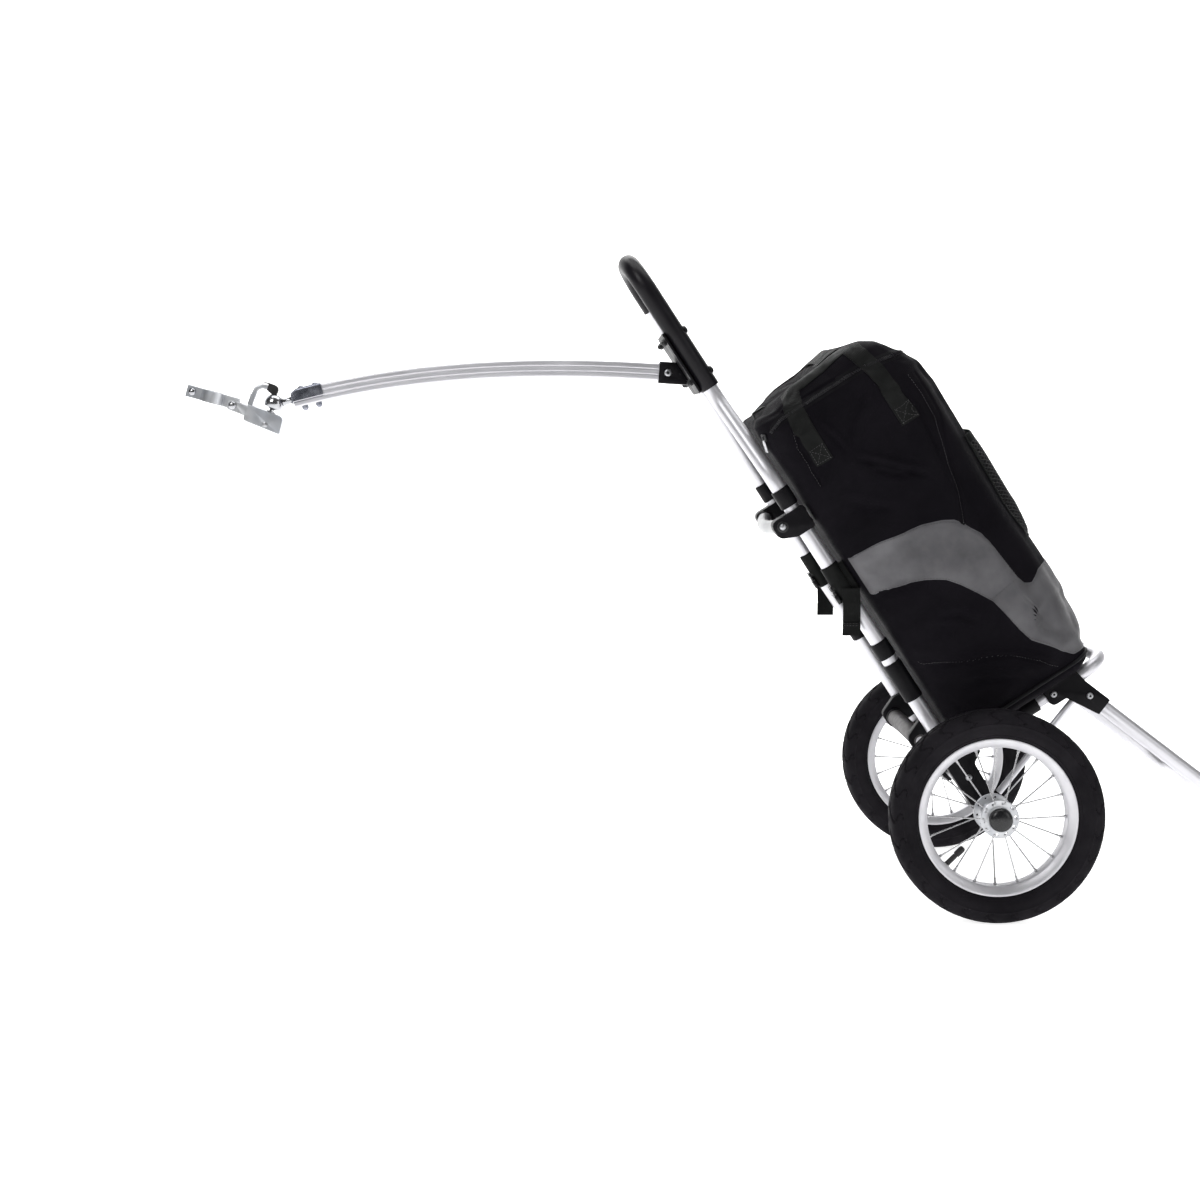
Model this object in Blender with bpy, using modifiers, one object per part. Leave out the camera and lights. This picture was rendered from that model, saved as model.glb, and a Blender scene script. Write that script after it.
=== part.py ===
"""Bicycle cargo trailer: a hand-cart frame on two wheels, its bag, and a drawbar with a ball hitch.

Metres, +Z up. The bicycle is towards -X, and left is -Y. The origin is on the ground, midway along the trailer.
The cart frame is modelled upright, with its rails along local Z and its load side towards local +X, and is then
leaned over with the axle as its pivot. The wheels, the hitch and the clamp have frames of their own.
"""

import math

import bmesh
import bpy
from mathutils import Matrix, Vector
from mathutils.geometry import interpolate_bezier

# Whole trailer
FIT_GAP = 0.0003                       # between pieces that touch
RAIL_LEAN = math.radians(57.0)         # rails above the horizontal, leaning towards the bicycle
TRACK = 0.430                          # between the tyres' middle planes
HITCH_REACH = 1.0135                   # axle to tow ball, along the ground
HITCH_HEIGHT = 0.7048                  # tow ball above the ground

# Wheels
TYRE_RADIUS = 0.145
TYRE_WIDTH = 0.045
TYRE_WALL = 0.0035
TYRE_SEGMENTS = 32
TREAD_NOTCH = 0.0016
TREAD_PITCH = 2                        # one notch every so many segments
RIM_RADIUS = 0.1075
RIM_INNER_RADIUS = 0.0945
RIM_BED_RADIUS = 0.0985
RIM_WIDTH = 0.031
RIM_WALL = 0.0016
RIM_INNER_WIDTH = 0.022
RIM_SEGMENTS = 30
SPOKE_COUNT = 20
SPOKE_DIAMETER = 0.0020
HUB_FLANGE_RADIUS = 0.0260
HUB_FLANGE_SPACING = 0.0420
HUB_FLANGE_THICKNESS = 0.0032
HUB_BARREL_RADIUS = 0.0160
HUB_WIDTH = 0.0520
BEARING_RADIUS = 0.0110
BEARING_RECESS = 0.0010
CAP_RADIUS = 0.0160
CAP_DEPTH = 0.0110
CAP_WALL = 0.0020
VALVE_LENGTH = 0.0330
VALVE_DIAMETER = 0.0062
VALVE_ANGLES = {"left": math.radians(-135.0), "right": math.radians(-27.0)}    # from +X towards +Z

# Axle and its brackets
AXLE_DIAMETER = 0.0120
AXLE_END_REACH = 0.0040                # past the hub's outer face, inside the cap
FOOT_TOP = 0.0900
FOOT_BOTTOM = -0.0170
FOOT_BACK = -0.0150
FOOT_FRONT = 0.0185
FOOT_THICKNESS = 0.0300
FOOT_SCREW = (0.0030, 0.0410)
RAIL_FOOT = 0.0130                     # rail's lower end above the axle
BASE_ARM_END = 0.1400
BASE_ARM_DIAMETER = 0.0245

# Rails and handle
RAIL_DIAMETER = 0.0220
RAIL_SPREAD = 0.2400                   # between the rails' middles
HANDLE_SPREAD = 0.1250
HANDLE_CORNER = 0.0480
SPLAY_RADIUS = 0.0780
GRIP_DIAMETER = 0.0286
SLEEVE_DIAMETER = 0.0266
JOINT_SLEEVE_LENGTH = 0.0280
LOW_SLEEVE_LENGTH = 0.0260
LONG_SLEEVE_LENGTH = 0.0600
LONG_SLEEVE_DIAMETER = 0.0270

# Cross tubes
MID_BRACKET_BACK = -0.0140
MID_BRACKET_FRONT = 0.0145
MID_BRACKET_THICKNESS = 0.0300
MID_TUBE_DIAMETER = 0.0200
MID_TUBE_BACK = 0.0255                 # behind the rails' plane
MID_TUBE_BOW = 0.0120
LUG_RADIUS = 0.0125
LOW_TUBE_BACK = 0.0245                 # behind the rails' plane
LOW_TUBE_DIAMETER = 0.0250
LOW_TUBE_END_DIAMETER = 0.0190
LOW_TUBE_LENGTH = 0.1960
LOW_BRACKET_FRONT = 0.0080
LOW_BRACKET_WALL = 0.0045
LOW_BRACKET_THICKNESS = 0.0150

# Base loop, stand leg and struts
BASE_DIAMETER = 0.0190
BASE_HEIGHT = 0.0750
BASE_REACH = 0.2535
BASE_CORNER = 0.0400
BASE_START = 0.0300
LEG_DIAMETER = 0.0200
LEG_TOP = (BASE_REACH - 0.0515, BASE_HEIGHT - 0.0180)
LEG_END = (0.2850, -0.1750)
LEG_CORNER = 0.0420
ELBOW_THICKNESS = 0.0270
ELBOW_ARM = 0.0480                     # along the base tube, from the leg's top
ELBOW_DROP = 0.0380                    # down the leg
ELBOW_WALL = 0.0028
STRUT_DIAMETER = 0.0095
STRUT_TOP = (LEG_TOP[0] - 0.0120, LEG_TOP[1] - 0.0055)
STRUT_FOOT = (0.0270, -0.0040)
PAN_HEAD_DIAMETER = 0.0090
PAN_HEAD_HEIGHT = 0.0028

# Bag
BAG_BOTTOM = BASE_HEIGHT + BASE_ARM_DIAMETER / 2 + FIT_GAP
BAG_CLEARANCE = 0.00226                # in front of the mid brackets' rivets
BAG_BACK = MID_BRACKET_FRONT + 0.8 * PAN_HEAD_HEIGHT + BAG_CLEARANCE
BAG_TOP = 0.6300                       # at the bag's middle
BAG_TOP_RISE = 0.0140                  # from the middle to the front, and as much down to the back
BAG_HALF_WIDTH = 0.1620
BAG_FRONT = 0.2650                      # where the bag is deepest
BAG_MIDDLE = BAG_BACK + 0.1210
POCKET_LOW = 0.2780
POCKET_TALL = 0.1660
POCKET_DEPTH = 0.0075                   # past the bag's deepest part
POCKET_HALF_WIDTH = 0.1150
POCKET_BACK = BAG_FRONT - 0.0350
POCKET_CORNER = 0.0065
LOOP_LENGTH = 0.1400
LOOP_RISE = 0.0130
LOOP_WIDTH = 0.0380
LOOP_MIDDLE = 0.1580
WEBBING = 0.0018
STRAP_DIAMETER = 0.0262
STRAP_TAIL_WIDTH = 0.0250
STRAP_TAIL_LENGTH = 0.0660
STRAP_TAIL_HANG = (0.0060, 0.0100)       # its top, in front of the rail's middle and above the strap's lower edge
BUCKLE_WIDTH = 0.0270
BUCKLE_LENGTH = 0.0220
BUCKLE_THICKNESS = 0.0060

# Drawbar and its ends
DRAWBAR_HEIGHT = 0.0245
DRAWBAR_WIDTH = 0.0180
BAR_GROOVE = 0.0011
DRAWBAR_START = 0.0290                 # from the ball, along the ground
DRAWBAR_START_RISE = 0.0056
DRAWBAR_START_PITCH = math.radians(15.0)
DRAWBAR_END_PITCH = math.radians(4.0)
DRAWBAR_HANDLES = (0.190, 0.156)
DRAWBAR_STEPS = 12
SOCKET_LENGTH = 0.0360
SOCKET_TALL = 0.0312
SOCKET_WIDE = 0.0250
SOCKET_DEPTH = 0.0240
SOCKET_BOLT_DEPTH = 0.0130
PLATE_THICKNESS = 0.0030
PLATE_WIDTH = 0.1520
PLATE_CORNER = 0.0120
PLATE_HEAD_DIAMETER = 0.0120
PLATE_NUT_DIAMETER = 0.0100
BOLT_DIAMETER = 0.0060
TIP_PLATE_LENGTH = 0.0450
TIP_PLATE_THICKNESS = 0.0022
TIP_PLATE_LOW = -0.0030                # from the bar's middle
TIP_BOLTS = (0.0140, 0.0350)
TIP_BOLT_DIAMETER = 0.0050

# Ball hitch
HITCH_SLOPE = math.radians(21.0)       # channel falls towards the trailer
BALL_RADIUS = 0.0100
LINER_RADIUS = 0.0118
CUP_RADIUS = 0.0143
CUP_GAP = 0.0007
CUP_LIP = math.radians(115.0)          # how far the cup and liner wrap the ball, from its top
NECK_DIAMETER = 0.0100
STUD_DIAMETER = 0.0070
STUD_NUT = 0.0050
CHANNEL_TOP = -0.0140
CHANNEL_BOTTOM = -0.0395
CHANNEL_BACK = -0.0330
CHANNEL_FRONT = 0.0215
CHANNEL_WIDTH = 0.0250
CHANNEL_WALL = 0.0025
NECK_TOP = -0.0165
NECK_BOTTOM = -0.0320
TILT_BOLT = (-0.0552, -0.0242)
TILT_BOLT_DIAMETER = 0.0060
TILT_HEAD_DIAMETER = 0.0125
NECK_NOSE = 0.0085                     # past the tilt bolt
SLOT_END = -0.0245
LATCH_PIVOT_DEPTH = -0.0330
LATCH_THICKNESS = 0.0050
LATCH_BAR = 0.0068
LATCH_REACH = 0.0325                   # hook's back from the ball's middle
LATCH_HOOK_HEIGHT = 0.0195             # hook's arm above the ball's middle
LATCH_BEND = 0.0120
LATCH_TIP_X = -0.0050
LATCH_RIVET_DIAMETER = 0.0050
TIP_LENGTH = 0.0120
TIP_WALL = 0.0012
SPRING_WIRE = 0.0014
SPRING_TOP = 0.0330                    # above the rivet

# Seat-post clamp
CLAMP_LEAN = math.radians(15.5)
CLAMP_BORE = 0.0278
CLAMP_WALL = 0.0038
CLAMP_TALL = 0.0175
CLAMP_REACH = 0.0315                   # post's middle to tilt bolt
CLAMP_DROP = 0.0035                    # tilt bolt below the band's middle
EAR_LENGTH = 0.0400
EAR_SLOT = 0.0030
EAR_THICKNESS = 0.0034
EAR_BOLT_REACH = 0.0310
TAIL_NOSE = 0.0075                     # past the tilt bolt

# Heights up the rails, each from the piece below it
LOW_BRACKET_RISE = 0.0120               # above the axle brackets
LOW_BRACKET_TALL = 0.0380
LOW_TUBE_RISE = 0.0125                  # lower cross tube above its brackets' lower edges
LONG_SLEEVE_RISE = 0.0330               # above the lower brackets
SLEEVE_APART = 0.0090
STRAP_RISE = 0.0720                     # above the low sleeves
STRAP_TALL = 0.0560
MID_BRACKET_RISE = 0.0580               # above the straps
MID_BRACKET_TALL = 0.0350
MID_TUBE_RISE = 0.0230                  # mid cross tube above its brackets' lower edges
JOINT_SLEEVE_RISE = 0.0060              # above the mid brackets
SPLAY_RISE = 0.0360                     # above the tube joints
SPLAY_TALL = 0.1300
PLATE_RISE = 0.0200                     # above the splay
PLATE_TALL = 0.1000
PLATE_BOLT_INSET = {"low": 0.0200, "high": 0.0120}
SOCKET_RISE = 0.0354                    # above the plate's lower edge
GRIP_BELOW_PLATE = 0.0020               # near leg
GRIP_ABOVE_PLATE = 0.0400               # far leg
HANDLE_ABOVE_PLATE = 0.1120
LOW_BRACKET_LOW = FOOT_TOP + LOW_BRACKET_RISE
LOW_BRACKET_HIGH = LOW_BRACKET_LOW + LOW_BRACKET_TALL
LOW_TUBE_HEIGHT = LOW_BRACKET_LOW + LOW_TUBE_RISE
LONG_SLEEVE_HEIGHT = LOW_BRACKET_HIGH + LONG_SLEEVE_RISE + LONG_SLEEVE_LENGTH / 2
LOW_SLEEVE_HEIGHT = LONG_SLEEVE_HEIGHT + LONG_SLEEVE_LENGTH / 2 + SLEEVE_APART + LOW_SLEEVE_LENGTH / 2
STRAP_LOW = LOW_SLEEVE_HEIGHT + LOW_SLEEVE_LENGTH / 2 + STRAP_RISE
STRAP_HIGH = STRAP_LOW + STRAP_TALL
MID_BRACKET_LOW = STRAP_HIGH + MID_BRACKET_RISE
MID_BRACKET_HIGH = MID_BRACKET_LOW + MID_BRACKET_TALL
MID_TUBE_HEIGHT = MID_BRACKET_LOW + MID_TUBE_RISE
RAIL_JOINT = MID_BRACKET_HIGH + JOINT_SLEEVE_RISE + JOINT_SLEEVE_LENGTH / 2
SPLAY_LOW = RAIL_JOINT + SPLAY_RISE
SPLAY_HIGH = SPLAY_LOW + SPLAY_TALL
PLATE_LOW = SPLAY_HIGH + PLATE_RISE
PLATE_HIGH = PLATE_LOW + PLATE_TALL
PLATE_BOLTS = {"low": PLATE_LOW + PLATE_BOLT_INSET["low"], "high": PLATE_HIGH - PLATE_BOLT_INSET["high"]}
SOCKET_HEIGHT_ON_RAIL = PLATE_LOW + SOCKET_RISE
GRIP_LOW = PLATE_LOW - GRIP_BELOW_PLATE
GRIP_FAR_LOW = PLATE_HIGH + GRIP_ABOVE_PLATE
HANDLE_TOP = PLATE_HIGH + HANDLE_ABOVE_PLATE

AXLE_HEIGHT = TYRE_RADIUS
LEAN_COS = math.cos(RAIL_LEAN)
LEAN_SIN = math.sin(RAIL_LEAN)
LEG_AIM = math.atan2(LEG_END[0] - LEG_TOP[0], LEG_TOP[1] - LEG_END[1])
BACK_REACH = LEG_END[0] * LEAN_SIN - LEG_END[1] * LEAN_COS + LEG_DIAMETER / 2


def turned_point(point, angle):
    """A point (x, z) after a turn about Y that carries +Z towards +X."""
    x, z = point
    return (x * math.cos(angle) + z * math.sin(angle), z * math.cos(angle) - x * math.sin(angle))


TILT_FROM_BALL = turned_point(TILT_BOLT, HITCH_SLOPE)
POST_FROM_TILT = turned_point((-CLAMP_REACH, CLAMP_DROP), CLAMP_LEAN)
EAR_FROM_POST = turned_point((-EAR_LENGTH, -CLAMP_TALL / 2), CLAMP_LEAN)
FRONT_REACH = HITCH_REACH - TILT_FROM_BALL[0] - POST_FROM_TILT[0] - EAR_FROM_POST[0]
AXLE_X = (FRONT_REACH - BACK_REACH) / 2
BALL_X = AXLE_X - HITCH_REACH

scene_objects = list(bpy.data.objects)
for old in scene_objects:
    bpy.data.objects.remove(old, do_unlink=True)
trailer = bpy.data.collections.new("bicycle_trailer")
cutters = bpy.data.collections.new("cutters")
bpy.context.scene.collection.children.link(trailer)
bpy.context.scene.collection.children.link(cutters)


def finish(name, colour, roughness, metallic):
    material = bpy.data.materials.new(name)
    material.use_nodes = True
    shader = material.node_tree.nodes["Principled BSDF"]
    shader.inputs["Base Color"].default_value = (*colour, 1.0)
    shader.inputs["Roughness"].default_value = roughness
    shader.inputs["Metallic"].default_value = metallic
    return material


ALUMINIUM = finish("satin_aluminium", (0.78, 0.78, 0.80), 0.32, 1.0)
ZINC = finish("zinc_plate", (0.62, 0.64, 0.66), 0.28, 1.0)
DARK_STEEL = finish("dark_steel", (0.20, 0.21, 0.24), 0.38, 1.0)
BLACK_PLASTIC = finish("black_plastic", (0.020, 0.019, 0.022), 0.45, 0.0)
FOAM = finish("grip_foam", (0.022, 0.021, 0.024), 0.70, 0.0)
TYRE_RUBBER = finish("tyre_rubber", (0.026, 0.025, 0.027), 0.75, 0.0)
SOFT_RUBBER = finish("soft_rubber", (0.018, 0.018, 0.019), 0.60, 0.0)
FABRIC = finish("bag_fabric", (0.017, 0.016, 0.020), 0.85, 0.0)
WEB_STRAP = finish("webbing", (0.014, 0.014, 0.015), 0.80, 0.0)
GREY_TUBE = finish("grey_tube", (0.30, 0.30, 0.31), 0.40, 1.0)


def frame_empty(name, location, turn, parent=None):
    """An empty that carries a group of pieces, turned about Y so that its Z leans towards +X."""
    empty = bpy.data.objects.new(name, None)
    trailer.objects.link(empty)
    empty.parent = parent
    empty.location = location
    empty.rotation_euler = (0.0, turn, 0.0)
    return empty


CART = frame_empty("cart_frame", (AXLE_X, 0.0, AXLE_HEIGHT), RAIL_LEAN - math.pi / 2)
HITCH = frame_empty("hitch_frame", (BALL_X, 0.0, HITCH_HEIGHT), HITCH_SLOPE)
LATCH = frame_empty("latch_frame", (0.0, 0.0, LATCH_PIVOT_DEPTH), 0.0, HITCH)
TILT_POINT = (BALL_X + TILT_FROM_BALL[0], 0.0, HITCH_HEIGHT + TILT_FROM_BALL[1])
CLAMP = frame_empty("clamp_frame", TILT_POINT, CLAMP_LEAN)
WHEELS = {}
for side, sign in (("left", -1), ("right", 1)):
    WHEELS[side] = frame_empty("wheel_frame_" + side, (AXLE_X, sign * TRACK / 2, AXLE_HEIGHT), 0.0)


def place(obj, parent, material):
    trailer.objects.link(obj)
    obj.parent = parent
    obj.data.materials.clear()
    obj.data.materials.append(material)
    return obj


def smooth(obj):
    obj.data.shade_smooth()
    obj.data.set_sharp_from_angle(angle=math.radians(35))
    return obj


def from_bmesh(name, bm, parent, material):
    bmesh.ops.recalc_face_normals(bm, faces=bm.faces)
    mesh = bpy.data.meshes.new(name)
    bm.to_mesh(mesh)
    bm.free()
    return smooth(place(bpy.data.objects.new(name, mesh), parent, material))


def poly_curve(name, points, cyclic, flat):
    data = bpy.data.curves.new(name, "CURVE")
    data.dimensions = "2D" if flat else "3D"
    spline = data.splines.new("POLY")
    spline.points.add(len(points) - 1)
    for spline_point, point in zip(spline.points, points):
        x, y, z = (*point, 0.0) if flat else point
        spline_point.co = (x, y, z, 1.0)
    spline.use_cyclic_u = cyclic
    return data


def as_mesh(source):
    """The object's evaluated shape as a mesh with its caps welded, at the source's own place."""
    bpy.context.view_layer.update()
    depsgraph = bpy.context.evaluated_depsgraph_get()
    mesh = bpy.data.meshes.new_from_object(source.evaluated_get(depsgraph))
    bm = bmesh.new()
    bm.from_mesh(mesh)
    bmesh.ops.remove_doubles(bm, verts=bm.verts, dist=1e-6)
    bmesh.ops.recalc_face_normals(bm, faces=bm.faces)
    bm.to_mesh(mesh)
    bm.free()
    name = source.name
    parent = source.parent
    location = source.location.copy()
    rotation = source.rotation_euler.copy()
    material = source.data.materials[0]
    bpy.data.objects.remove(source, do_unlink=True)
    obj = place(bpy.data.objects.new(name, mesh), parent, material)
    obj.location = location
    obj.rotation_euler = rotation
    return smooth(obj)


def tube(name, points, diameter, parent, material, bevel_resolution=4):
    data = poly_curve(name, points, False, False)
    data.bevel_depth = diameter / 2
    data.bevel_resolution = bevel_resolution
    data.use_fill_caps = True
    return as_mesh(place(bpy.data.objects.new(name, data), parent, material))


def plate(name, outline, thickness, parent, material, y=0.0):
    """A flat outline given as (x, z), as thick as said about the plane at y."""
    data = poly_curve(name, outline, True, True)
    data.fill_mode = "BOTH"
    data.extrude = thickness / 2
    flat = place(bpy.data.objects.new(name, data), parent, material)
    flat.location = (0.0, y, 0.0)
    flat.rotation_euler = (math.pi / 2, 0.0, 0.0)
    return as_mesh(flat)


def sweep(name, section, path, parent, material):
    """A section given as (across, up) that follows a path in the XZ plane."""
    guide = bpy.data.objects.new(name + "_section", poly_curve(name + "_section", section, True, True))
    cutters.objects.link(guide)
    guide.hide_render = True
    guide.display_type = "WIRE"
    data = poly_curve(name, path, False, False)
    data.bevel_mode = "OBJECT"
    data.bevel_object = guide
    data.twist_mode = "Z_UP"
    data.use_fill_caps = True
    return as_mesh(place(bpy.data.objects.new(name, data), parent, material))


def corner_arc(before, corner, after, radius, steps):
    """The points of the fillet that rounds one corner of a path."""
    back = (before - corner).normalized()
    ahead = (after - corner).normalized()
    half = back.angle(ahead) / 2
    centre = corner + (back + ahead).normalized() * (radius / math.sin(half))
    first = corner + back * (radius / math.tan(half)) - centre
    axis = first.cross(corner + ahead * (radius / math.tan(half)) - centre)
    sweep = math.pi - 2 * half
    return [centre + Matrix.Rotation(sweep * i / steps, 3, axis) @ first for i in range(steps + 1)]


def rounded_path(points, radius, steps=6):
    points = [Vector(p) for p in points]
    path = [points[0]]
    for before, corner, after in zip(points, points[1:], points[2:]):
        path.extend(corner_arc(before, corner, after, radius, steps))
    path.append(points[-1])
    return path


def rounded_outline(points, radius, steps=3):
    """A closed flat outline with every corner rounded. A radius can be one value or one for each corner."""
    corners = [Vector((x, z, 0.0)) for x, z in points]
    radii = radius if isinstance(radius, (list, tuple)) else [radius] * len(corners)
    outline = []
    for i, corner in enumerate(corners):
        after = corners[(i + 1) % len(corners)]
        outline.extend(corner_arc(corners[i - 1], corner, after, radii[i], steps))
    return [(p.x, p.y) for p in outline]


def turn_into(bm, profile, matrix, segments, closed=False):
    """Adds a turned solid to a mesh: the profile is (radius, height) and turns about the matrix's Z."""
    verts = [bm.verts.new(matrix @ Vector((r, 0.0, z))) for r, z in profile]
    edges = [bm.edges.new(pair) for pair in zip(verts, verts[1:])]
    if closed:
        edges.append(bm.edges.new((verts[-1], verts[0])))
    axis = matrix.to_3x3() @ Vector((0.0, 0.0, 1.0))
    known = set(bm.verts) - set(verts)
    bmesh.ops.spin(bm, geom=verts + edges, cent=matrix.translation, axis=axis, angle=2 * math.pi,
                   steps=segments, use_merge=True)
    fresh = [v for v in bm.verts if v not in known]
    bmesh.ops.remove_doubles(bm, verts=fresh, dist=1e-6)


def along(start, end):
    """A matrix at start whose Z points to end."""
    direction = Vector(end) - Vector(start)
    return Matrix.Translation(start) @ direction.to_track_quat("Z", "Y").to_matrix().to_4x4()


AXLE_TURN = (-math.pi / 2, 0.0, 0.0)


def rod_into(bm, start, end, diameter, sides=16):
    length = (Vector(end) - Vector(start)).length
    matrix = along(start, end) @ Matrix.Translation((0.0, 0.0, length / 2))
    bmesh.ops.create_cone(bm, cap_ends=True, segments=sides, radius1=diameter / 2,
                          radius2=diameter / 2, depth=length, matrix=matrix)


def rod(name, start, end, diameter, parent, material, sides=16):
    bm = bmesh.new()
    rod_into(bm, start, end, diameter, sides)
    return from_bmesh(name, bm, parent, material)


def block_into(bm, low, high):
    size = [b - a for a, b in zip(low, high)]
    middle = [(a + b) / 2 for a, b in zip(low, high)]
    matrix = Matrix.Translation(middle) @ Matrix.Diagonal((*size, 1.0))
    bmesh.ops.create_cube(bm, size=1.0, matrix=matrix)


def turned(name, profile, parent, material, steps, location=(0.0, 0.0, 0.0), rotation=(0.0, 0.0, 0.0), closed=False):
    """A profile of (radius, height) turned about the object's own Z."""
    mesh = bpy.data.meshes.new(name)
    count = len(profile)
    edges = [(i, i + 1) for i in range(count - 1)]
    if closed:
        edges.append((count - 1, 0))
    mesh.from_pydata([(r, 0.0, z) for r, z in profile], edges, [])
    obj = place(bpy.data.objects.new(name, mesh), parent, material)
    obj.location = location
    obj.rotation_euler = rotation
    screw = obj.modifiers.new("turned", "SCREW")
    screw.steps = steps
    screw.render_steps = steps
    screw.use_merge_vertices = True
    screw.merge_threshold = 0.00005
    screw.use_normal_calculate = True
    return as_mesh(obj)


def cutter(name, bm, parent):
    bmesh.ops.recalc_face_normals(bm, faces=bm.faces)
    mesh = bpy.data.meshes.new(name)
    bm.to_mesh(mesh)
    bm.free()
    obj = bpy.data.objects.new(name, mesh)
    cutters.objects.link(obj)
    obj.parent = parent
    obj.hide_render = True
    obj.display_type = "WIRE"
    return obj


def to_cutter(obj):
    """Makes a finished shape a cutter instead of a piece."""
    trailer.objects.unlink(obj)
    cutters.objects.link(obj)
    obj.hide_render = True
    obj.display_type = "WIRE"
    return obj


def rod_cutter(name, rods, parent, sides=16):
    """One cutter of several rods, each (start, end, diameter)."""
    bm = bmesh.new()
    for start, end, diameter in rods:
        rod_into(bm, start, end, diameter, sides)
    return cutter(name, bm, parent)


def block_cutter(name, low, high, parent):
    bm = bmesh.new()
    block_into(bm, low, high)
    return cutter(name, bm, parent)


def boolean(target, tool, operation="DIFFERENCE"):
    modifier = target.modifiers.new(tool.name, "BOOLEAN")
    modifier.operation = operation
    modifier.solver = "EXACT"
    modifier.object = tool
    return target


def sleeve_profile(outer_diameter, inner_diameter, length):
    """A ring's section about Z, centred on its length."""
    outer = outer_diameter / 2
    inner = inner_diameter / 2 + FIT_GAP
    half = length / 2
    return [(inner, half), (outer, half), (outer, -half), (inner, -half)]


def bolt_profile(head_diameter, head_height, shank_diameter, length, nut_diameter, nut_height, sink=0.0):
    """A domed bolt with its nut as one section: the head sits on height 0 and the nut below -length."""
    head = head_diameter / 2
    shank = shank_diameter / 2
    nut = nut_diameter / 2
    return [(0.0, head_height), (head * 0.75, head_height * 0.7),
            (head, -sink), (shank, -sink), (shank, -length), (nut, -length),
            (nut * 0.9, -length - nut_height), (0.0, -length - nut_height)]


# Wheels

def tyre_profile():
    """An open-beaded carcass: outer side from bead to bead over the tread, then back inside."""
    bead = RIM_WIDTH / 2 - RIM_WALL - FIT_GAP
    seat = RIM_BED_RADIUS + 0.0026
    half = TYRE_WIDTH / 2
    belly = (TYRE_RADIUS + RIM_RADIUS) / 2 + 0.002
    outer = [(seat, bead), (RIM_RADIUS + 0.0022, bead), (belly, half), (TYRE_RADIUS - 0.0065, half * 0.92),
             (TYRE_RADIUS, half * 0.40)]
    inside = [(seat, TYRE_WALL - bead), (belly, 1.7 * TYRE_WALL - half), (TYRE_RADIUS - 2 * TYRE_WALL, 0.0)]
    return outer + [(r, -y) for r, y in reversed(outer)] + inside + [(r, -y) for r, y in reversed(inside[:-1])]


def make_tyre(side, parent):
    tyre = turned("tyre_" + side, tyre_profile(), parent, TYRE_RUBBER, TYRE_SEGMENTS, rotation=AXLE_TURN, closed=True)
    shoulder_from = TYRE_RADIUS - 0.0075
    for vert in tyre.data.vertices:
        radius = math.hypot(vert.co.x, vert.co.y)
        on_shoulder = radius > shoulder_from and abs(vert.co.z) > TYRE_WIDTH * 0.25
        step = round(math.atan2(vert.co.y, vert.co.x) / (2 * math.pi) * TYRE_SEGMENTS)
        phase = 0 if vert.co.z > 0 else 1
        if on_shoulder and (step + phase) % TREAD_PITCH == 0:
            shrink = (radius - TREAD_NOTCH) / radius
            vert.co.x *= shrink
            vert.co.y *= shrink
            vert.co.z *= 1.0 - 2 * TREAD_NOTCH / TYRE_WIDTH
    return tyre


def make_rim(side, parent):
    half = RIM_WIDTH / 2
    inner = RIM_INNER_WIDTH / 2
    floor = RIM_BED_RADIUS + 0.0018
    right = [(RIM_INNER_RADIUS, inner * 0.8), (RIM_BED_RADIUS + 0.0005, half),
             (RIM_RADIUS - 0.0012, half), (RIM_RADIUS, half - RIM_WALL),
             (floor, half - RIM_WALL), (RIM_BED_RADIUS, inner * 0.6)]
    profile = right + [(r, -y) for r, y in reversed(right)]
    rim = turned("rim_" + side, profile, parent, ALUMINIUM, RIM_SEGMENTS, rotation=AXLE_TURN, closed=True)
    across = valve_direction(side)
    hole = (across * (RIM_INNER_RADIUS - 0.004), across * (RIM_RADIUS + 0.004), VALVE_DIAMETER + 2 * FIT_GAP)
    return boolean(rim, rod_cutter("valve_hole_" + side, [hole], parent, 10))


def valve_direction(side):
    angle = VALVE_ANGLES[side]
    return Vector((math.cos(angle), 0.0, math.sin(angle)))


def make_valve(side, parent):
    across = valve_direction(side)
    base = across * (RIM_BED_RADIUS + 0.0010)
    stem = VALVE_DIAMETER / 2
    length = VALVE_LENGTH + RIM_BED_RADIUS - RIM_INNER_RADIUS
    cap = length * 0.62
    profile = [(0.0, 0.0), (stem, 0.0), (stem, cap), (stem * 1.14, cap + 0.0016),
               (stem * 1.14, length - 0.0022), (stem * 0.7, length), (0.0, length)]
    inward = (-across).to_track_quat("Z", "Y").to_euler()
    turned("valve_" + side, profile, parent, SOFT_RUBBER, 8, base, inward)


def spokes_into(bm):
    """Radial spokes from alternate hub flanges to the rim."""
    flange_y = HUB_FLANGE_SPACING / 2
    rim_flat = RIM_INNER_RADIUS * math.cos(math.pi / RIM_SEGMENTS)
    for index in range(SPOKE_COUNT):
        angle = 2 * math.pi * index / SPOKE_COUNT
        across = Vector((math.cos(angle), 0.0, math.sin(angle)))
        end_of_hub = flange_y if index % 2 else -flange_y
        inner = across * (HUB_FLANGE_RADIUS - 0.0030) + Vector((0.0, end_of_hub, 0.0))
        outer = across * (rim_flat - 2 * FIT_GAP) + Vector((0.0, end_of_hub * 0.10, 0.0))
        rod_into(bm, inner, outer, SPOKE_DIAMETER, 4)


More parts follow.
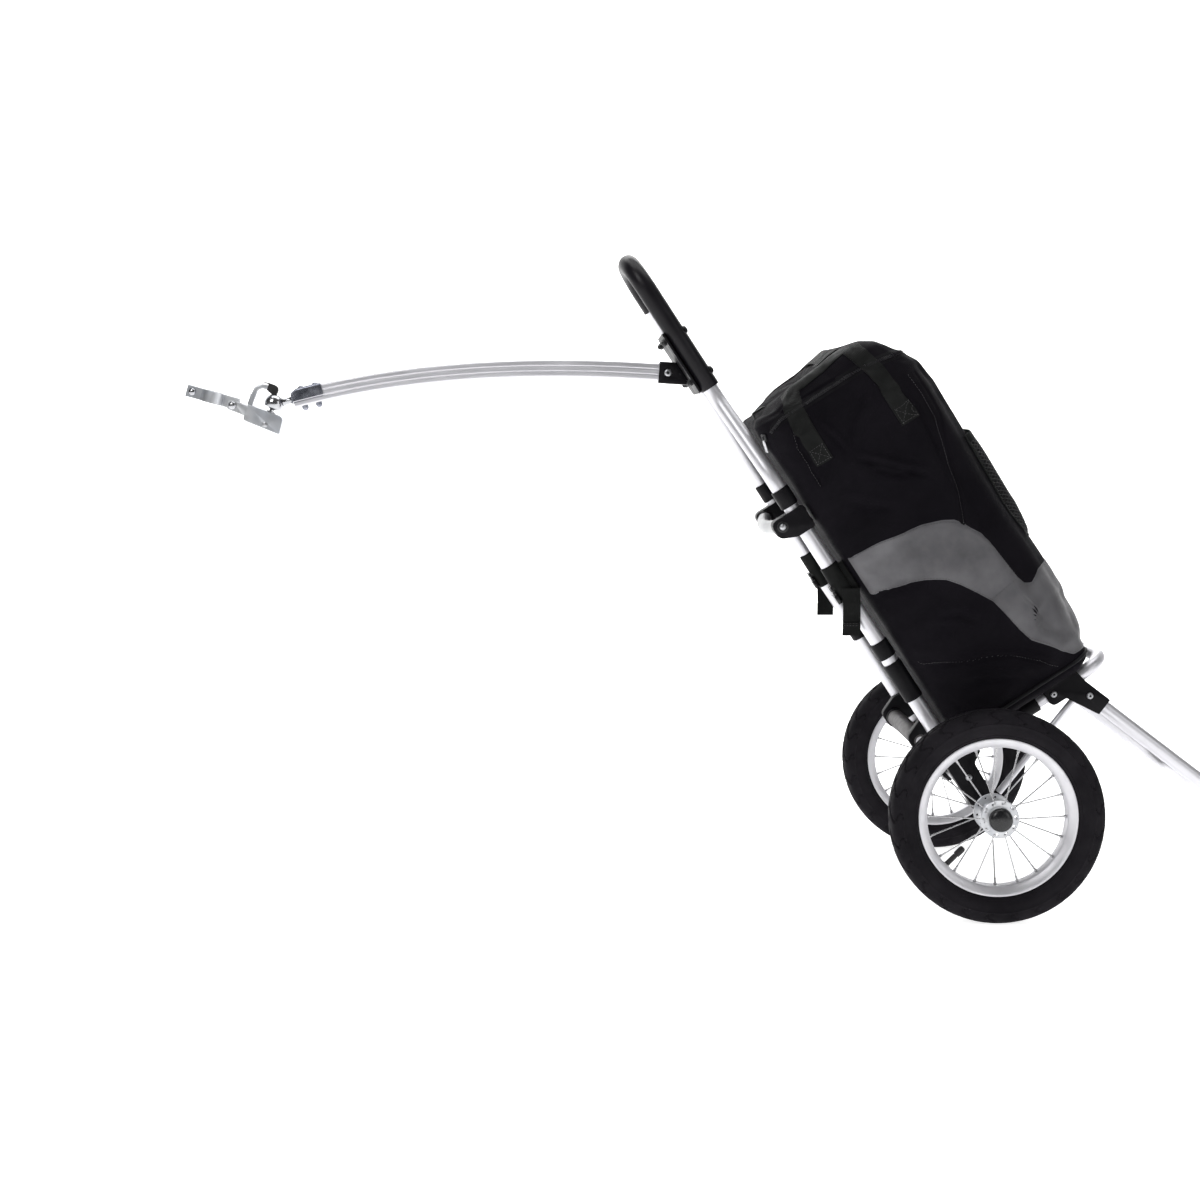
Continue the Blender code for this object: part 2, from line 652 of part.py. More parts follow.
def make_hub(side, parent):
    flange_in = HUB_FLANGE_SPACING / 2 - HUB_FLANGE_THICKNESS / 2
    flange_out = HUB_FLANGE_SPACING / 2 + HUB_FLANGE_THICKNESS / 2
    half = HUB_WIDTH / 2
    bore = AXLE_DIAMETER / 2 + FIT_GAP
    upper = [(bore, half - BEARING_RECESS), (BEARING_RADIUS, half - BEARING_RECESS), (BEARING_RADIUS, half),
             (BEARING_RADIUS + 0.0035, half), (BEARING_RADIUS + 0.0050, flange_out), (HUB_FLANGE_RADIUS, flange_out),
             (HUB_FLANGE_RADIUS, flange_in), (HUB_BARREL_RADIUS, flange_in)]
    profile = upper + [(r, -y) for r, y in reversed(upper)]
    hub = turned("hub_" + side, profile, parent, ALUMINIUM, 16, rotation=AXLE_TURN, closed=True)
    spokes = bmesh.new()
    spokes_into(spokes)
    return boolean(hub, cutter("spokes_" + side, spokes, parent), "UNION")


def make_cap(side, sign, parent):
    dome = [(CAP_RADIUS, 0.0), (CAP_RADIUS, 0.0030), (CAP_RADIUS * 0.86, CAP_DEPTH * 0.72),
            (CAP_RADIUS * 0.45, CAP_DEPTH * 0.96), (0.0, CAP_DEPTH)]
    hollow = [(0.0, CAP_DEPTH - CAP_WALL), (CAP_RADIUS - 2 * CAP_WALL, CAP_DEPTH * 0.5),
              (CAP_RADIUS - 2 * CAP_WALL, 0.0)]
    face = sign * (HUB_WIDTH / 2 + FIT_GAP)
    outward = (-sign * math.pi / 2, 0.0, 0.0)
    turned("hub_cap_" + side, hollow + dome, parent, BLACK_PLASTIC, 16, (0.0, face, 0.0), outward)


for side, sign in (("left", -1), ("right", 1)):
    wheel = WHEELS[side]
    make_tyre(side, wheel)
    make_rim(side, wheel)
    make_valve(side, wheel)
    make_hub(side, wheel)
    make_cap(side, sign, wheel)


# Axle and the brackets that hold the rails' feet

AXLE_HALF = TRACK / 2 + HUB_WIDTH / 2 + AXLE_END_REACH
HANDLE_Y = HANDLE_SPREAD / 2
RAIL_Y = RAIL_SPREAD / 2
PAN_HEAD = [(0.0, PAN_HEAD_HEIGHT), (PAN_HEAD_DIAMETER * 0.35, PAN_HEAD_HEIGHT * 0.85),
            (PAN_HEAD_DIAMETER / 2, PAN_HEAD_HEIGHT * 0.3), (PAN_HEAD_DIAMETER / 2, -0.001), (0.0, -0.001)]

rod("axle", (0.0, -AXLE_HALF, 0.0), (0.0, AXLE_HALF, 0.0), AXLE_DIAMETER, CART, DARK_STEEL, 16)


def heads_cutter(name, seats, sign, parent):
    """Screw heads on an outer side face, each at (x, y, z), to be joined to the piece they hold."""
    bm = bmesh.new()
    for seat in seats:
        outward = Matrix.Translation(seat) @ Matrix.Rotation(-sign * math.pi / 2, 4, "X")
        turn_into(bm, PAN_HEAD, outward, 8)
    return cutter(name, bm, parent)


def foot_outline():
    """The bracket from the side: a leg down to the axle with a gusset under its arm."""
    arm_top = BASE_HEIGHT + BASE_ARM_DIAMETER / 2 - 0.0006
    arm_low = BASE_HEIGHT - BASE_ARM_DIAMETER / 2 + 0.0006
    return rounded_outline(
        [(FOOT_BACK, FOOT_TOP), (FOOT_BACK, FOOT_BOTTOM), (-FOOT_BACK, FOOT_BOTTOM), (FOOT_FRONT, 0.0100),
         (FOOT_FRONT + 0.0020, arm_low - 0.0100), (FOOT_FRONT + 0.0180, arm_low), (FOOT_FRONT + 0.0180, arm_top),
         (-FOOT_BACK, arm_top), (-FOOT_BACK, FOOT_TOP)],
        [0.003, 0.013, 0.013, 0.006, 0.006, 0.002, 0.002, 0.0004, 0.002])


def make_foot(side, sign):
    y = sign * RAIL_Y
    foot = plate("axle_bracket_" + side, foot_outline(), FOOT_THICKNESS, CART, BLACK_PLASTIC, y)
    arm = ((FOOT_BACK + 0.006, y, BASE_HEIGHT), (BASE_ARM_END, y, BASE_HEIGHT), BASE_ARM_DIAMETER)
    boolean(foot, rod_cutter("base_arm_" + side, [arm], CART, 16), "UNION")
    bores = [((0.0, y, RAIL_FOOT - FIT_GAP), (0.0, y, FOOT_TOP + 0.02), RAIL_DIAMETER + 2 * FIT_GAP),
             ((0.0, y - 0.03, 0.0), (0.0, y + 0.03, 0.0), AXLE_DIAMETER + 2 * FIT_GAP),
             ((BASE_START - FIT_GAP, y, BASE_HEIGHT), (BASE_ARM_END + 0.02, y, BASE_HEIGHT),
              BASE_DIAMETER + 2 * FIT_GAP),
             ((STRUT_FOOT[0], y, STRUT_FOOT[1]), (STRUT_TOP[0], y, STRUT_TOP[1]), STRUT_DIAMETER + 2 * FIT_GAP)]
    for index, bore in enumerate(bores):
        boolean(foot, rod_cutter(f"foot_bore_{side}_{index}", [bore], CART, 16 if index % 2 == 0 else 12))
    face = y + sign * FOOT_THICKNESS / 2
    boolean(foot, heads_cutter("foot_screw_" + side, [(FOOT_SCREW[0], face, FOOT_SCREW[1])], sign, CART), "UNION")


# Rails, handle and grip

HANDLE_PATH = rounded_path(
    [(0.0, -RAIL_Y, RAIL_JOINT + FIT_GAP / 2), (0.0, -RAIL_Y, SPLAY_LOW), (0.0, -HANDLE_Y, SPLAY_HIGH),
     (0.0, -HANDLE_Y, HANDLE_TOP)], SPLAY_RADIUS, 2)[:-1]
HANDLE_PATH += corner_arc(Vector((0.0, -HANDLE_Y, SPLAY_HIGH)), Vector((0.0, -HANDLE_Y, HANDLE_TOP)),
                          Vector((0.0, 0.0, HANDLE_TOP)), HANDLE_CORNER, 4)
HANDLE_PATH += [Vector((p.x, -p.y, p.z)) for p in reversed(HANDLE_PATH)]


def grip_path():
    """The stretch of the handle that the grip covers, longer down the left leg than down the right."""
    path = []
    for first, second in zip(HANDLE_PATH, HANDLE_PATH[1:]):
        low = GRIP_LOW if first.y < 0 else GRIP_FAR_LOW
        if first.z > low:
            path.append(first)
        if (first.z > low) != (second.z > low):
            path.append(first.lerp(second, (low - first.z) / (second.z - first.z)))
    return path


handle = tube("handle_tube", HANDLE_PATH, RAIL_DIAMETER, CART, ALUMINIUM)
grip = tube("handle_grip", grip_path(), GRIP_DIAMETER, CART, FOAM)
grip_core = to_cutter(tube("grip_core", HANDLE_PATH, RAIL_DIAMETER + 2 * FIT_GAP, CART, FOAM))
boolean(grip, grip_core)

for side, sign in (("left", -1), ("right", 1)):
    y = sign * RAIL_Y
    ends = [(0.0, y, RAIL_FOOT), (0.0, y, RAIL_JOINT - FIT_GAP / 2)]
    tube("rail_" + side, ends, RAIL_DIAMETER, CART, ALUMINIUM)
    make_foot(side, sign)
    section = sleeve_profile(SLEEVE_DIAMETER, RAIL_DIAMETER, JOINT_SLEEVE_LENGTH)
    turned("joint_sleeve_" + side, section, CART, BLACK_PLASTIC, 16, (0.0, y, RAIL_JOINT), closed=True)
    section = sleeve_profile(SLEEVE_DIAMETER, RAIL_DIAMETER, LOW_SLEEVE_LENGTH)
    turned("low_sleeve_" + side, section, CART, BLACK_PLASTIC, 16, (0.0, y, LOW_SLEEVE_HEIGHT), closed=True)
long_section = sleeve_profile(LONG_SLEEVE_DIAMETER, RAIL_DIAMETER, LONG_SLEEVE_LENGTH)
turned("long_sleeve_left", long_section, CART, BLACK_PLASTIC, 16, (0.0, -RAIL_Y, LONG_SLEEVE_HEIGHT), closed=True)


# Mid brackets with their lugs, and the bowed tube between them

def mid_bracket_outline():
    lug = -MID_TUBE_BACK
    return rounded_outline(
        [(MID_BRACKET_FRONT, MID_BRACKET_LOW), (MID_BRACKET_FRONT, MID_BRACKET_HIGH),
         (MID_BRACKET_BACK, MID_BRACKET_HIGH), (lug - LUG_RADIUS, MID_TUBE_HEIGHT + LUG_RADIUS),
         (lug - LUG_RADIUS, MID_TUBE_HEIGHT - LUG_RADIUS), (MID_BRACKET_BACK, MID_BRACKET_LOW)],
        [0.003, 0.003, 0.004, 0.009, 0.009, 0.004])


for side, sign in (("left", -1), ("right", 1)):
    y = sign * RAIL_Y
    bracket = plate("mid_bracket_" + side, mid_bracket_outline(), MID_BRACKET_THICKNESS, CART, BLACK_PLASTIC, y)
    bore = ((0.0, y, MID_BRACKET_LOW - 0.01), (0.0, y, MID_BRACKET_HIGH + 0.01), RAIL_DIAMETER + 2 * FIT_GAP)
    boolean(bracket, rod_cutter("mid_bore_" + side, [bore], CART, 16))
    face = y + sign * MID_BRACKET_THICKNESS / 2
    boolean(bracket, heads_cutter("lug_rivet_" + side, [(-MID_TUBE_BACK, face, MID_TUBE_HEIGHT)], sign, CART), "UNION")
    front_rivets = bmesh.new()
    for height in (MID_BRACKET_LOW + 0.0085, MID_BRACKET_HIGH - 0.0085):
        forward = Matrix.Translation((MID_BRACKET_FRONT, y, height)) @ Matrix.Rotation(math.pi / 2, 4, "Y")
        turn_into(front_rivets, [(r * 0.9, z * 0.8) for r, z in PAN_HEAD], forward, 8)
    boolean(bracket, cutter("front_rivets_" + side, front_rivets, CART), "UNION")

MID_TUBE_END = RAIL_Y - MID_BRACKET_THICKNESS / 2 - FIT_GAP
bow_steps = 8
mid_path = []
for index in range(bow_steps + 1):
    share = 2.0 * index / bow_steps - 1.0
    mid_path.append((-MID_TUBE_BACK - MID_TUBE_BOW * (1.0 - share * share), share * MID_TUBE_END, MID_TUBE_HEIGHT))
mid_tube = tube("mid_cross_tube", mid_path, MID_TUBE_DIAMETER, CART, GREY_TUBE)
for side, sign in (("left", -1), ("right", 1)):
    low_y, high_y = sorted((sign * MID_TUBE_END, sign * (MID_TUBE_END + 0.02)))
    boolean(mid_tube, block_cutter("mid_tube_trim_" + side, (-0.09, low_y, MID_TUBE_HEIGHT - 0.03),
                                   (0.03, high_y, MID_TUBE_HEIGHT + 0.03), CART))


# Lower cross tube, stepped down at its ends, and the brackets that seat them on the rails

low_half = LOW_TUBE_LENGTH / 2
low_tip = low_half + LOW_BRACKET_THICKNESS + 2 * FIT_GAP
low_radius = LOW_TUBE_DIAMETER / 2
low_end_radius = LOW_TUBE_END_DIAMETER / 2
low_upper = [(0.0, low_tip), (low_end_radius - 0.0008, low_tip), (low_end_radius, low_tip - 0.0008),
             (low_end_radius, low_half), (low_radius, low_half)]
turned("lower_cross_tube", low_upper + [(r, -y) for r, y in reversed(low_upper)], CART, GREY_TUBE, 16,
       (-LOW_TUBE_BACK, 0.0, LOW_TUBE_HEIGHT), AXLE_TURN)


def lower_bracket_outline():
    ring = LOW_TUBE_END_DIAMETER / 2 + LOW_BRACKET_WALL
    back = -LOW_TUBE_BACK - ring
    return rounded_outline(
        [(back, LOW_TUBE_HEIGHT - ring), (LOW_BRACKET_FRONT, LOW_BRACKET_LOW), (LOW_BRACKET_FRONT, LOW_BRACKET_HIGH),
         (-RAIL_DIAMETER / 2, LOW_BRACKET_HIGH), (back, LOW_TUBE_HEIGHT + ring)],
        [0.009, 0.002, 0.002, 0.003, 0.009])


for side, sign in (("left", -1), ("right", 1)):
    middle = sign * (low_half + FIT_GAP + LOW_BRACKET_THICKNESS / 2)
    bracket = plate("lower_bracket_" + side, lower_bracket_outline(), LOW_BRACKET_THICKNESS, CART, BLACK_PLASTIC, middle)
    y = sign * RAIL_Y
    rail_bore = ((0.0, y, LOW_BRACKET_LOW - 0.05), (0.0, y, LOW_BRACKET_HIGH + 0.05), RAIL_DIAMETER + 2 * FIT_GAP)
    tube_bore = ((-LOW_TUBE_BACK, middle - 0.02, LOW_TUBE_HEIGHT), (-LOW_TUBE_BACK, middle + 0.02, LOW_TUBE_HEIGHT),
                 LOW_TUBE_END_DIAMETER + 2 * FIT_GAP)
    boolean(bracket, rod_cutter("lower_rail_bore_" + side, [rail_bore], CART, 16))
    boolean(bracket, rod_cutter("lower_tube_bore_" + side, [tube_bore], CART, 16))


# Base loop, stand leg, elbows and struts

tube("base_loop", rounded_path(
    [(BASE_START, -RAIL_Y, BASE_HEIGHT), (BASE_REACH, -RAIL_Y, BASE_HEIGHT),
     (BASE_REACH, RAIL_Y, BASE_HEIGHT), (BASE_START, RAIL_Y, BASE_HEIGHT)], BASE_CORNER, 5),
    BASE_DIAMETER, CART, ALUMINIUM)

leg_direction = Vector((LEG_END[0] - LEG_TOP[0], 0.0, LEG_END[1] - LEG_TOP[1])).normalized()
tube("stand_leg", rounded_path(
    [(LEG_TOP[0], -RAIL_Y, LEG_TOP[1]), (LEG_END[0], -RAIL_Y, LEG_END[1]),
     (LEG_END[0], RAIL_Y, LEG_END[1]), (LEG_TOP[0], RAIL_Y, LEG_TOP[1])], LEG_CORNER, 5),
    LEG_DIAMETER, CART, ALUMINIUM)


def leg_point(distance, across):
    """A point in the elbow's plane, measured down the stand leg from its top and across it."""
    return (LEG_TOP[0] + leg_direction.x * distance - leg_direction.z * across,
            LEG_TOP[1] + leg_direction.z * distance + leg_direction.x * across)


def elbow_outline():
    top = BASE_HEIGHT + BASE_ARM_DIAMETER / 2
    low = BASE_HEIGHT - BASE_ARM_DIAMETER / 2 - 0.0020
    back = LEG_TOP[0] - ELBOW_ARM
    half = LEG_DIAMETER / 2 + ELBOW_WALL
    return rounded_outline(
        [(back, top), (back, low), (back + 0.0230, low), leg_point(ELBOW_DROP, -half), leg_point(ELBOW_DROP, half),
         leg_point(-0.0050, half), (LEG_TOP[0] + 0.0060, top)],
        [0.004, 0.007, 0.004, 0.0016, 0.0016, 0.005, 0.004])


BASE_BOLT = (LEG_TOP[0] - ELBOW_ARM + 0.0110, BASE_HEIGHT)
LEG_BOLT = leg_point(0.0120, 0.0)
for side, sign in (("left", -1), ("right", 1)):
    y = sign * RAIL_Y
    elbow = plate("elbow_" + side, elbow_outline(), ELBOW_THICKNESS, CART, BLACK_PLASTIC, y)
    leg_start = leg_point(-FIT_GAP, 0.0)
    leg_stop = leg_point(0.08, 0.0)
    elbow_bores = [
        ((LEG_TOP[0] - 0.08, y, BASE_HEIGHT), (LEG_TOP[0] + 0.035, y, BASE_HEIGHT), BASE_DIAMETER + 2 * FIT_GAP),
        ((leg_start[0], y, leg_start[1]), (leg_stop[0], y, leg_stop[1]), LEG_DIAMETER + 2 * FIT_GAP),
        ((STRUT_FOOT[0], y, STRUT_FOOT[1]), (STRUT_TOP[0], y, STRUT_TOP[1]), STRUT_DIAMETER + 2 * FIT_GAP)]
    for index, bore in enumerate(elbow_bores):
        boolean(elbow, rod_cutter(f"elbow_bore_{side}_{index}", [bore], CART, 16))
    face = y + sign * ELBOW_THICKNESS / 2
    seats = [(BASE_BOLT[0], face, BASE_BOLT[1]), (LEG_BOLT[0], face, LEG_BOLT[1])]
    boolean(elbow, heads_cutter("elbow_screws_" + side, seats, sign, CART), "UNION")
    strut_foot = Vector((STRUT_FOOT[0], y, STRUT_FOOT[1]))
    strut_top = Vector((STRUT_TOP[0], y, STRUT_TOP[1]))
    pull = (strut_top - strut_foot).normalized() * FIT_GAP
    rod("strut_" + side, strut_foot + pull, strut_top - pull, STRUT_DIAMETER, CART, ALUMINIUM, 12)


# Bag

def bag_ring(height, back, front, half_width, corner, rise=0.0, points=4):
    """A section of the bag: a rounded rectangle, given its back, front and half width.

    Its height is that of its middle, and it rises by twice the rise from its back to its front.
    """
    ring = []
    centres = ((front - corner, half_width - corner, 0.0), (back + corner, half_width - corner, 0.5),
               (back + corner, corner - half_width, 1.0), (front - corner, corner - half_width, 1.5))
    for x, y, start in centres:
        for index in range(points):
            angle = math.pi * (start + 0.5 * index / (points - 1))
            place_x = x + corner * math.cos(angle)
            place_y = y + corner * math.sin(angle)
            ring.append(Vector((place_x, place_y, height + bag_rise(place_x, rise))))
    return ring


def bag_rise(x, rise):
    return rise * (x - BAG_MIDDLE) / (BAG_MIDDLE - BAG_BACK)


def loft_into(bm, rings):
    layers = [[bm.verts.new(p) for p in ring] for ring in rings]
    for lower, upper in zip(layers, layers[1:]):
        count = len(lower)
        for index in range(count):
            after = (index + 1) % count
            bm.faces.new((lower[index], lower[after], upper[after], upper[index]))
    bm.faces.new(list(reversed(layers[0])))
    bm.faces.new(layers[-1])


def loft(name, rings, parent, material):
    bm = bmesh.new()
    loft_into(bm, rings)
    return from_bmesh(name, bm, parent, material)


BAG_BODY = (                           # share of the height, back, front and half width less than the fullest, corner, rise
    (0.0, 0.0070, 0.0420, 0.0140, 0.030, 0.0),
    (0.0148, 0.0015, 0.0290, 0.0060, 0.036, 0.0),
    (0.0783, 0.0, 0.0190, 0.0020, 0.040, 0.0),
    (0.2073, 0.0, 0.0100, 0.0, 0.042, 0.0),
    (0.3179, 0.0, 0.0090, 0.0, 0.045, 0.0),
    (0.4654, 0.0, 0.0110, 0.0, 0.045, 0.0),
    (0.6866, 0.0, 0.0070, 0.0, 0.045, 0.0),
    (0.8341, 0.0, 0.0030, 0.0, 0.045, 0.0),
    (0.9226, 0.0, 0.0, 0.0010, 0.048, 0.07),
    (0.9521, 0.0010, 0.0120, 0.0050, 0.048, 0.29),
    (0.9760, 0.0070, 0.0350, 0.0120, 0.048, 0.50),
    (0.9926, 0.0210, 0.0550, 0.0240, 0.045, 0.79),
    (1.0, 0.0460, 0.0750, 0.0470, 0.040, 1.0),
)
BAG_STATIONS = [(BAG_BOTTOM + share * (BAG_TOP - BAG_BOTTOM), BAG_BACK + back, BAG_FRONT - front,
                 BAG_HALF_WIDTH - narrower, corner, rise * BAG_TOP_RISE)
                for share, back, front, narrower, corner, rise in BAG_BODY]
loft("bag_body", [bag_ring(*station) for station in BAG_STATIONS], CART, FABRIC)

POCKET_BODY = (                        # share of the height, depth and half width less than the fullest
    (0.0, 0.0125, 0.0130),
    (0.0602, 0.0065, 0.0050),
    (0.3434, 0.0005, 0.0),
    (0.7349, 0.0, 0.0),
    (0.9398, 0.0035, 0.0030),
    (1.0, 0.0075, 0.0090),
)
POCKET_STATIONS = [(POCKET_LOW + share * POCKET_TALL, BAG_FRONT + POCKET_DEPTH - shallower, POCKET_HALF_WIDTH - narrower)
                   for share, shallower, narrower in POCKET_BODY]
pocket = loft("bag_pocket", [bag_ring(z, POCKET_BACK, front, half, POCKET_CORNER)
                             for z, front, half in POCKET_STATIONS], CART, FABRIC)
pocket_bed = bmesh.new()
loft_into(pocket_bed, [bag_ring(z, back - 0.001, front + FIT_GAP, half + FIT_GAP, corner, rise)
                       for z, back, front, half, corner, rise in BAG_STATIONS])
boolean(pocket, cutter("pocket_bed", pocket_bed, CART))


def loop_outline():
    """The carry loop along its own length: a strip that rises from the bag's top in a flat arch."""
    steps = 10
    inner = []
    outer = []
    for index in range(steps + 1):
        angle = math.pi * index / steps
        x = -math.cos(angle) * LOOP_LENGTH / 2
        z = (LOOP_RISE - WEBBING) * math.sin(angle) ** 0.6
        inner.append((x, z))
        outer.append((x - math.cos(angle) * WEBBING, z + math.sin(angle) * WEBBING))
    return inner + list(reversed(outer))


# The loop runs across the bag's top, and leans with it
top_slope = math.atan2(BAG_TOP_RISE, BAG_MIDDLE - BAG_BACK)
loop_curve = poly_curve("bag_loop", loop_outline(), True, True)
loop_curve.fill_mode = "BOTH"
loop_curve.extrude = LOOP_WIDTH / 2
loop = place(bpy.data.objects.new("bag_loop", loop_curve), CART, WEB_STRAP)
loop_lift = Vector((-math.sin(top_slope), 0.0, math.cos(top_slope))) * FIT_GAP
loop.location = Vector((LOOP_MIDDLE, 0.0, BAG_TOP + bag_rise(LOOP_MIDDLE, BAG_TOP_RISE))) + loop_lift
across_bag = Matrix.Rotation(math.pi / 2, 3, "Z") @ Matrix.Rotation(math.pi / 2, 3, "X")
loop.rotation_euler = (Matrix.Rotation(-top_slope, 3, "Y") @ across_bag).to_euler()
as_mesh(loop)

# Straps: each wraps a rail, reaches back to the bag, carries its buckle, and lets its free end hang

for side, sign in (("left", -1), ("right", 1)):
    y = sign * RAIL_Y
    middle = (STRAP_LOW + STRAP_HIGH) / 2
    section = sleeve_profile(STRAP_DIAMETER, RAIL_DIAMETER, STRAP_HIGH - STRAP_LOW)
    strap = turned("strap_" + side, section, CART, WEB_STRAP, 16, (0.0, y, middle), closed=True)
    tongue = block_cutter("strap_tongue_" + side, (STRAP_DIAMETER / 2 - 0.0014, y - 0.0100, STRAP_LOW + 0.004),
                          (BAG_BACK - FIT_GAP, y + 0.0100, STRAP_HIGH - 0.004), CART)
    boolean(strap, tongue, "UNION")
    skin = STRAP_DIAMETER / 2 - 0.0008
    buckle = bmesh.new()
    block_into(buckle, (-skin - BUCKLE_THICKNESS, y - BUCKLE_LENGTH / 2, STRAP_LOW + 0.0020),
               (-skin, y + BUCKLE_LENGTH / 2, STRAP_LOW + 0.0020 + BUCKLE_WIDTH))
    bmesh.ops.bevel(buckle, geom=buckle.edges, offset=0.0015, segments=1, affect="EDGES")
    boolean(strap, cutter("strap_buckle_" + side, buckle, CART), "UNION")
    tail = bmesh.new()
    low_y, high_y = sorted((y + sign * skin, y + sign * (skin + 0.0008 + 2 * WEBBING)))
    block_into(tail, (-STRAP_TAIL_WIDTH / 2, low_y, -STRAP_TAIL_LENGTH), (STRAP_TAIL_WIDTH / 2, high_y, 0.0))
    down = Matrix.Rotation(math.pi / 2 - RAIL_LEAN, 4, "Y")
    hang = Matrix.Translation((STRAP_TAIL_HANG[0], 0.0, STRAP_LOW + STRAP_TAIL_HANG[1])) @ down
    bmesh.ops.transform(tail, matrix=hang, verts=tail.verts)
    boolean(strap, cutter("strap_tail_" + side, tail, CART), "UNION")


# Hitch plate under the handle legs, with its four bolts

PLATE_FACE = -(GRIP_DIAMETER / 2 + FIT_GAP)
PLATE_BACK = PLATE_FACE - PLATE_THICKNESS
hitch_plate = bmesh.new()
block_into(hitch_plate, (PLATE_BACK, -PLATE_WIDTH / 2, PLATE_LOW), (PLATE_FACE, PLATE_WIDTH / 2, PLATE_HIGH))
corner_edges = [e for e in hitch_plate.edges if abs(e.verts[0].co.x - e.verts[1].co.x) > PLATE_THICKNESS / 2]
bmesh.ops.bevel(hitch_plate, geom=corner_edges, offset=PLATE_CORNER, segments=3, affect="EDGES", profile=0.5)
hitch_plate = from_bmesh("hitch_plate", hitch_plate, CART, BLACK_PLASTIC)
bolt_holes = []
for side, sign in (("left", -1), ("right", 1)):
    for level, height in PLATE_BOLTS.items():
        y = sign * HANDLE_Y
        covered = sign < 0 or height > GRIP_FAR_LOW
        seat = (GRIP_DIAMETER if covered else RAIL_DIAMETER) / 2 + FIT_GAP
        length = seat - PLATE_BACK + FIT_GAP
        profile = bolt_profile(PLATE_HEAD_DIAMETER, 0.0036, BOLT_DIAMETER, length, PLATE_NUT_DIAMETER, 0.0075)
        turned(f"plate_bolt_{level}_{side}", profile, CART, BLACK_PLASTIC, 10, (seat, y, height),
               (0.0, math.pi / 2, 0.0))
        bolt_holes.append(((-0.04, y, height), (0.04, y, height), BOLT_DIAMETER + 2 * FIT_GAP))
hole_cutter = rod_cutter("plate_bolt_holes", bolt_holes, CART, 8)
for holed in (handle, grip, hitch_plate):
    boolean(holed, hole_cutter)


# Drawbar: socket on the hitch plate, grooved arched bar, and the coupler bolted over its tip

CART_TO_WORLD = Matrix.Translation(CART.location) @ Matrix.Rotation(RAIL_LEAN - math.pi / 2, 4, "Y")
socket_foot = CART_TO_WORLD @ Vector((PLATE_BACK - FIT_GAP, 0.0, SOCKET_HEIGHT_ON_RAIL))
bar_axis = Vector((-math.cos(DRAWBAR_END_PITCH), 0.0, math.sin(DRAWBAR_END_PITCH)))
bar_up = Vector((math.sin(DRAWBAR_END_PITCH), 0.0, math.cos(DRAWBAR_END_PITCH)))
plate_normal = Vector((LEAN_SIN, 0.0, LEAN_COS))
MOUTH = socket_foot + bar_axis * SOCKET_LENGTH
BAR_END = MOUTH - bar_axis * (SOCKET_DEPTH - FIT_GAP)


def socket_outline():
    """The socket's side: a box along the drawbar whose inner end lies flat on the slanted plate."""
    points = [MOUTH + bar_up * SOCKET_TALL / 2, MOUTH - bar_up * SOCKET_TALL / 2]
    for rise in (-SOCKET_TALL / 2, SOCKET_TALL / 2):
        level = socket_foot + bar_up * rise
        points.append(level - bar_axis * ((socket_foot - level).dot(plate_normal) / (-bar_axis).dot(plate_normal)))
    return rounded_outline([(p.x, p.z) for p in points], 0.0012, 2)


def bar_section(half_width, half_height):
    """The bar's outline as (across, up): square shoulders and one wide groove down each side."""
    right = [(half_width - 0.0025, half_height), (half_width, half_height - 0.0025), (half_width, half_height * 0.46),
             (half_width - BAR_GROOVE, half_height * 0.32), (half_width, half_height * 0.18)]
    right += [(y, -z) for y, z in reversed(right)]
    return right + [(-y, z) for y, z in reversed(right)]


BALL = Vector((BALL_X, 0.0, HITCH_HEIGHT))
start_axis = Vector((math.cos(DRAWBAR_START_PITCH), 0.0, math.sin(DRAWBAR_START_PITCH)))
start_up = Vector((-start_axis.z, 0.0, start_axis.x))
BAR_START = BALL + Vector((DRAWBAR_START, 0.0, DRAWBAR_START_RISE))
bar_path = interpolate_bezier(BAR_START, BAR_START + start_axis * DRAWBAR_HANDLES[0],
                              MOUTH + bar_axis * DRAWBAR_HANDLES[1], MOUTH, DRAWBAR_STEPS)
bar_path = [Vector(p) for p in bar_path] + [BAR_END]
drawbar = sweep("drawbar", bar_section(DRAWBAR_WIDTH / 2, DRAWBAR_HEIGHT / 2), bar_path, None, ALUMINIUM)


def box_section(half_width, low, high):
    return [(half_width, high), (half_width, low), (-half_width, low), (-half_width, high)]


socket = plate("drawbar_socket", socket_outline(), SOCKET_WIDE, None, BLACK_PLASTIC)
pocket_half = (DRAWBAR_WIDTH / 2 + FIT_GAP, DRAWBAR_HEIGHT / 2 + FIT_GAP)
pocket_path = [MOUTH - bar_axis * SOCKET_DEPTH, MOUTH + bar_axis * 0.02]
socket_pocket = sweep("socket_pocket", box_section(pocket_half[0], -pocket_half[1], pocket_half[1]), pocket_path,
                      None, BLACK_PLASTIC)
boolean(socket, to_cutter(socket_pocket))

bolt_point = MOUTH - bar_axis * SOCKET_BOLT_DEPTH
socket_bolt = bolt_profile(0.0110, 0.0022, BOLT_DIAMETER, SOCKET_WIDE + 2 * FIT_GAP, 0.0105, 0.0042)
turned("socket_bolt", socket_bolt, None, ZINC, 12, (bolt_point.x, -SOCKET_WIDE / 2 - FIT_GAP, bolt_point.z),
       (math.pi / 2, 0.0, 0.0))
socket_bolt_hole = rod_cutter("socket_bolt_hole", [((bolt_point.x, -0.03, bolt_point.z),
                                                    (bolt_point.x, 0.03, bolt_point.z),
                                                    BOLT_DIAMETER + 2 * FIT_GAP)], None, 12)
boolean(socket, socket_bolt_hole)
boolean(drawbar, socket_bolt_hole)


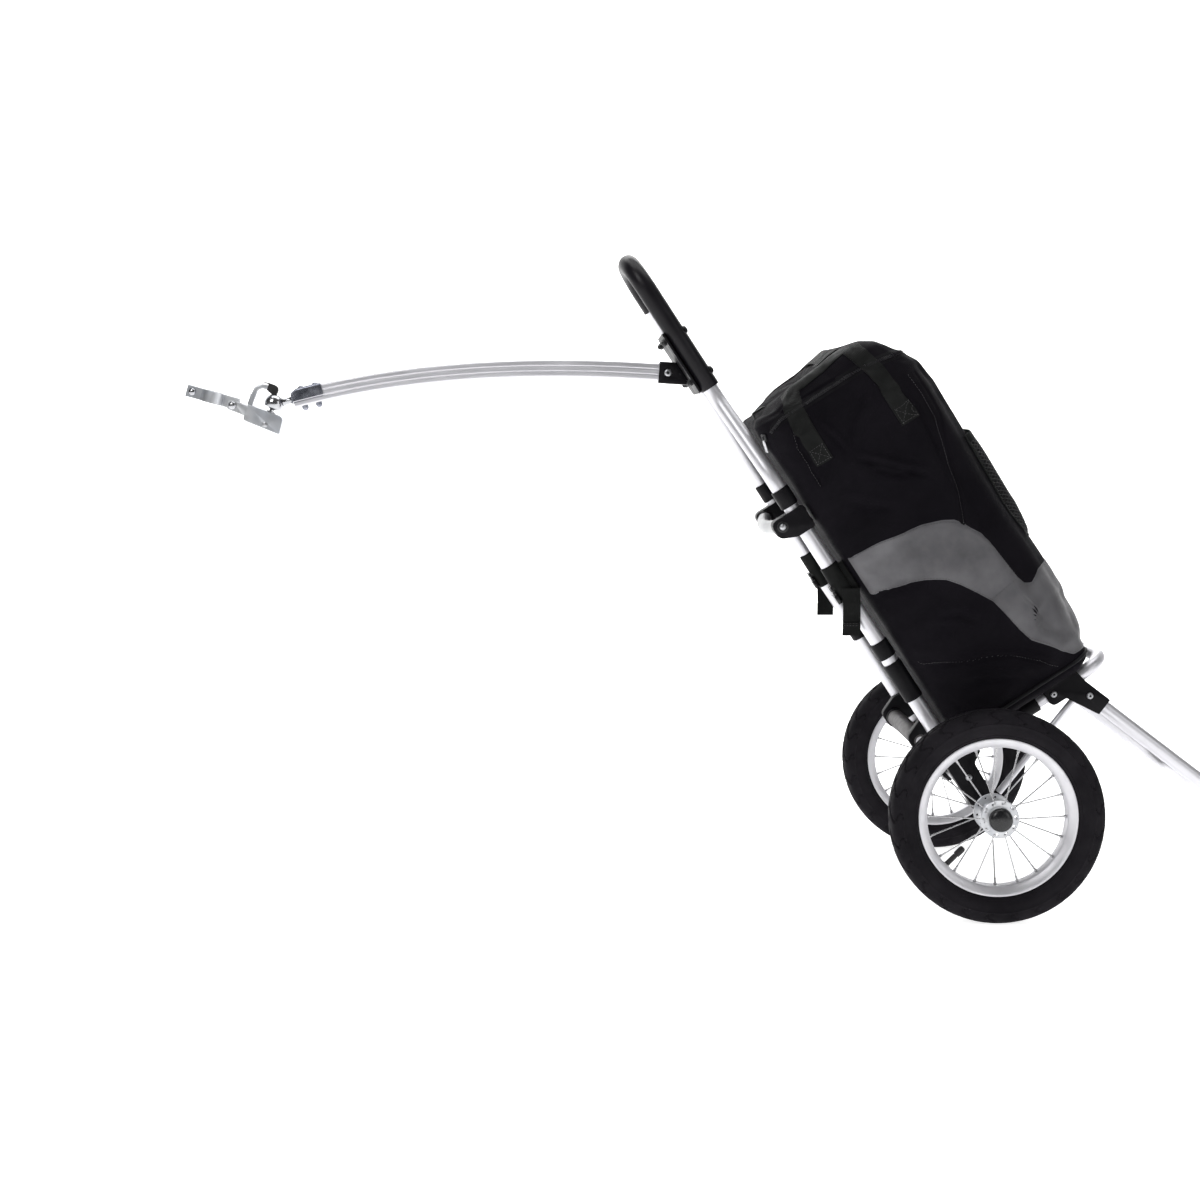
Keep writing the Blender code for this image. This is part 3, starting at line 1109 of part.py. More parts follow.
def bar_point(distance):
    """The bar's centreline point at a distance from its hitch end, and the direction up there."""
    travelled = 0.0
    for first, second in zip(bar_path, bar_path[1:]):
        step = (second - first).length
        if travelled + step >= distance:
            ahead = (second - first).normalized()
            return first.lerp(second, (distance - travelled) / step), Vector((-ahead.z, 0.0, ahead.x))
        travelled += step
    return bar_path[-1], bar_up


# Coupler: the cup with its neck and saddle is bolted to the drawbar, and the liner turns in it round the ball

def cup_profile(outer, inner):
    """A ball cup about Z, open below: outer arc from the top to the lip, then the inner arc back."""
    steps = 5
    turns = [CUP_LIP * i / steps for i in range(steps + 1)]
    arc = [(outer * math.sin(a), outer * math.cos(a)) for a in turns]
    return arc + [(inner * math.sin(a), inner * math.cos(a)) for a in reversed(turns)]


cup = turned("coupler_head", cup_profile(CUP_RADIUS, LINER_RADIUS + CUP_GAP), HITCH, ZINC, 16)
HITCH_TO_WORLD = Matrix.Translation(BALL) @ Matrix.Rotation(HITCH_SLOPE, 4, "Y")
neck_end = HITCH_TO_WORLD.inverted() @ (BAR_START - start_axis * (FIT_GAP + TIP_PLATE_THICKNESS / 2))
neck_start = neck_end.normalized() * (LINER_RADIUS + CUP_GAP + 0.0010)
neck_length = (neck_end - neck_start).length
neck_radius = NECK_DIAMETER / 2
neck = bmesh.new()
turn_into(neck, [(0.0, 0.0), (neck_radius * 1.25, 0.0), (neck_radius, 0.005), (neck_radius, neck_length - 0.004),
                 (neck_radius * 1.4, neck_length), (0.0, neck_length)], along(neck_start, neck_end), 10)
boolean(cup, cutter("coupler_neck", neck, HITCH), "UNION")

side_reach = DRAWBAR_WIDTH / 2 + FIT_GAP
top_reach = DRAWBAR_HEIGHT / 2 + FIT_GAP
saddle_path = [BAR_START - start_axis * (FIT_GAP + TIP_PLATE_THICKNESS), bar_point(0.001)[0],
               bar_point(TIP_PLATE_LENGTH / 2)[0], bar_point(TIP_PLATE_LENGTH)[0]]
saddle = sweep("coupler_saddle", box_section(side_reach + TIP_PLATE_THICKNESS, TIP_PLATE_LOW,
                                             top_reach + TIP_PLATE_THICKNESS), saddle_path, None, DARK_STEEL)
boolean(cup, to_cutter(saddle), "UNION")
core_path = [BAR_START - start_axis * FIT_GAP, bar_point(0.001)[0], bar_point(TIP_PLATE_LENGTH / 2)[0],
             bar_point(TIP_PLATE_LENGTH)[0], bar_point(TIP_PLATE_LENGTH + 0.01)[0]]
core = sweep("saddle_core", box_section(side_reach, -top_reach - 0.01, top_reach), core_path, None, DARK_STEEL)
boolean(cup, to_cutter(core))

tip_bolts = bmesh.new()
tip_holes = []
for distance in TIP_BOLTS:
    point, up = bar_point(distance)
    top = point + up * (top_reach + TIP_PLATE_THICKNESS)
    profile = bolt_profile(0.0090, 0.0028, TIP_BOLT_DIAMETER, 2 * top_reach + TIP_PLATE_THICKNESS, 0.0090, 0.0058, 0.0008)
    turn_into(tip_bolts, profile, along(top, top + up), 8)
    tip_holes.append((point - up * 0.03, point + up * 0.03, TIP_BOLT_DIAMETER + 2 * FIT_GAP))
boolean(cup, cutter("tip_bolts", tip_bolts, None), "UNION")
boolean(drawbar, rod_cutter("tip_holes", tip_holes, None, 12))

turned("coupler_liner", cup_profile(LINER_RADIUS, BALL_RADIUS + CUP_GAP), HITCH, BLACK_PLASTIC, 16)

stud = STUD_DIAMETER / 2
web_low = CHANNEL_TOP - CHANNEL_WALL
seat_high = CHANNEL_TOP + FIT_GAP
stud_angle = math.asin(stud / BALL_RADIUS)
ball_steps = 7
ball_turns = [(math.pi - stud_angle) * i / ball_steps for i in range(ball_steps + 1)]
ball_profile = [(BALL_RADIUS * math.sin(a), BALL_RADIUS * math.cos(a)) for a in ball_turns]
ball_profile += [(stud, seat_high + 0.0015), (stud + 0.0030, seat_high + 0.0015), (stud + 0.0030, seat_high),
                 (stud, seat_high), (stud, web_low - FIT_GAP), (stud + 0.0022, web_low - FIT_GAP),
                 (stud + 0.0022, web_low - FIT_GAP - STUD_NUT), (0.0, web_low - FIT_GAP - STUD_NUT)]
turned("tow_ball", ball_profile, HITCH, ZINC, 16)


# Hitch channel: one stamping, open below, whose neck is joggled in to the clamp's ears

ear_out = EAR_SLOT / 2 + EAR_THICKNESS
neck_inside = ear_out + FIT_GAP
channel_inside = CHANNEL_WIDTH / 2 - CHANNEL_WALL
neck_tip = TILT_BOLT[0] - NECK_NOSE


def channel_outline():
    return rounded_outline(
        [(CHANNEL_BACK, CHANNEL_TOP), (CHANNEL_FRONT, CHANNEL_TOP), (CHANNEL_FRONT + 0.003, CHANNEL_BOTTOM),
         (CHANNEL_BACK, CHANNEL_BOTTOM + 0.0010)],
        [0.002, 0.006, 0.002, 0.004])


def neck_outline():
    inner_end = CHANNEL_BACK + CHANNEL_WALL
    return rounded_outline(
        [(inner_end, NECK_TOP), (inner_end, NECK_BOTTOM), (neck_tip, NECK_BOTTOM), (neck_tip, NECK_TOP)],
        [0.0005, 0.0005, 0.006, 0.006])


channel = plate("hitch_channel", channel_outline(), CHANNEL_WIDTH, HITCH, ZINC)
channel_neck = plate("channel_neck", neck_outline(), 2 * (neck_inside + CHANNEL_WALL), HITCH, ZINC)
boolean(channel, to_cutter(channel_neck), "UNION")
boolean(channel, block_cutter("channel_core", (CHANNEL_BACK + CHANNEL_WALL, -channel_inside, CHANNEL_BOTTOM - 0.02),
                              (CHANNEL_FRONT - CHANNEL_WALL, channel_inside, CHANNEL_TOP - CHANNEL_WALL), HITCH))
boolean(channel, block_cutter("channel_slot", (neck_tip - 0.02, -neck_inside, CHANNEL_BOTTOM - 0.02),
                              (SLOT_END, neck_inside, 0.0), HITCH))
channel_bores = [((0.0, 0.0, CHANNEL_TOP - 0.01), (0.0, 0.0, 0.0), STUD_DIAMETER + 2 * FIT_GAP),
                 ((0.0, -0.03, LATCH_PIVOT_DEPTH), (0.0, 0.03, LATCH_PIVOT_DEPTH), LATCH_RIVET_DIAMETER + 2 * FIT_GAP),
                 ((TILT_BOLT[0], -0.03, TILT_BOLT[1]), (TILT_BOLT[0], 0.03, TILT_BOLT[1]),
                  TILT_BOLT_DIAMETER + 2 * FIT_GAP)]
for index, bore in enumerate(channel_bores):
    boolean(channel, rod_cutter(f"channel_bore_{index}", [bore], HITCH, 12))

rivet_half = CHANNEL_WIDTH / 2 + FIT_GAP
rivet_radius = LATCH_RIVET_DIAMETER / 2
rivet_side = [(0.0, rivet_half + 0.0016), (rivet_radius * 1.35, rivet_half + 0.0011), (rivet_radius * 1.7, rivet_half),
              (rivet_radius, rivet_half)]
turned("latch_rivet", rivet_side + [(r, -z) for r, z in reversed(rivet_side)], HITCH, ZINC, 12,
       (0.0, 0.0, LATCH_PIVOT_DEPTH), AXLE_TURN)

tilt_half = neck_inside + CHANNEL_WALL + FIT_GAP
tilt_profile = bolt_profile(TILT_HEAD_DIAMETER, 0.0036, TILT_BOLT_DIAMETER, 2 * tilt_half, 0.0105, 0.0052)
turned("tilt_bolt", tilt_profile, HITCH, ZINC, 12, (TILT_BOLT[0], -tilt_half, TILT_BOLT[1]), (math.pi / 2, 0.0, 0.0))


# Hook latch: a flat bar that rises from its rivet, over the coupler, to a rubber tip. Heights are from the rivet

HOOK_TOP = LATCH_HOOK_HEIGHT - LATCH_PIVOT_DEPTH
LATCH_LINE = rounded_path([(0.0, 0.0, 0.0), (-LATCH_REACH, 0.0, 0.0140), (-LATCH_REACH, 0.0, HOOK_TOP - 0.0020),
                           (LATCH_TIP_X, 0.0, HOOK_TOP)], LATCH_BEND, 6)


def bar_outline(line, width, round_start):
    """The outline of a flat bar that follows a line in the XZ plane. Its first end can be round."""
    left = []
    right = []
    for index, point in enumerate(line):
        ahead = (line[min(index + 1, len(line) - 1)] - line[max(index - 1, 0)]).normalized()
        normal = Vector((-ahead.z, 0.0, ahead.x)) * width / 2
        left.append(point + normal)
        right.append(point - normal)
    first = (line[1] - line[0]).normalized()
    normal = Vector((-first.z, 0.0, first.x))
    turns = [math.pi / 2 + math.pi * i / 6 for i in range(1, 6)] if round_start else []
    cap = [line[0] + (first * math.cos(a) + normal * math.sin(a)) * width / 2 for a in turns]
    return [(p.x, p.z) for p in left[::-1] + cap + right]


latch = plate("latch_hook", bar_outline(LATCH_LINE, LATCH_BAR, True), LATCH_THICKNESS, LATCH, ZINC)
boolean(latch, rod_cutter("latch_bore", [((0.0, -0.02, 0.0), (0.0, 0.02, 0.0), LATCH_RIVET_DIAMETER + 2 * FIT_GAP)],
                          LATCH, 12))

tip_low = HOOK_TOP - LATCH_BAR / 2 - TIP_WALL
tip_high = HOOK_TOP + LATCH_BAR / 2 + TIP_WALL
tip_outline = rounded_outline([(LATCH_TIP_X - TIP_LENGTH, tip_high), (LATCH_TIP_X - TIP_LENGTH, tip_low),
                               (LATCH_TIP_X + TIP_WALL, tip_low), (LATCH_TIP_X + TIP_WALL + 0.001, tip_high)],
                              [0.001, 0.001, 0.002, 0.0025], 2)
latch_tip = plate("latch_tip", tip_outline, LATCH_THICKNESS + 2 * TIP_WALL, LATCH, SOFT_RUBBER)
core_line = LATCH_LINE[:-1] + [LATCH_LINE[-1] + (LATCH_LINE[-1] - LATCH_LINE[-2]).normalized() * FIT_GAP]
tip_core = plate("tip_core", bar_outline(core_line, LATCH_BAR + 2 * FIT_GAP, False), LATCH_THICKNESS + 2 * FIT_GAP,
                 LATCH, ZINC)
boolean(latch_tip, to_cutter(tip_core))

# A wire spring lies along the hook's side, over the rivet, and bends round the hook's back

spring_y = LATCH_THICKNESS / 2 + FIT_GAP + SPRING_WIRE / 2
spring_low = LATCH_RIVET_DIAMETER / 2 + FIT_GAP + SPRING_WIRE
spring_back = -(LATCH_REACH + LATCH_BAR / 2 + FIT_GAP + SPRING_WIRE / 2)
spring_path = rounded_path(
    [(0.0105, spring_y, spring_low), (-0.0105, spring_y, spring_low), (spring_back, spring_y, 0.0190),
     (spring_back, spring_y, SPRING_TOP), (spring_back, -LATCH_THICKNESS / 2, SPRING_TOP)], 0.0022, 3)
spring = tube("latch_spring", spring_path, SPRING_WIRE, LATCH, DARK_STEEL, 2)


# Seat-post clamp: two half bands whose ears are bolted together. Its frame is at the tilt bolt

def half_band_outline(sign):
    """A half band seen down the post: half a ring, an ear for the clamp bolt and one for the tilt bolt."""
    outer = CLAMP_BORE / 2 + CLAMP_WALL
    inner = CLAMP_BORE / 2
    slot = EAR_SLOT / 2
    outer_angle = math.asin(ear_out / outer)
    inner_angle = math.asin(slot / inner)
    steps = 12
    points = [(-EAR_LENGTH, ear_out)]
    for index in range(steps + 1):
        angle = math.pi - outer_angle - (math.pi - 2 * outer_angle) * index / steps
        points.append((outer * math.cos(angle), outer * math.sin(angle)))
    points += [(CLAMP_REACH + TAIL_NOSE, ear_out), (CLAMP_REACH + TAIL_NOSE, slot)]
    for index in range(steps + 1):
        angle = inner_angle + (math.pi - 2 * inner_angle) * index / steps
        points.append((inner * math.cos(angle), inner * math.sin(angle)))
    points.append((-EAR_LENGTH, slot))
    return [(x, sign * y) for x, y in points]


def half_band(name, sign):
    data = poly_curve(name, half_band_outline(sign), True, True)
    data.fill_mode = "BOTH"
    data.extrude = CLAMP_TALL / 2
    band = place(bpy.data.objects.new(name, data), CLAMP, ZINC)
    band.location = (-CLAMP_REACH, 0.0, CLAMP_DROP)
    return as_mesh(band)


ear_bolt_x = -CLAMP_REACH - EAR_BOLT_REACH
ear_bores = [((ear_bolt_x, -0.03, CLAMP_DROP), (ear_bolt_x, 0.03, CLAMP_DROP), TILT_BOLT_DIAMETER + 2 * FIT_GAP),
             ((0.0, -0.03, 0.0), (0.0, 0.03, 0.0), TILT_BOLT_DIAMETER + 2 * FIT_GAP)]
ear_cutter = rod_cutter("ear_bores", ear_bores, CLAMP, 14)
for side, sign in (("left", -1), ("right", 1)):
    boolean(half_band("clamp_band_" + side, sign), ear_cutter)
clamp_profile = bolt_profile(0.0110, 0.0034, TILT_BOLT_DIAMETER, 2 * (ear_out + FIT_GAP), 0.0105, 0.0055)
turned("clamp_bolt", clamp_profile, CLAMP, ZINC, 12, (ear_bolt_x, -ear_out - FIT_GAP, CLAMP_DROP),
       (math.pi / 2, 0.0, 0.0))
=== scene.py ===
import math

import bmesh
import bpy
import numpy
from mathutils import Matrix, Vector
from mathutils.bvhtree import BVHTree
from mathutils.geometry import interpolate_bezier


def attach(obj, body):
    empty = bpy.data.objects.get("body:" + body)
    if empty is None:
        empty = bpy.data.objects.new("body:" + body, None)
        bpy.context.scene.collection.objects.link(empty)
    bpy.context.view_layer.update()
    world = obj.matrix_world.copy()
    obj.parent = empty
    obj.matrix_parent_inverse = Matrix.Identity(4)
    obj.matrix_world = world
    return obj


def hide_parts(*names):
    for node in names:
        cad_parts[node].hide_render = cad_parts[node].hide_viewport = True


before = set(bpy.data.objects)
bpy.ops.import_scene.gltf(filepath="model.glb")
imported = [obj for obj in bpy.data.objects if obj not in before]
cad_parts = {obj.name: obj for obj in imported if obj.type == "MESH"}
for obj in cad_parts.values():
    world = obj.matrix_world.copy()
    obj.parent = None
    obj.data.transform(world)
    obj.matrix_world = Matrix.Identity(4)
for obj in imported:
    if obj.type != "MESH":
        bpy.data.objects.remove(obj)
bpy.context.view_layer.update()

# Handle tube and rails
# One drawn aluminium tube bent to a U, whose two legs splay out and meet two straight rails end to end.
# The tube is satin anodised, with the fine lengthwise draw marks that the die leaves on it.

AXLE = Vector((0.39984, 0.0, 0.145))
CART = Matrix.Translation(AXLE) @ Matrix.Rotation(math.radians(-33.0), 4, "Y")
RAIL_Y = 0.120
RAIL_RADIUS = 0.011
SLEEVE_BORE = 0.0112
SIDES = (("left", -1), ("right", 1))


def corner_arc(before, corner, after, radius, steps):
    """The points of the fillet that rounds one corner of a path."""
    back = (before - corner).normalized()
    ahead = (after - corner).normalized()
    half = back.angle(ahead) / 2
    centre = corner + (back + ahead).normalized() * (radius / math.sin(half))
    first = corner + back * (radius / math.tan(half)) - centre
    axis = first.cross(corner + ahead * (radius / math.tan(half)) - centre)
    turn = math.pi - 2 * half
    return [centre + Matrix.Rotation(turn * i / steps, 3, axis) @ first for i in range(steps + 1)]


def rounded_path(points, radius, steps=12):
    points = [Vector(p) for p in points]
    path = [points[0]]
    for before, corner, after in zip(points, points[1:], points[2:]):
        path.extend(corner_arc(before, corner, after, radius, steps))
    path.append(points[-1])
    return path


def put(name, bm, sharp=38.0):
    """The mesh as an object at the origin, facing outwards, with smooth faces and sharp edges where it
    turns."""
    mesh = bpy.data.meshes.new(name)
    bm.to_mesh(mesh)
    bm.free()
    mesh.shade_smooth()
    mesh.set_sharp_from_angle(angle=math.radians(sharp))
    obj = bpy.data.objects.new(name, mesh)
    bpy.context.scene.collection.objects.link(obj)
    return obj


def skin(name, rings, looped=False, capped=True, sharp=38.0):
    """A closed skin over rings of points. Its UV map is in metres: u round the ring, v from ring to
    ring."""
    bm = bmesh.new()
    uv = bm.loops.layers.uv.new("skin")
    layers = [[bm.verts.new(p) for p in ring] for ring in rings]
    count = len(rings[0])
    rounds = []
    for ring in rings:
        reach = [0.0]
        for index in range(count):
            reach.append(reach[-1] + (ring[(index + 1) % count] - ring[index]).length)
        rounds.append(reach)
    travelled = 0.0
    last = len(rings) if looped else len(rings) - 1
    for row in range(last):
        after = (row + 1) % len(rings)
        step = (rings[after][0] - rings[row][0]).length
        for index in range(count):
            other = (index + 1) % count
            quad = (layers[row][index], layers[row][other], layers[after][other], layers[after][index])
            if len(set(quad)) < 4:
                continue
            face = bm.faces.new(quad)
            places = ((rounds[row][index], travelled), (rounds[row][index + 1], travelled),
                      (rounds[after][index + 1], travelled + step), (rounds[after][index], travelled + step))
            for loop, place in zip(face.loops, places):
                loop[uv].uv = place
        travelled += step
    if capped and not looped:
        for layer, order in ((layers[0], -1), (layers[-1], 1)):
            face = bm.faces.new(layer[::order])
            for loop in face.loops:
                loop[uv].uv = (loop.vert.co.x, loop.vert.co.z)
    bmesh.ops.recalc_face_normals(bm, faces=bm.faces)
    return put(name, bm, sharp)


def turns(count):
    """The angles of equal steps round a full turn."""
    return [2 * math.pi * k / count for k in range(count)]


def heading(line, index):
    """The way a line runs at one of its points, from the point before it to the one after."""
    return line[min(index + 1, len(line) - 1)] - line[max(index - 1, 0)]


def pipe(name, path, radius, sides=32):
    """A round bar or tube along a path. The radius can be one value or one for each point."""
    radii = radius if isinstance(radius, (list, tuple)) else [radius] * len(path)
    ahead = (path[1] - path[0]).normalized()
    side = ahead.orthogonal().normalized()
    rings = []
    for index, point in enumerate(path):
        onward = heading(path, index).normalized()
        side = ahead.rotation_difference(onward) @ side
        ahead = onward
        up = ahead.cross(side)
        rings.append([point + (side * math.cos(a) + up * math.sin(a)) * radii[index] for a in turns(sides)])
    return skin(name, rings)


def finish_of(name, colour, roughness, metallic=0.0, **sockets):
    """A material, with what is the same all over its surface set on the shader itself."""
    material = bpy.data.materials.new(name)
    material.use_nodes = True
    shader = material.node_tree.nodes["Principled BSDF"]
    shader.inputs["Base Color"].default_value = (*colour, 1.0)
    shader.inputs["Roughness"].default_value = roughness
    shader.inputs["Metallic"].default_value = metallic
    for socket, value in sockets.items():
        shader.inputs[socket.replace("_", " ")].default_value = value
    return material


def step(material, kind, settings=None, **inputs):
    """Adds a node to a material. Each input is a value, or a socket to link. Spaces in names are
    underscores."""
    made = material.node_tree.nodes.new("ShaderNode" + kind)
    for name, value in (settings or {}).items():
        setattr(made, name, value)
    for name, value in inputs.items():
        numbered = name[0] == "i" and name[1:].isdigit()
        socket = made.inputs[int(name[1:]) if numbered else name.replace("_", " ")]
        if isinstance(value, bpy.types.NodeSocket):
            material.node_tree.links.new(value, socket)
        else:
            socket.default_value = value
    return made


def place_of(material, scale=(1.0, 1.0, 1.0), turn=(0.0, 0.0, 0.0), uv=False):
    """Where a pattern sits: the object's own coordinates or its UV map, turned and stretched."""
    source = step(material, "UVMap", {"uv_map": "skin"}) if uv else step(material, "TexCoord")
    vector = source.outputs["UV" if uv else "Object"]
    if turn != (0.0, 0.0, 0.0):
        vector = step(material, "Mapping", Vector=vector, Rotation=turn).outputs[0]
    return step(material, "Mapping", Vector=vector, Scale=scale).outputs[0]


def cloud(material, vector, scale=1.0, detail=2.0, low=0.0, high=1.0):
    """Soft noise as a factor from low to high."""
    made = step(material, "TexNoise", Vector=vector, Scale=scale, Detail=detail)
    spread = step(material, "MapRange", Value=made.outputs[0], From_Min=0.3, From_Max=0.7, To_Min=low,
                  To_Max=high)
    return spread.outputs[0]


def drive(material, socket, source):
    shader = material.node_tree.nodes["Principled BSDF"]
    material.node_tree.links.new(source, shader.inputs[socket])


def shade(material, factor, dark, light):
    """The colour runs from dark to light with a factor."""
    mixed = step(material, "Mix", {"data_type": "RGBA"}, Factor=factor, i6=(*dark, 1.0), i7=(*light, 1.0))
    drive(material, "Base Color", mixed.outputs[2])


def relief(material, height, depth, strength=1.0):
    """The surface stands proud by depth, in metres, where the height is 1."""
    bump = step(material, "Bump", Strength=strength, Distance=depth, Height=height)
    drive(material, "Normal", bump.outputs[0])


def made_of(name, tones, rough, grain=None, metallic=0.0, **sockets):
    """A mottled material. Tones are (scale, detail, dark, light). Rough is one value, or (scale, detail,
    low, high). Grain is (scale, detail, depth in metres, strength)."""
    even = isinstance(rough, float)
    material = finish_of(name, tones[3], rough if even else rough[3], metallic, **sockets)
    spot = place_of(material)
    if not even:
        drive(material, "Roughness", cloud(material, spot, *rough))
    shade(material, cloud(material, spot, *tones[:2]), *tones[2:])
    if grain:
        scale, detail, depth, strength = grain
        grains = step(material, "TexNoise", Vector=spot, Scale=scale, Detail=detail)
        relief(material, grains.outputs[0], depth, strength)
    return material


def dress(obj, body, slot, material, *replaced):
    """The piece gets its finish, rides on its body and stands for its CAD nodes."""
    obj.data.materials.clear()
    obj.data.materials.append(material)
    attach(obj, body)
    if replaced:
        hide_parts(*replaced)
    return obj


drawn_aluminium = finish_of("drawn_aluminium", (0.66, 0.66, 0.675), 0.40, 0.72, Anisotropic=0.3)
draw_marks = cloud(drawn_aluminium, place_of(drawn_aluminium, (1100.0, 9.0, 1.0), uv=True), 1.0, 3.0)
soft_haze = cloud(drawn_aluminium, place_of(drawn_aluminium, (70.0, 14.0, 1.0), uv=True), 1.0, 2.0, 0.34,
                  0.46)
drive(drawn_aluminium, "Roughness", soft_haze)
shade(drawn_aluminium, draw_marks, (0.62, 0.615, 0.65), (0.73, 0.725, 0.755))
relief(drawn_aluminium, draw_marks, 0.000012, 0.6)

HANDLE_Y = 0.0625
HANDLE_TOP = 0.907
handle_legs = rounded_path([(0.0, -RAIL_Y, 0.50915), (0.0, -RAIL_Y, 0.545), (0.0, -HANDLE_Y, 0.675),
                            (0.0, -HANDLE_Y, HANDLE_TOP - 0.040)], 0.078)[:-1]
handle_legs += corner_arc(Vector((0.0, -HANDLE_Y, 0.675)), Vector((0.0, -HANDLE_Y, HANDLE_TOP)),
                          Vector((0.0, 0.0, HANDLE_TOP)), 0.048, 16)
handle_line = handle_legs + [Vector((p.x, -p.y, p.z)) for p in reversed(handle_legs)]
handle_tube = pipe("handle_tube_drawn", [CART @ p for p in handle_line], RAIL_RADIUS)
dress(handle_tube, "frame", "satin_aluminium", drawn_aluminium, "handle_tube")

for side, sign in SIDES:
    ends = [CART @ Vector((0.0, sign * RAIL_Y, z)) for z in (0.013, 0.26, 0.50885)]
    rail = pipe("rail_drawn_" + side, ends, RAIL_RADIUS)
    dress(rail, "frame", "satin_aluminium", drawn_aluminium, "rail_" + side)

# Foam grip
# A closed-cell foam sleeve pushed on over the bend of the handle, longer down the near leg than down the
# far one. Its skin is slightly glossy from the mould, and its two ends are cut and rolled inwards.

GRIP_RADIUS = 0.0143
GRIP_NEAR_LOW = 0.693
GRIP_FAR_LOW = 0.835
moulded_foam = made_of("moulded_foam", (18.0, 3.0, (0.0052, 0.0046, 0.0062), (0.0100, 0.0088, 0.0112)),
                       (34.0, 4.0, 0.28, 0.42), Specular_IOR_Level=0.20)
foam_cells = step(moulded_foam, "TexVoronoi", Vector=place_of(moulded_foam), Scale=900.0)
relief(moulded_foam, foam_cells.outputs[0], 0.00012, 0.5)

grip_line = []
for first, second in zip(handle_line, handle_line[1:]):
    low = GRIP_NEAR_LOW if first.y < 0 else GRIP_FAR_LOW
    if first.z > low:
        grip_line.append(first)
    if (first.z > low) != (second.z > low):
        grip_line.append(first.lerp(second, (low - first.z) / (second.z - first.z)))


def with_rolled_ends(path, radius, roll):
    """Extra points and radii that roll a sleeve's two ends inwards."""
    shares = (0.0, 0.12, 0.4, 1.0)
    points = []
    radii = []
    for share in shares:
        points.append(path[0].lerp(path[1], share * roll / (path[1] - path[0]).length))
        radii.append(radius - roll * (1.0 - share) ** 2)
    points += path[1:-1]
    radii += [radius] * len(path[1:-1])
    for share in reversed(shares):
        points.append(path[-1].lerp(path[-2], share * roll / (path[-1] - path[-2]).length))
        radii.append(radius - roll * (1.0 - share) ** 2)
    return points, radii


grip_points, grip_radii = with_rolled_ends(grip_line, GRIP_RADIUS, 0.0014)
foam_grip = pipe("foam_grip", [CART @ p for p in grip_points], grip_radii, 40)
dress(foam_grip, "frame", "grip_foam", moulded_foam, "handle_grip")

# Base loop, stand leg and struts
# The same tube, bent to a U for the load to stand on and to a second U as the stand, with two thin braces.
# They are pushed into the moulded brackets and elbows, and screwed there.

LOOP_RADIUS = 0.0095
LEG_RADIUS = 0.0100
STRUT_RADIUS = 0.00475
base_line = rounded_path([(0.030, -RAIL_Y, 0.075), (0.2535, -RAIL_Y, 0.075), (0.2535, RAIL_Y, 0.075),
                          (0.030, RAIL_Y, 0.075)], 0.040)
leg_line = rounded_path([(0.202, -RAIL_Y, 0.057), (0.285, -RAIL_Y, -0.175), (0.285, RAIL_Y, -0.175),
                         (0.202, RAIL_Y, 0.057)], 0.042)
for node, line, radius in (("base_loop", base_line, LOOP_RADIUS), ("stand_leg", leg_line, LEG_RADIUS)):
    bent = pipe(node + "_drawn", [CART @ p for p in line], radius)
    dress(bent, "frame", "satin_aluminium", drawn_aluminium, node)
for side, sign in SIDES:
    ends = [CART @ Vector((x, sign * RAIL_Y, z)) for x, z in ((0.0274, -0.0039), (0.1896, 0.0514))]
    strut = pipe("strut_drawn_" + side, ends, STRUT_RADIUS, 24)
    dress(strut, "frame", "satin_aluminium", drawn_aluminium, "strut_" + side)

# Moulded brackets, elbows and sleeves
# Glass-filled nylon mouldings, black, with a fine spark-eroded grain and rounded edges.
# Each is slid over its tube and held by a pan-head screw.

moulded_nylon = made_of("moulded_nylon", (26.0, 5.0, (0.0040, 0.0037, 0.0048), (0.0082, 0.0076, 0.0092)),
                        (45.0, 4.0, 0.36, 0.56), (1400.0, 3.0, 0.00010, 0.35), Specular_IOR_Level=0.12)


def applied(obj, sharp=None):
    """Makes what an object's modifiers show its own mesh, smooth, with sharp edges where it turns by
    more."""
    bpy.context.view_layer.update()
    mesh = bpy.data.meshes.new_from_object(obj.evaluated_get(bpy.context.evaluated_depsgraph_get()))
    obj.modifiers.clear()
    obj.data = mesh
    mesh.shade_smooth()
    if sharp:
        mesh.set_sharp_from_angle(angle=math.radians(sharp))
    return obj


def eased(name, node, edge, angle=33.0, rounds=2):
    """A copy of a CAD piece whose edges are rounded, as a mould or a deburring wheel leaves them."""
    bm = bmesh.new()
    bm.from_mesh(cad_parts[node].data)
    for layer in list(bm.loops.layers.uv):
        bm.loops.layers.uv.remove(layer)
    bmesh.ops.remove_doubles(bm, verts=bm.verts, dist=0.00001)
    bmesh.ops.dissolve_limit(bm, angle_limit=math.radians(2.0), verts=bm.verts, edges=bm.edges)
    obj = put(name, bm)
    bevel = obj.modifiers.new("eased_edges", "BEVEL")
    bevel.width = edge
    bevel.segments = rounds
    bevel.limit_method = "ANGLE"
    bevel.angle_limit = math.radians(angle)
    bevel.harden_normals = False
    bevel.use_clamp_overlap = True
    return applied(obj, 40)


MOULDINGS = (("axle_bracket_", 0.0010), ("elbow_", 0.0009), ("mid_bracket_", 0.0010),
             ("lower_bracket_", 0.0008))
for side in ("left", "right"):
    for node, edge in MOULDINGS:
        moulding = eased(node + "moulded_" + side, node + side, edge)
        dress(moulding, "frame", "black_plastic", moulded_nylon, node + side)

# Ring sleeves
# Short rings of the same nylon, slid on the rails to cover the tube joints and to stop the straps from
# slipping.


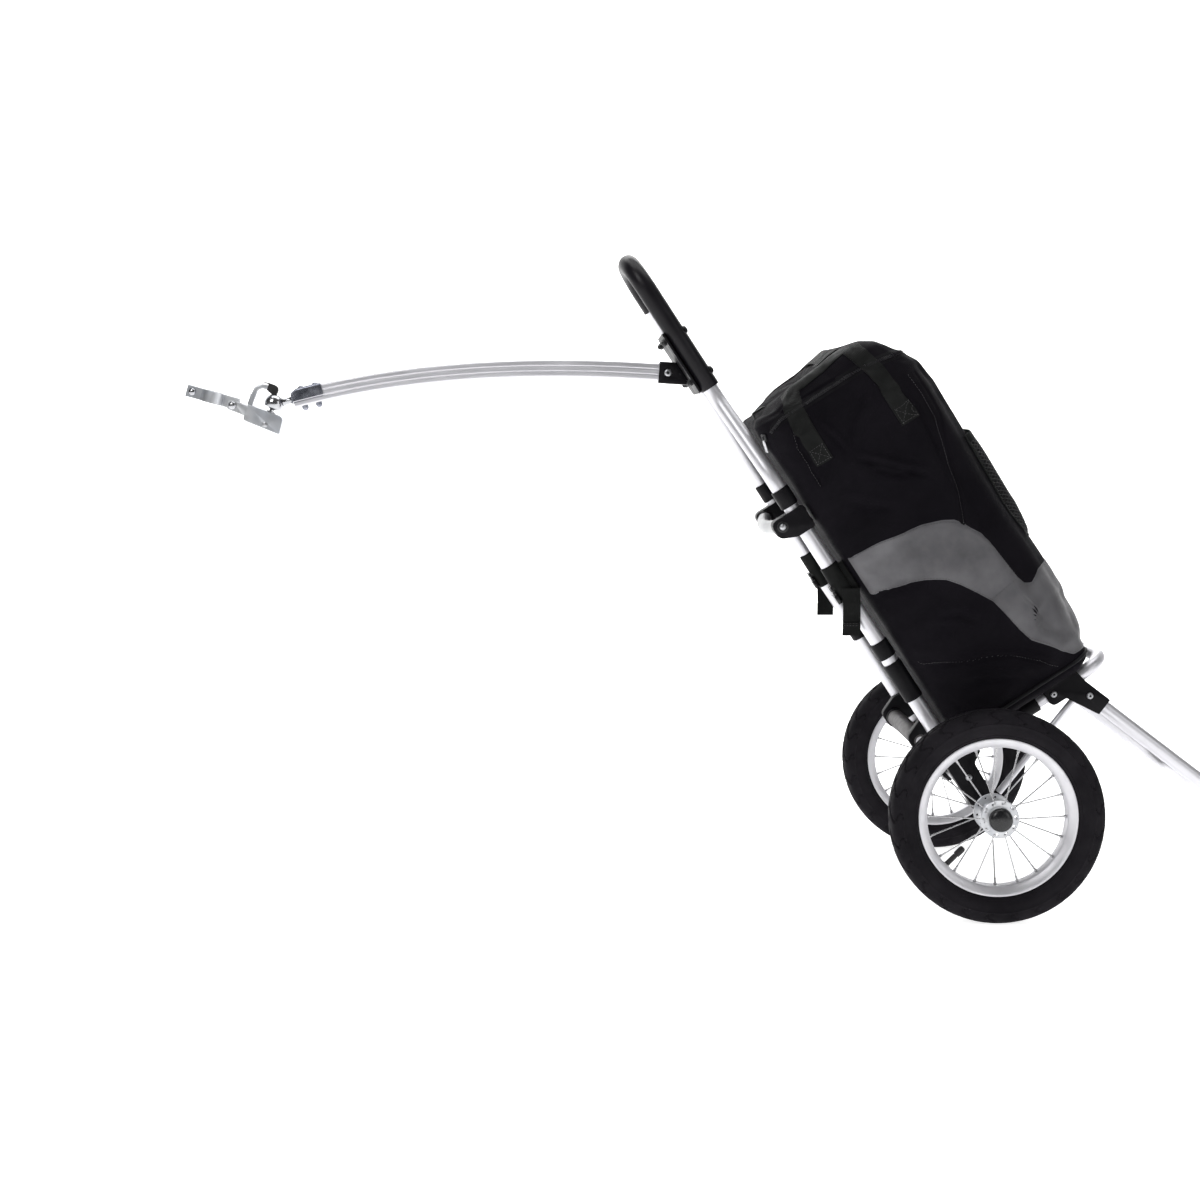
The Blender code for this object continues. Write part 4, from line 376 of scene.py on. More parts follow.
def turned(name, profile, matrix, sides=48, closed=False):
    """A turned solid: (radius, height) about the matrix's Z. A closed profile makes a ring."""
    bm = bmesh.new()
    rows = []
    for radius, height in profile:
        if radius < 1e-6:
            rows.append([bm.verts.new(matrix @ Vector((0.0, 0.0, height)))])
        else:
            rows.append([bm.verts.new(matrix @ Vector((radius * math.cos(a), radius * math.sin(a), height)))
                         for a in turns(sides)])
    pairs = list(zip(rows, rows[1:])) + ([(rows[-1], rows[0])] if closed else [])
    for lower, upper in pairs:
        for index in range(sides):
            after = (index + 1) % sides
            corners = [lower[index % len(lower)], lower[after % len(lower)], upper[after % len(upper)],
                       upper[index % len(upper)]]
            corners = list(dict.fromkeys(corners))
            if len(corners) > 2:
                bm.faces.new(corners)
    bmesh.ops.recalc_face_normals(bm, faces=bm.faces)
    return put(name, bm, 34.0)


def ring_section(inner, outer, half, ease):
    return [(inner, -half), (outer - ease, -half), (outer - ease * 0.3, -half + ease * 0.3),
            (outer, -half + ease), (outer, half - ease), (outer - ease * 0.3, half - ease * 0.3),
            (outer - ease, half), (inner, half)]


RING_SLEEVES = (("joint_sleeve_left", -1, 0.509, 0.0280, 0.0133),
                ("joint_sleeve_right", 1, 0.509, 0.0280, 0.0133),
                ("low_sleeve_left", -1, 0.255, 0.0260, 0.0133),
                ("low_sleeve_right", 1, 0.255, 0.0260, 0.0133),
                ("long_sleeve_left", -1, 0.203, 0.0600, 0.0135))
for node, sign, height, length, outer in RING_SLEEVES:
    seat = CART @ Matrix.Translation((0.0, sign * RAIL_Y, height))
    sleeve = turned(node + "_ring", ring_section(SLEEVE_BORE, outer, length / 2, 0.0012), seat, closed=True)
    dress(sleeve, "frame", "black_plastic", moulded_nylon, node)

# Screws and rivets
# Zinc-plated pan-head socket screws and domed rivets hold the mouldings, and the front rivets are
# blackened. Geometry Nodes set one head at each place where the frame's fasteners sit.


def new_tree(name, sockets):
    """A node tree that takes and gives geometry, with its sizes as named inputs."""
    tree = bpy.data.node_groups.new(name, "GeometryNodeTree")
    tree.interface.new_socket("Geometry", in_out="INPUT", socket_type="NodeSocketGeometry")
    for label, kind in sockets:
        tree.interface.new_socket(label, in_out="INPUT", socket_type="NodeSocket" + kind)
    tree.interface.new_socket("Geometry", in_out="OUTPUT", socket_type="NodeSocketGeometry")
    return tree, tree.nodes.new("NodeGroupInput"), tree.nodes.new("NodeGroupOutput")


def join(tree, kind, links=(), settings=None, **inputs):
    """Adds a geometry node to a tree, with (socket, input) pairs to link."""
    made = tree.nodes.new(kind)
    for name, value in (settings or {}).items():
        setattr(made, name, value)
    for name, value in inputs.items():
        made.inputs[name.replace("_", " ")].default_value = value
    for source, target in links:
        tree.links.new(source, made.inputs[target])
    return made


def end_tree(tree, made, source, result):
    """Makes a tree's instances real and gives them the finish that the tree was handed."""
    real = join(tree, "GeometryNodeRealizeInstances", [(made.outputs[0], "Geometry")])
    dressed = join(tree, "GeometryNodeSetMaterial",
                   [(real.outputs[0], "Geometry"), (source.outputs["Finish"], "Material")])
    tree.links.new(dressed.outputs[0], result.inputs["Geometry"])
    return tree


def set_pieces():
    """Puts one piece at each point, its Z along 'facing' and its X along 'along'."""
    tree, source, result = new_tree("set_pieces", (("Piece", "Object"), ("Width", "Float"),
                                                   ("Height", "Float"), ("Length", "Float"),
                                                   ("Finish", "Material")))
    facing = join(tree, "GeometryNodeInputNamedAttribute", settings={"data_type": "FLOAT_VECTOR"},
                  Name="facing")
    along = join(tree, "GeometryNodeInputNamedAttribute", settings={"data_type": "FLOAT_VECTOR"},
                 Name="along")
    info = join(tree, "GeometryNodeObjectInfo", [(source.outputs["Piece"], "Object")])
    points = join(tree, "GeometryNodeMeshToPoints", [(source.outputs["Geometry"], "Mesh")])
    first = join(tree, "FunctionNodeAlignRotationToVector", [(facing.outputs["Attribute"], "Vector")],
                 {"axis": "Z"})
    second = join(tree, "FunctionNodeAlignRotationToVector",
                  [(first.outputs[0], "Rotation"), (along.outputs["Attribute"], "Vector")],
                  {"axis": "X", "pivot_axis": "Z"})
    scale = join(tree, "ShaderNodeCombineXYZ", [(source.outputs["Length"], "X"),
                                                (source.outputs["Width"], "Y"),
                                                (source.outputs["Height"], "Z")])
    placed = join(tree, "GeometryNodeInstanceOnPoints",
                  [(points.outputs[0], "Points"), (info.outputs["Geometry"], "Instance"),
                   (second.outputs[0], "Rotation"), (scale.outputs[0], "Scale")])
    return end_tree(tree, placed, source, result)


def grown(name, tree, base, sharp=40.0, **inputs):
    """Evaluates a node tree on a base mesh and keeps what it made as a plain mesh that faces outwards."""
    holder = bpy.data.objects.new(name, base)
    bpy.context.scene.collection.objects.link(holder)
    modifier = holder.modifiers.new("grown", "NODES")
    modifier.node_group = tree
    for item in tree.interface.items_tree:
        if item.in_out == "INPUT" and item.name in inputs:
            modifier[item.identifier] = inputs[item.name]
    mesh = applied(holder).data
    bm = bmesh.new()
    bm.from_mesh(mesh)
    bmesh.ops.remove_doubles(bm, verts=bm.verts, dist=0.000002)
    bmesh.ops.recalc_face_normals(bm, faces=bm.faces)
    bm.to_mesh(mesh)
    bm.free()
    mesh.shade_smooth()
    mesh.set_sharp_from_angle(angle=math.radians(sharp))
    return holder


def points_of(name, places):
    """A mesh of bare points, each with the way it faces and the way it runs."""
    mesh = bpy.data.meshes.new(name)
    mesh.from_pydata([place for place, facing, along in places], [], [])
    for label, index in (("facing", 1), ("along", 2)):
        layer = mesh.attributes.new(label, "FLOAT_VECTOR", "POINT")
        for number, place in enumerate(places):
            layer.data[number].vector = place[index]
    return mesh


def pattern_piece(name, profile, sides):
    """A small turned shape that a node tree repeats. It isn't shown itself."""
    obj = turned(name, profile, Matrix(), sides)
    bpy.context.scene.collection.objects.unlink(obj)
    return obj


PIECE_TREE = set_pieces()


def set_out(name, places, piece, size, finish, body, slot):
    """One small piece set at each place, with its length, width and height, as one dressed object."""
    length, width, height = size
    made = grown(name, PIECE_TREE, points_of(name + "_places", places), Piece=piece, Length=length,
                 Width=width, Height=height, Finish=finish)
    return dress(made, body, slot, finish)


def to_side(sign):
    """Turns Z to the near side (-1) or to the far side (1)."""
    return Matrix.Rotation(-sign * math.pi / 2, 4, "X")


zinc_plate = made_of("zinc_plate", (90.0, 4.0, (0.44, 0.445, 0.465), (0.58, 0.585, 0.60)),
                     (240.0, 4.0, 0.24, 0.40), (1500.0, 2.0, 0.00003, 0.35), 0.85)
black_oxide = made_of("black_oxide", (120.0, 3.0, (0.009, 0.009, 0.010), (0.018, 0.018, 0.020)),
                      (300.0, 3.0, 0.28, 0.48), None, 0.25)

socket_head = pattern_piece("socket_head", ((0.0, 0.40), (0.17, 0.34), (0.19, 0.93), (0.24, 0.97),
                                            (0.36, 0.80), (0.45, 0.50), (0.5, 0.12), (0.5, -0.15),
                                            (0.0, -0.15)), 24)
domed_head = pattern_piece("domed_head", ((0.0, 1.0), (0.14, 0.97), (0.28, 0.86), (0.40, 0.62), (0.48, 0.30),
                                          (0.5, 0.0), (0.5, -0.15), (0.0, -0.15)), 24)
MID_TUBE_AT = (-0.0255, 0.477)
FOOT_SCREW = (0.003, 0.041)
BASE_BOLT = (0.165, 0.075)
LEG_DOWN = Vector((0.083, 0.0, -0.232)).normalized()
LEG_BOLT = (0.202 + LEG_DOWN.x * 0.012, 0.057 + LEG_DOWN.z * 0.012)
cart_out = CART.to_3x3()
screw_places = []
rivet_places = []
for sign in (-1, 1):
    out = cart_out @ Vector((0.0, sign, 0.0))
    up = cart_out @ Vector((0.0, 0.0, 1.0))
    ahead = cart_out @ Vector((1.0, 0.0, 0.0))
    for (x, z), face in ((FOOT_SCREW, 0.1350), (BASE_BOLT, 0.1335), (LEG_BOLT, 0.1335)):
        screw_places.append((CART @ Vector((x, sign * face, z)), out, up))
    rivet_places.append((CART @ Vector((MID_TUBE_AT[0], sign * 0.1350, MID_TUBE_AT[1])), out, up))
set_out("pan_head_screws", screw_places, socket_head, (0.0096, 0.0096, 0.0031), zinc_plate, "frame",
        "zinc_plate")
set_out("lug_rivets", rivet_places, domed_head, (0.0096, 0.0096, 0.0032), zinc_plate, "frame", "zinc_plate")
front_places = [(CART @ Vector((0.0144, sign * RAIL_Y, z)), ahead, up)
                for sign in (-1, 1) for z in (0.4625, 0.4805)]
set_out("front_rivets", front_places, domed_head, (0.0087, 0.0087, 0.0025), black_oxide, "frame",
        "black_plastic")
LUG_WASHER = ((0.0044, 0.0), (0.0078, 0.0), (0.0078, 0.0007), (0.0072, 0.0011), (0.0044, 0.0011))
for side, sign in SIDES:
    seat = CART @ Matrix.Translation((MID_TUBE_AT[0], sign * 0.1347, MID_TUBE_AT[1])) @ to_side(sign)
    washer = turned("lug_washer_" + side, LUG_WASHER, seat, 40, closed=True)
    dress(washer, "frame", "black_plastic", black_oxide)

# Cross tubes
# Two tubes hold the rails apart. The middle one is bowed towards the cyclist and has a pale grey coat. The
# lower one is fat, and its grey coat is painted darker with the shade it sits in low under the bag. It steps
# down into its brackets and shows a bright end inside a black ring.

grey_coat = made_of("grey_coat", (30.0, 4.0, (0.34, 0.345, 0.355), (0.42, 0.425, 0.43)),
                    (120.0, 4.0, 0.34, 0.52), (900.0, 2.0, 0.00005, 0.35), 0.25, Coat_Weight=0.15)
# Painted shade: the lower tube's grey coat is painted much darker than the middle tube's, for the shade
# under the bag.
grey_coat_with_painted_shade = made_of("grey_coat_with_painted_shade", (30.0, 4.0, (0.060, 0.056, 0.058), (0.095, 0.088, 0.090)),
                         (120.0, 4.0, 0.36, 0.54), None, 0.1, Specular_IOR_Level=0.25)


def seat_at(place, way):
    """A matrix whose origin is a place and whose Z runs a given way."""
    return Matrix.Translation(place) @ way.to_track_quat("Z", "Y").to_matrix().to_4x4()


def mirrored(profile):
    """The other half of a half profile, in the order that goes on from it."""
    return [(r, -z) for r, z in reversed(profile)]


MID_TUBE_END = 0.1047
bow = []
for index in range(33):
    share = 2.0 * index / 32 - 1.0
    bow.append(CART @ Vector((MID_TUBE_AT[0] - 0.012 * (1.0 - share * share), share * MID_TUBE_END,
                              MID_TUBE_AT[1])))
dress(pipe("mid_tube_bowed", bow, 0.0100, 36), "frame", "grey_tube", grey_coat, "mid_cross_tube")
COLLAR = ((0.0100, 0.0012), (0.0112, 0.0012), (0.0116, 0.0020), (0.0116, 0.0064), (0.0112, 0.0072),
          (0.0100, 0.0072))
for side, first, second in (("left", bow[0], bow[2]), ("right", bow[-1], bow[-3])):
    collar = turned("mid_tube_collar_" + side, COLLAR, seat_at(first, second - first), 40, closed=True)
    dress(collar, "frame", "black_plastic", moulded_nylon)

LOW_TUBE_AT = (-0.0245, 0.1145)
lengthwise = CART @ Matrix.Translation((LOW_TUBE_AT[0], 0.0, LOW_TUBE_AT[1])) @ to_side(1)
low_side = [(0.0090, 0.1130), (0.0095, 0.1125), (0.0095, 0.0985), (0.0110, 0.0981), (0.0122, 0.0974),
            (0.0125, 0.0962)]
low_profile = [(0.0, 0.1130)] + low_side + mirrored(low_side) + [(0.0, -0.1130)]
lower_tube = turned("lower_tube_stepped", low_profile, lengthwise, 48)
dress(lower_tube, "frame", "grey_tube", grey_coat_with_painted_shade, "lower_cross_tube")
LOW_PLUG = ((0.0, 0.1138), (0.0064, 0.1138), (0.0068, 0.1134), (0.0068, 0.1124), (0.0, 0.1124))
LOW_RING = ((0.0125, 0.0840), (0.0131, 0.0843), (0.0131, 0.0955), (0.0125, 0.0958))
for side, sign in SIDES:
    plug = turned("lower_tube_plug_" + side, [(r, sign * z) for r, z in LOW_PLUG], lengthwise, 36)
    dress(plug, "frame", "satin_aluminium", drawn_aluminium)
    outline = [(r, sign * z) for r, z in LOW_RING]
    ring = turned("lower_tube_ring_" + side, outline, lengthwise, 48, closed=True)
    dress(ring, "frame", "black_plastic", moulded_nylon)

# Axle
# A ground steel rod through both brackets, on which the wheels turn.

steel_rod = finish_of("steel_rod", (0.36, 0.36, 0.375), 0.30, 1.0)
ground_haze = cloud(steel_rod, place_of(steel_rod, (1.0, 0.05, 1.0)), 500.0, 3.0, 0.22, 0.40)
drive(steel_rod, "Roughness", ground_haze)
axle_rod = pipe("axle_rod", [AXLE + Vector((0.0, y, 0.0)) for y in (-0.245, 0.0, 0.245)], 0.0060, 32)
dress(axle_rod, "frame", "dark_steel", steel_rod, "axle")

# Wheels
# A 29 cm air-filled tyre with claw-cut shoulders, a pressed aluminium rim, and twenty straight steel spokes
# in nickelled nipples from a turned hub with drilled flanges. A plastic cap is pressed into the hub.

TRACK_HALF = 0.215
TYRE_RADIUS = 0.145
TREAD_BLOCKS = 25
tyre_rubber = made_of("tyre_rubber", (22.0, 5.0, (0.0062, 0.0054, 0.0072), (0.0125, 0.0110, 0.0138)),
                      (60.0, 4.0, 0.60, 0.85), (900.0, 4.0, 0.00018, 0.4), Specular_IOR_Level=0.11)

# The tyre's section from bead to bead, as (radius, distance from its middle plane).
TYRE_SIDE = ((0.1012, 0.0136), (0.1060, 0.0137), (0.1090, 0.0150), (0.1110, 0.0180), (0.1117, 0.0184),
             (0.1124, 0.0182), (0.1150, 0.0203), (0.1190, 0.0218), (0.1230, 0.0224), (0.1265, 0.0225),
             (0.1272, 0.0229), (0.1280, 0.0229), (0.1287, 0.0224), (0.1320, 0.0220), (0.1355, 0.0212),
             (0.1380, 0.0204), (0.1400, 0.0192), (0.1417, 0.0174), (0.1430, 0.0150), (0.1440, 0.0120),
             (0.1446, 0.0090), (0.1449, 0.0060), (0.1450, 0.0030))


def claw(turn, across, radius):
    """How deep the tread is cut at a place: hooked grooves over each shoulder and a wavy line beside the
    middle."""
    shift = 0.5 if across > 0 else 0.0
    share = (turn * TREAD_BLOCKS / (2 * math.pi) + shift) % 1.0
    reach = abs(across)
    lean = 0.30 + 0.22 * math.sin((TYRE_RADIUS - radius) * 420.0) + (reach - 0.012) * 18.0
    off = abs((share - lean + 0.5) % 1.0 - 0.5)
    cut = 0.0
    if radius > 0.1292:
        cut = 0.0019 if off < 0.055 + max(0.0, 0.018 - reach) * 4.0 else 0.0
    wave = 0.0072 + 0.0016 * math.sin(2 * math.pi * share)
    if abs(reach - wave) < 0.0009:
        cut = max(cut, 0.0014)
    return cut


def tyre_rings(middle):
    section = list(TYRE_SIDE) + [(TYRE_RADIUS, 0.0)] + mirrored(TYRE_SIDE)
    inside = [(0.1030, -0.0112), (0.1270, -0.0175), (0.1380, 0.0), (0.1270, 0.0175), (0.1030, 0.0112)]
    fine = []
    for (r1, y1), (r2, y2) in zip(section, section[1:]):
        parts = 2 if min(r1, r2) > 0.1285 else 1
        fine += [(r1 + (r2 - r1) * k / parts, y1 + (y2 - y1) * k / parts) for k in range(parts)]
    fine += [section[-1]] + inside
    rings = []
    for turn in turns(600):
        ring = []
        for radius, across in fine:
            cut = claw(turn, across, radius) if radius > 0.1290 and abs(across) < 0.0225 else 0.0
            inward = 1.0 - cut / radius
            flat = across * (1.0 - 0.5 * cut / 0.0225)
            ring.append(Vector((radius * inward * math.cos(turn), flat, radius * inward * math.sin(turn)))
                        + middle)
        rings.append(ring)
    return rings


pressed_alloy = made_of("pressed_alloy", (40.0, 3.0, (0.62, 0.615, 0.645), (0.70, 0.695, 0.72)),
                        (90.0, 4.0, 0.36, 0.50), (700.0, 2.0, 0.00003, 0.3), 0.65)

RIM_SIDE = ((0.0945, 0.0), (0.0945, 0.0080), (0.0949, 0.0092), (0.0962, 0.0104), (0.0985, 0.0122),
            (0.1015, 0.0140), (0.1040, 0.0149), (0.1062, 0.0153), (0.1070, 0.0151), (0.1075, 0.0145),
            (0.1073, 0.0140), (0.1062, 0.0137), (0.1030, 0.0130), (0.1005, 0.0128), (0.0988, 0.0090),
            (0.0982, 0.0))


def around(name, section, middle, count):
    """A ring of one closed section of (radius, across) round a wheel's axle."""
    rings = []
    for turn in turns(count):
        rings.append([Vector((r * math.cos(turn), y, r * math.sin(turn))) + middle for r, y in section])
    return skin(name, rings, looped=True, sharp=30.0)


for side, sign in SIDES:
    middle = AXLE + Vector((0.0, sign * TRACK_HALF, 0.0))
    tyre = skin("tyre_with_tread_" + side, tyre_rings(middle), looped=True, sharp=30.0)
    dress(tyre, "wheel_" + side, "tyre_rubber", tyre_rubber, "tyre_" + side)
    rim = around("rim_pressed_" + side, list(RIM_SIDE) + mirrored(RIM_SIDE[1:-1]), middle, 120)
    dress(rim, "wheel_" + side, "satin_aluminium", pressed_alloy, "rim_" + side)


def strung_wires():
    """Makes a round wire of each edge."""
    tree, source, result = new_tree("strung_wires", (("Radius", "Float"), ("Sides", "Int"),
                                                     ("Finish", "Material")))
    curve = join(tree, "GeometryNodeMeshToCurve", [(source.outputs["Geometry"], "Mesh")])
    circle = join(tree, "GeometryNodeCurvePrimitiveCircle", [(source.outputs["Sides"], "Resolution"),
                                                             (source.outputs["Radius"], "Radius")])
    wires = join(tree, "GeometryNodeCurveToMesh",
                 [(curve.outputs[0], "Curve"), (circle.outputs[0], "Profile Curve")], Fill_Caps=True)
    return end_tree(tree, wires, source, result)


WIRE_TREE = strung_wires()
SPOKES = 20
FLANGE_Y = 0.021
bright_spoke = finish_of("bright_spoke", (0.50, 0.50, 0.51), 0.26, 0.9)
drive(bright_spoke, "Roughness", cloud(bright_spoke, place_of(bright_spoke), 300.0, 2.0, 0.20, 0.36))
turned_alloy = made_of("turned_alloy", (70.0, 3.0, (0.48, 0.49, 0.52), (0.62, 0.625, 0.64)), 0.34, None, 0.8,
                       Anisotropic=0.4)
lathe_place = place_of(turned_alloy, (60.0, 2600.0, 60.0))
lathe_marks = step(turned_alloy, "TexNoise", Vector=lathe_place, Scale=1.0, Detail=3.0)
relief(turned_alloy, lathe_marks.outputs[0], 0.00002, 0.5)
nipple_shape = pattern_piece("nipple", ((0.0, 0.0), (0.34, 0.0), (0.34, 0.60), (0.46, 0.66), (0.5, 0.74),
                                        (0.5, 0.96), (0.44, 1.0), (0.0, 1.0)), 12)
valve_rubber = made_of("valve_rubber", (60.0, 3.0, (0.0085, 0.0080, 0.0092), (0.0160, 0.0152, 0.0168)), 0.55,
                       (900.0, 2.0, 0.00006, 0.4))
glossy_plastic = made_of("glossy_plastic", (40.0, 3.0, (0.0062, 0.0062, 0.0072), (0.0115, 0.0115, 0.0130)),
                         (140.0, 3.0, 0.18, 0.34))

HUB_HALF = ((0.0063, 0.0250), (0.0110, 0.0250), (0.0110, 0.0260), (0.0142, 0.0260), (0.0147, 0.0256),
            (0.0160, 0.0232), (0.0166, 0.0226), (0.0252, 0.0226), (0.0260, 0.0219), (0.0260, 0.0201),
            (0.0252, 0.0194), (0.0178, 0.0194), (0.0166, 0.0188), (0.0161, 0.0172), (0.0152, 0.0120),
            (0.0148, 0.0))


def drilled_hub(name, middle):
    """The hub's turned shell, with ten holes drilled through each flange between the spokes."""
    hub = turned(name, list(HUB_HALF) + mirrored(HUB_HALF[:-1]), Matrix.Translation(middle) @ to_side(1), 96,
                 closed=True)
    drills = bmesh.new()
    for index in range(10):
        turn = math.radians(36.0 * index + 9.0)
        spot = Matrix.Translation(middle + Vector((math.cos(turn), 0.0, math.sin(turn))) * 0.0212)
        bmesh.ops.create_cone(drills, cap_ends=True, segments=16, radius1=0.0017, radius2=0.0017,
                              depth=0.060, matrix=spot @ to_side(-1))
    drill = put(name + "_drill", drills)
    cut = hub.modifiers.new("drilled", "BOOLEAN")
    cut.operation = "DIFFERENCE"
    cut.solver = "EXACT"
    cut.object = drill
    applied(hub, 34.0)
    bpy.data.objects.remove(drill)
    return hub


VALVES = {"left": math.radians(-135.0), "right": math.radians(-27.0)}
CAP_DOME = ((0.0, 0.0110), (0.0030, 0.01092), (0.0060, 0.01065), (0.0090, 0.01005), (0.0118, 0.0090),
            (0.0140, 0.0075), (0.0153, 0.0058), (0.0158, 0.0042), (0.0160, 0.0030), (0.0160, 0.0003),
            (0.0120, 0.0003), (0.0120, 0.0060), (0.0, 0.0088))
STEM = ((0.0, 0.0), (0.0050, 0.0), (0.0050, 0.0010), (0.0037, 0.0022), (0.0036, 0.0215), (0.0031, 0.0222),
        (0.0031, 0.0232), (0.0045, 0.0238), (0.0046, 0.0344), (0.0040, 0.0362), (0.0026, 0.0378),
        (0.0, 0.0380))
STEM_COLLAR = ((0.0031, 0.0), (0.0052, 0.0), (0.0052, 0.0008), (0.0046, 0.0012), (0.0031, 0.0012))
SPOKE_FOOT = 0.0226
for side, sign in SIDES:
    body = "wheel_" + side
    middle = AXLE + Vector((0.0, sign * TRACK_HALF, 0.0))
    hub = drilled_hub("hub_shell_" + side, middle)
    dress(hub, body, "satin_aluminium", turned_alloy, "hub_" + side)
    ends = []
    nipple_places = []
    elbow_places = []
    for index, turn in enumerate(turns(SPOKES)):
        radial = Vector((math.cos(turn), 0.0, math.sin(turn)))
        flange = FLANGE_Y if index % 2 else -FLANGE_Y
        inner = middle + radial * SPOKE_FOOT + Vector((0.0, flange, 0.0))
        outer = middle + radial * 0.0940 + Vector((0.0, flange * 0.10, 0.0))
        ends += [inner, outer]
        along = (outer - inner).normalized()
        nipple_places.append((outer + along * 0.0003 - along * 0.0090, along, Vector((0.0, 1.0, 0.0))))
        face = Vector((0.0, math.copysign(1.0, flange), 0.0))
        head_y = flange + math.copysign(0.0015, flange)
        elbow_places.append((middle + radial * SPOKE_FOOT + Vector((0.0, head_y, 0.0)), face, radial))
    web = bpy.data.meshes.new("spoke_lines_" + side)
    web.from_pydata(ends, [(2 * k, 2 * k + 1) for k in range(SPOKES)], [])
    spokes = grown("spokes_" + side, WIRE_TREE, web, Radius=0.0010, Sides=10, Finish=bright_spoke)
    dress(spokes, body, "zinc_plate", bright_spoke)
    set_out("nipples_" + side, nipple_places, nipple_shape, (0.0042, 0.0042, 0.0090), bright_spoke, body,
            "zinc_plate")
    set_out("spoke_heads_" + side, elbow_places, domed_head, (0.0034, 0.0034, 0.0011), bright_spoke, body,
            "zinc_plate")
    outward = Matrix.Translation(middle + Vector((0.0, sign * 0.0260, 0.0))) @ to_side(sign)
    dress(turned("hub_cap_dome_" + side, CAP_DOME, outward, 64), body, "black_plastic", glossy_plastic,
          "hub_cap_" + side)
    across = Vector((math.cos(VALVES[side]), 0.0, math.sin(VALVES[side])))
    stem = turned("valve_stem_" + side, STEM, seat_at(middle + across * 0.0995, -across), 32)
    dress(stem, body, "soft_rubber", valve_rubber, "valve_" + side)
    collar = turned("valve_collar_" + side, STEM_COLLAR, seat_at(middle + across * 0.0947, -across), 24,
                    closed=True)
    dress(collar, body, "zinc_plate", bright_spoke)

# Bag
# A loosely filled bag, sewn of heavy coated polyester, with a bottom of stouter cloth and a gathered top.
# A short cloth simulation swells its panels between their seams.

BAG_LOW = 0.08755
BAG_TOP = 0.630
BAG_MIDDLE = 0.140
BAG_BACK = 0.019
BAG_SIDE = 0.162
# Height, back, front, half width, corner radius, and rise of the top towards the front.
BAG_SHAPE = ((BAG_LOW, 0.0260, 0.2230, 0.1480, 0.030, 0.0),
             (BAG_LOW + 0.008, 0.0205, 0.2360, 0.1560, 0.036, 0.0),
             (0.1300, 0.0190, 0.2460, 0.1600, 0.040, 0.0), (0.2000, 0.0190, 0.2550, 0.1620, 0.042, 0.0),
             (0.2600, 0.0190, 0.2560, 0.1620, 0.045, 0.0), (0.3400, 0.0190, 0.2540, 0.1620, 0.045, 0.0),
             (0.4600, 0.0190, 0.2580, 0.1620, 0.045, 0.0), (0.5300, 0.0190, 0.2610, 0.1620, 0.045, 0.0),
             (0.5700, 0.0180, 0.2570, 0.1610, 0.044, 0.0), (0.5990, 0.0165, 0.2420, 0.1570, 0.042, 0.004),
             (0.6160, 0.0180, 0.2250, 0.1500, 0.040, 0.013), (0.6270, 0.0270, 0.2050, 0.1380, 0.040, 0.021),
             (BAG_TOP, 0.0500, 0.1850, 0.1150, 0.040, 0.024))


def bag_section(height):
    """The bag's section at a height, between the two nearest of its measured ones."""
    height = min(max(height, BAG_SHAPE[0][0]), BAG_SHAPE[-1][0])
    for lower, upper in zip(BAG_SHAPE, BAG_SHAPE[1:]):
        if height <= upper[0]:
            share = (height - lower[0]) / (upper[0] - lower[0])
            return tuple(a + (b - a) * share for a, b in zip(lower, upper))
    return BAG_SHAPE[-1]


def bag_ring(station, cell=0.0062):
    """Points round the bag's section, about a cell apart on its fullest section and in the same number on
    each."""
    height, back, front, half, corner, rise = station
    corner_cells = round(0.045 * math.pi / 2 / cell)
    deep_cells = round(0.150 / cell)
    wide_cells = round(0.230 / cell)
    middles = ((back + corner, half - corner, 0.5), (back + corner, corner - half, 1.0),
               (front - corner, corner - half, 1.5), (front - corner, half - corner, 0.0))
    arcs = []
    for x, y, start in middles:
        arcs.append([Vector((x + corner * math.cos(a), y + corner * math.sin(a), height))
                     for a in (math.pi * (start + 0.5 * k / corner_cells) for k in range(corner_cells + 1))])
    ring = []
    straights = (wide_cells, deep_cells, wide_cells, deep_cells)
    for index, arc in enumerate(arcs):
        ring += arc
        after = arcs[(index + 1) % 4][0]
        ring += [arc[-1].lerp(after, k / straights[index]) for k in range(1, straights[index])]
    for point in ring:
        lean = (point.x - BAG_MIDDLE) / (BAG_MIDDLE - BAG_BACK)
        point.z += rise * (lean if lean > 0.0 else 0.3 * lean)
    return ring


def bag_rows(cell=0.0062):
    """The rings of the whole bag, from the middle of its bottom over its walls to the middle of its top."""
    heights = []
    for lower, upper in zip(BAG_SHAPE, BAG_SHAPE[1:]):
        slant = math.hypot(upper[0] - lower[0], max(abs(a - b) for a, b in zip(lower[1:4], upper[1:4])))
        parts = max(1, round(slant / cell))
        heights += [lower[0] + (upper[0] - lower[0]) * k / parts for k in range(parts)]
    rows = [bag_ring(bag_section(height)) for height in heights + [BAG_TOP]]
    lids = []
    for edge in (rows[0], rows[-1]):
        middle = sum(edge, Vector()) / len(edge)
        shares = [1.0 - k / 16.0 for k in range(1, 16)]
        lids.append([[middle + (p - middle) * share for p in edge] for share in shares])
    return lids[0][::-1] + rows + lids[1]


coated_polyester = made_of("coated_polyester",
                           (11.0, 4.0, (0.0042, 0.0036, 0.0052), (0.0078, 0.0067, 0.0092)),
                           (30.0, 4.0, 0.56, 0.74), Specular_IOR_Level=0.04)
ONE_WAVE = 0.31416


def bands(material, way, pitch):
    """Threads that lie side by side in the material's UV map, a pitch apart in metres, as a height."""
    wave = step(material, "TexWave", {"wave_type": "BANDS", "bands_direction": way},
                Vector=place_of(material, uv=True), Scale=ONE_WAVE / pitch)
    return wave.outputs[1]


def woven(material, pitch):
    """A plain weave, as a height: each thread goes over one and under the next."""
    over = step(material, "TexChecker", Vector=place_of(material, uv=True), Scale=1.0 / pitch)
    threads = step(material, "Mix", Factor=over.outputs[1], i2=bands(material, "X", pitch),
                   i3=bands(material, "Y", pitch))
    return threads.outputs[0]


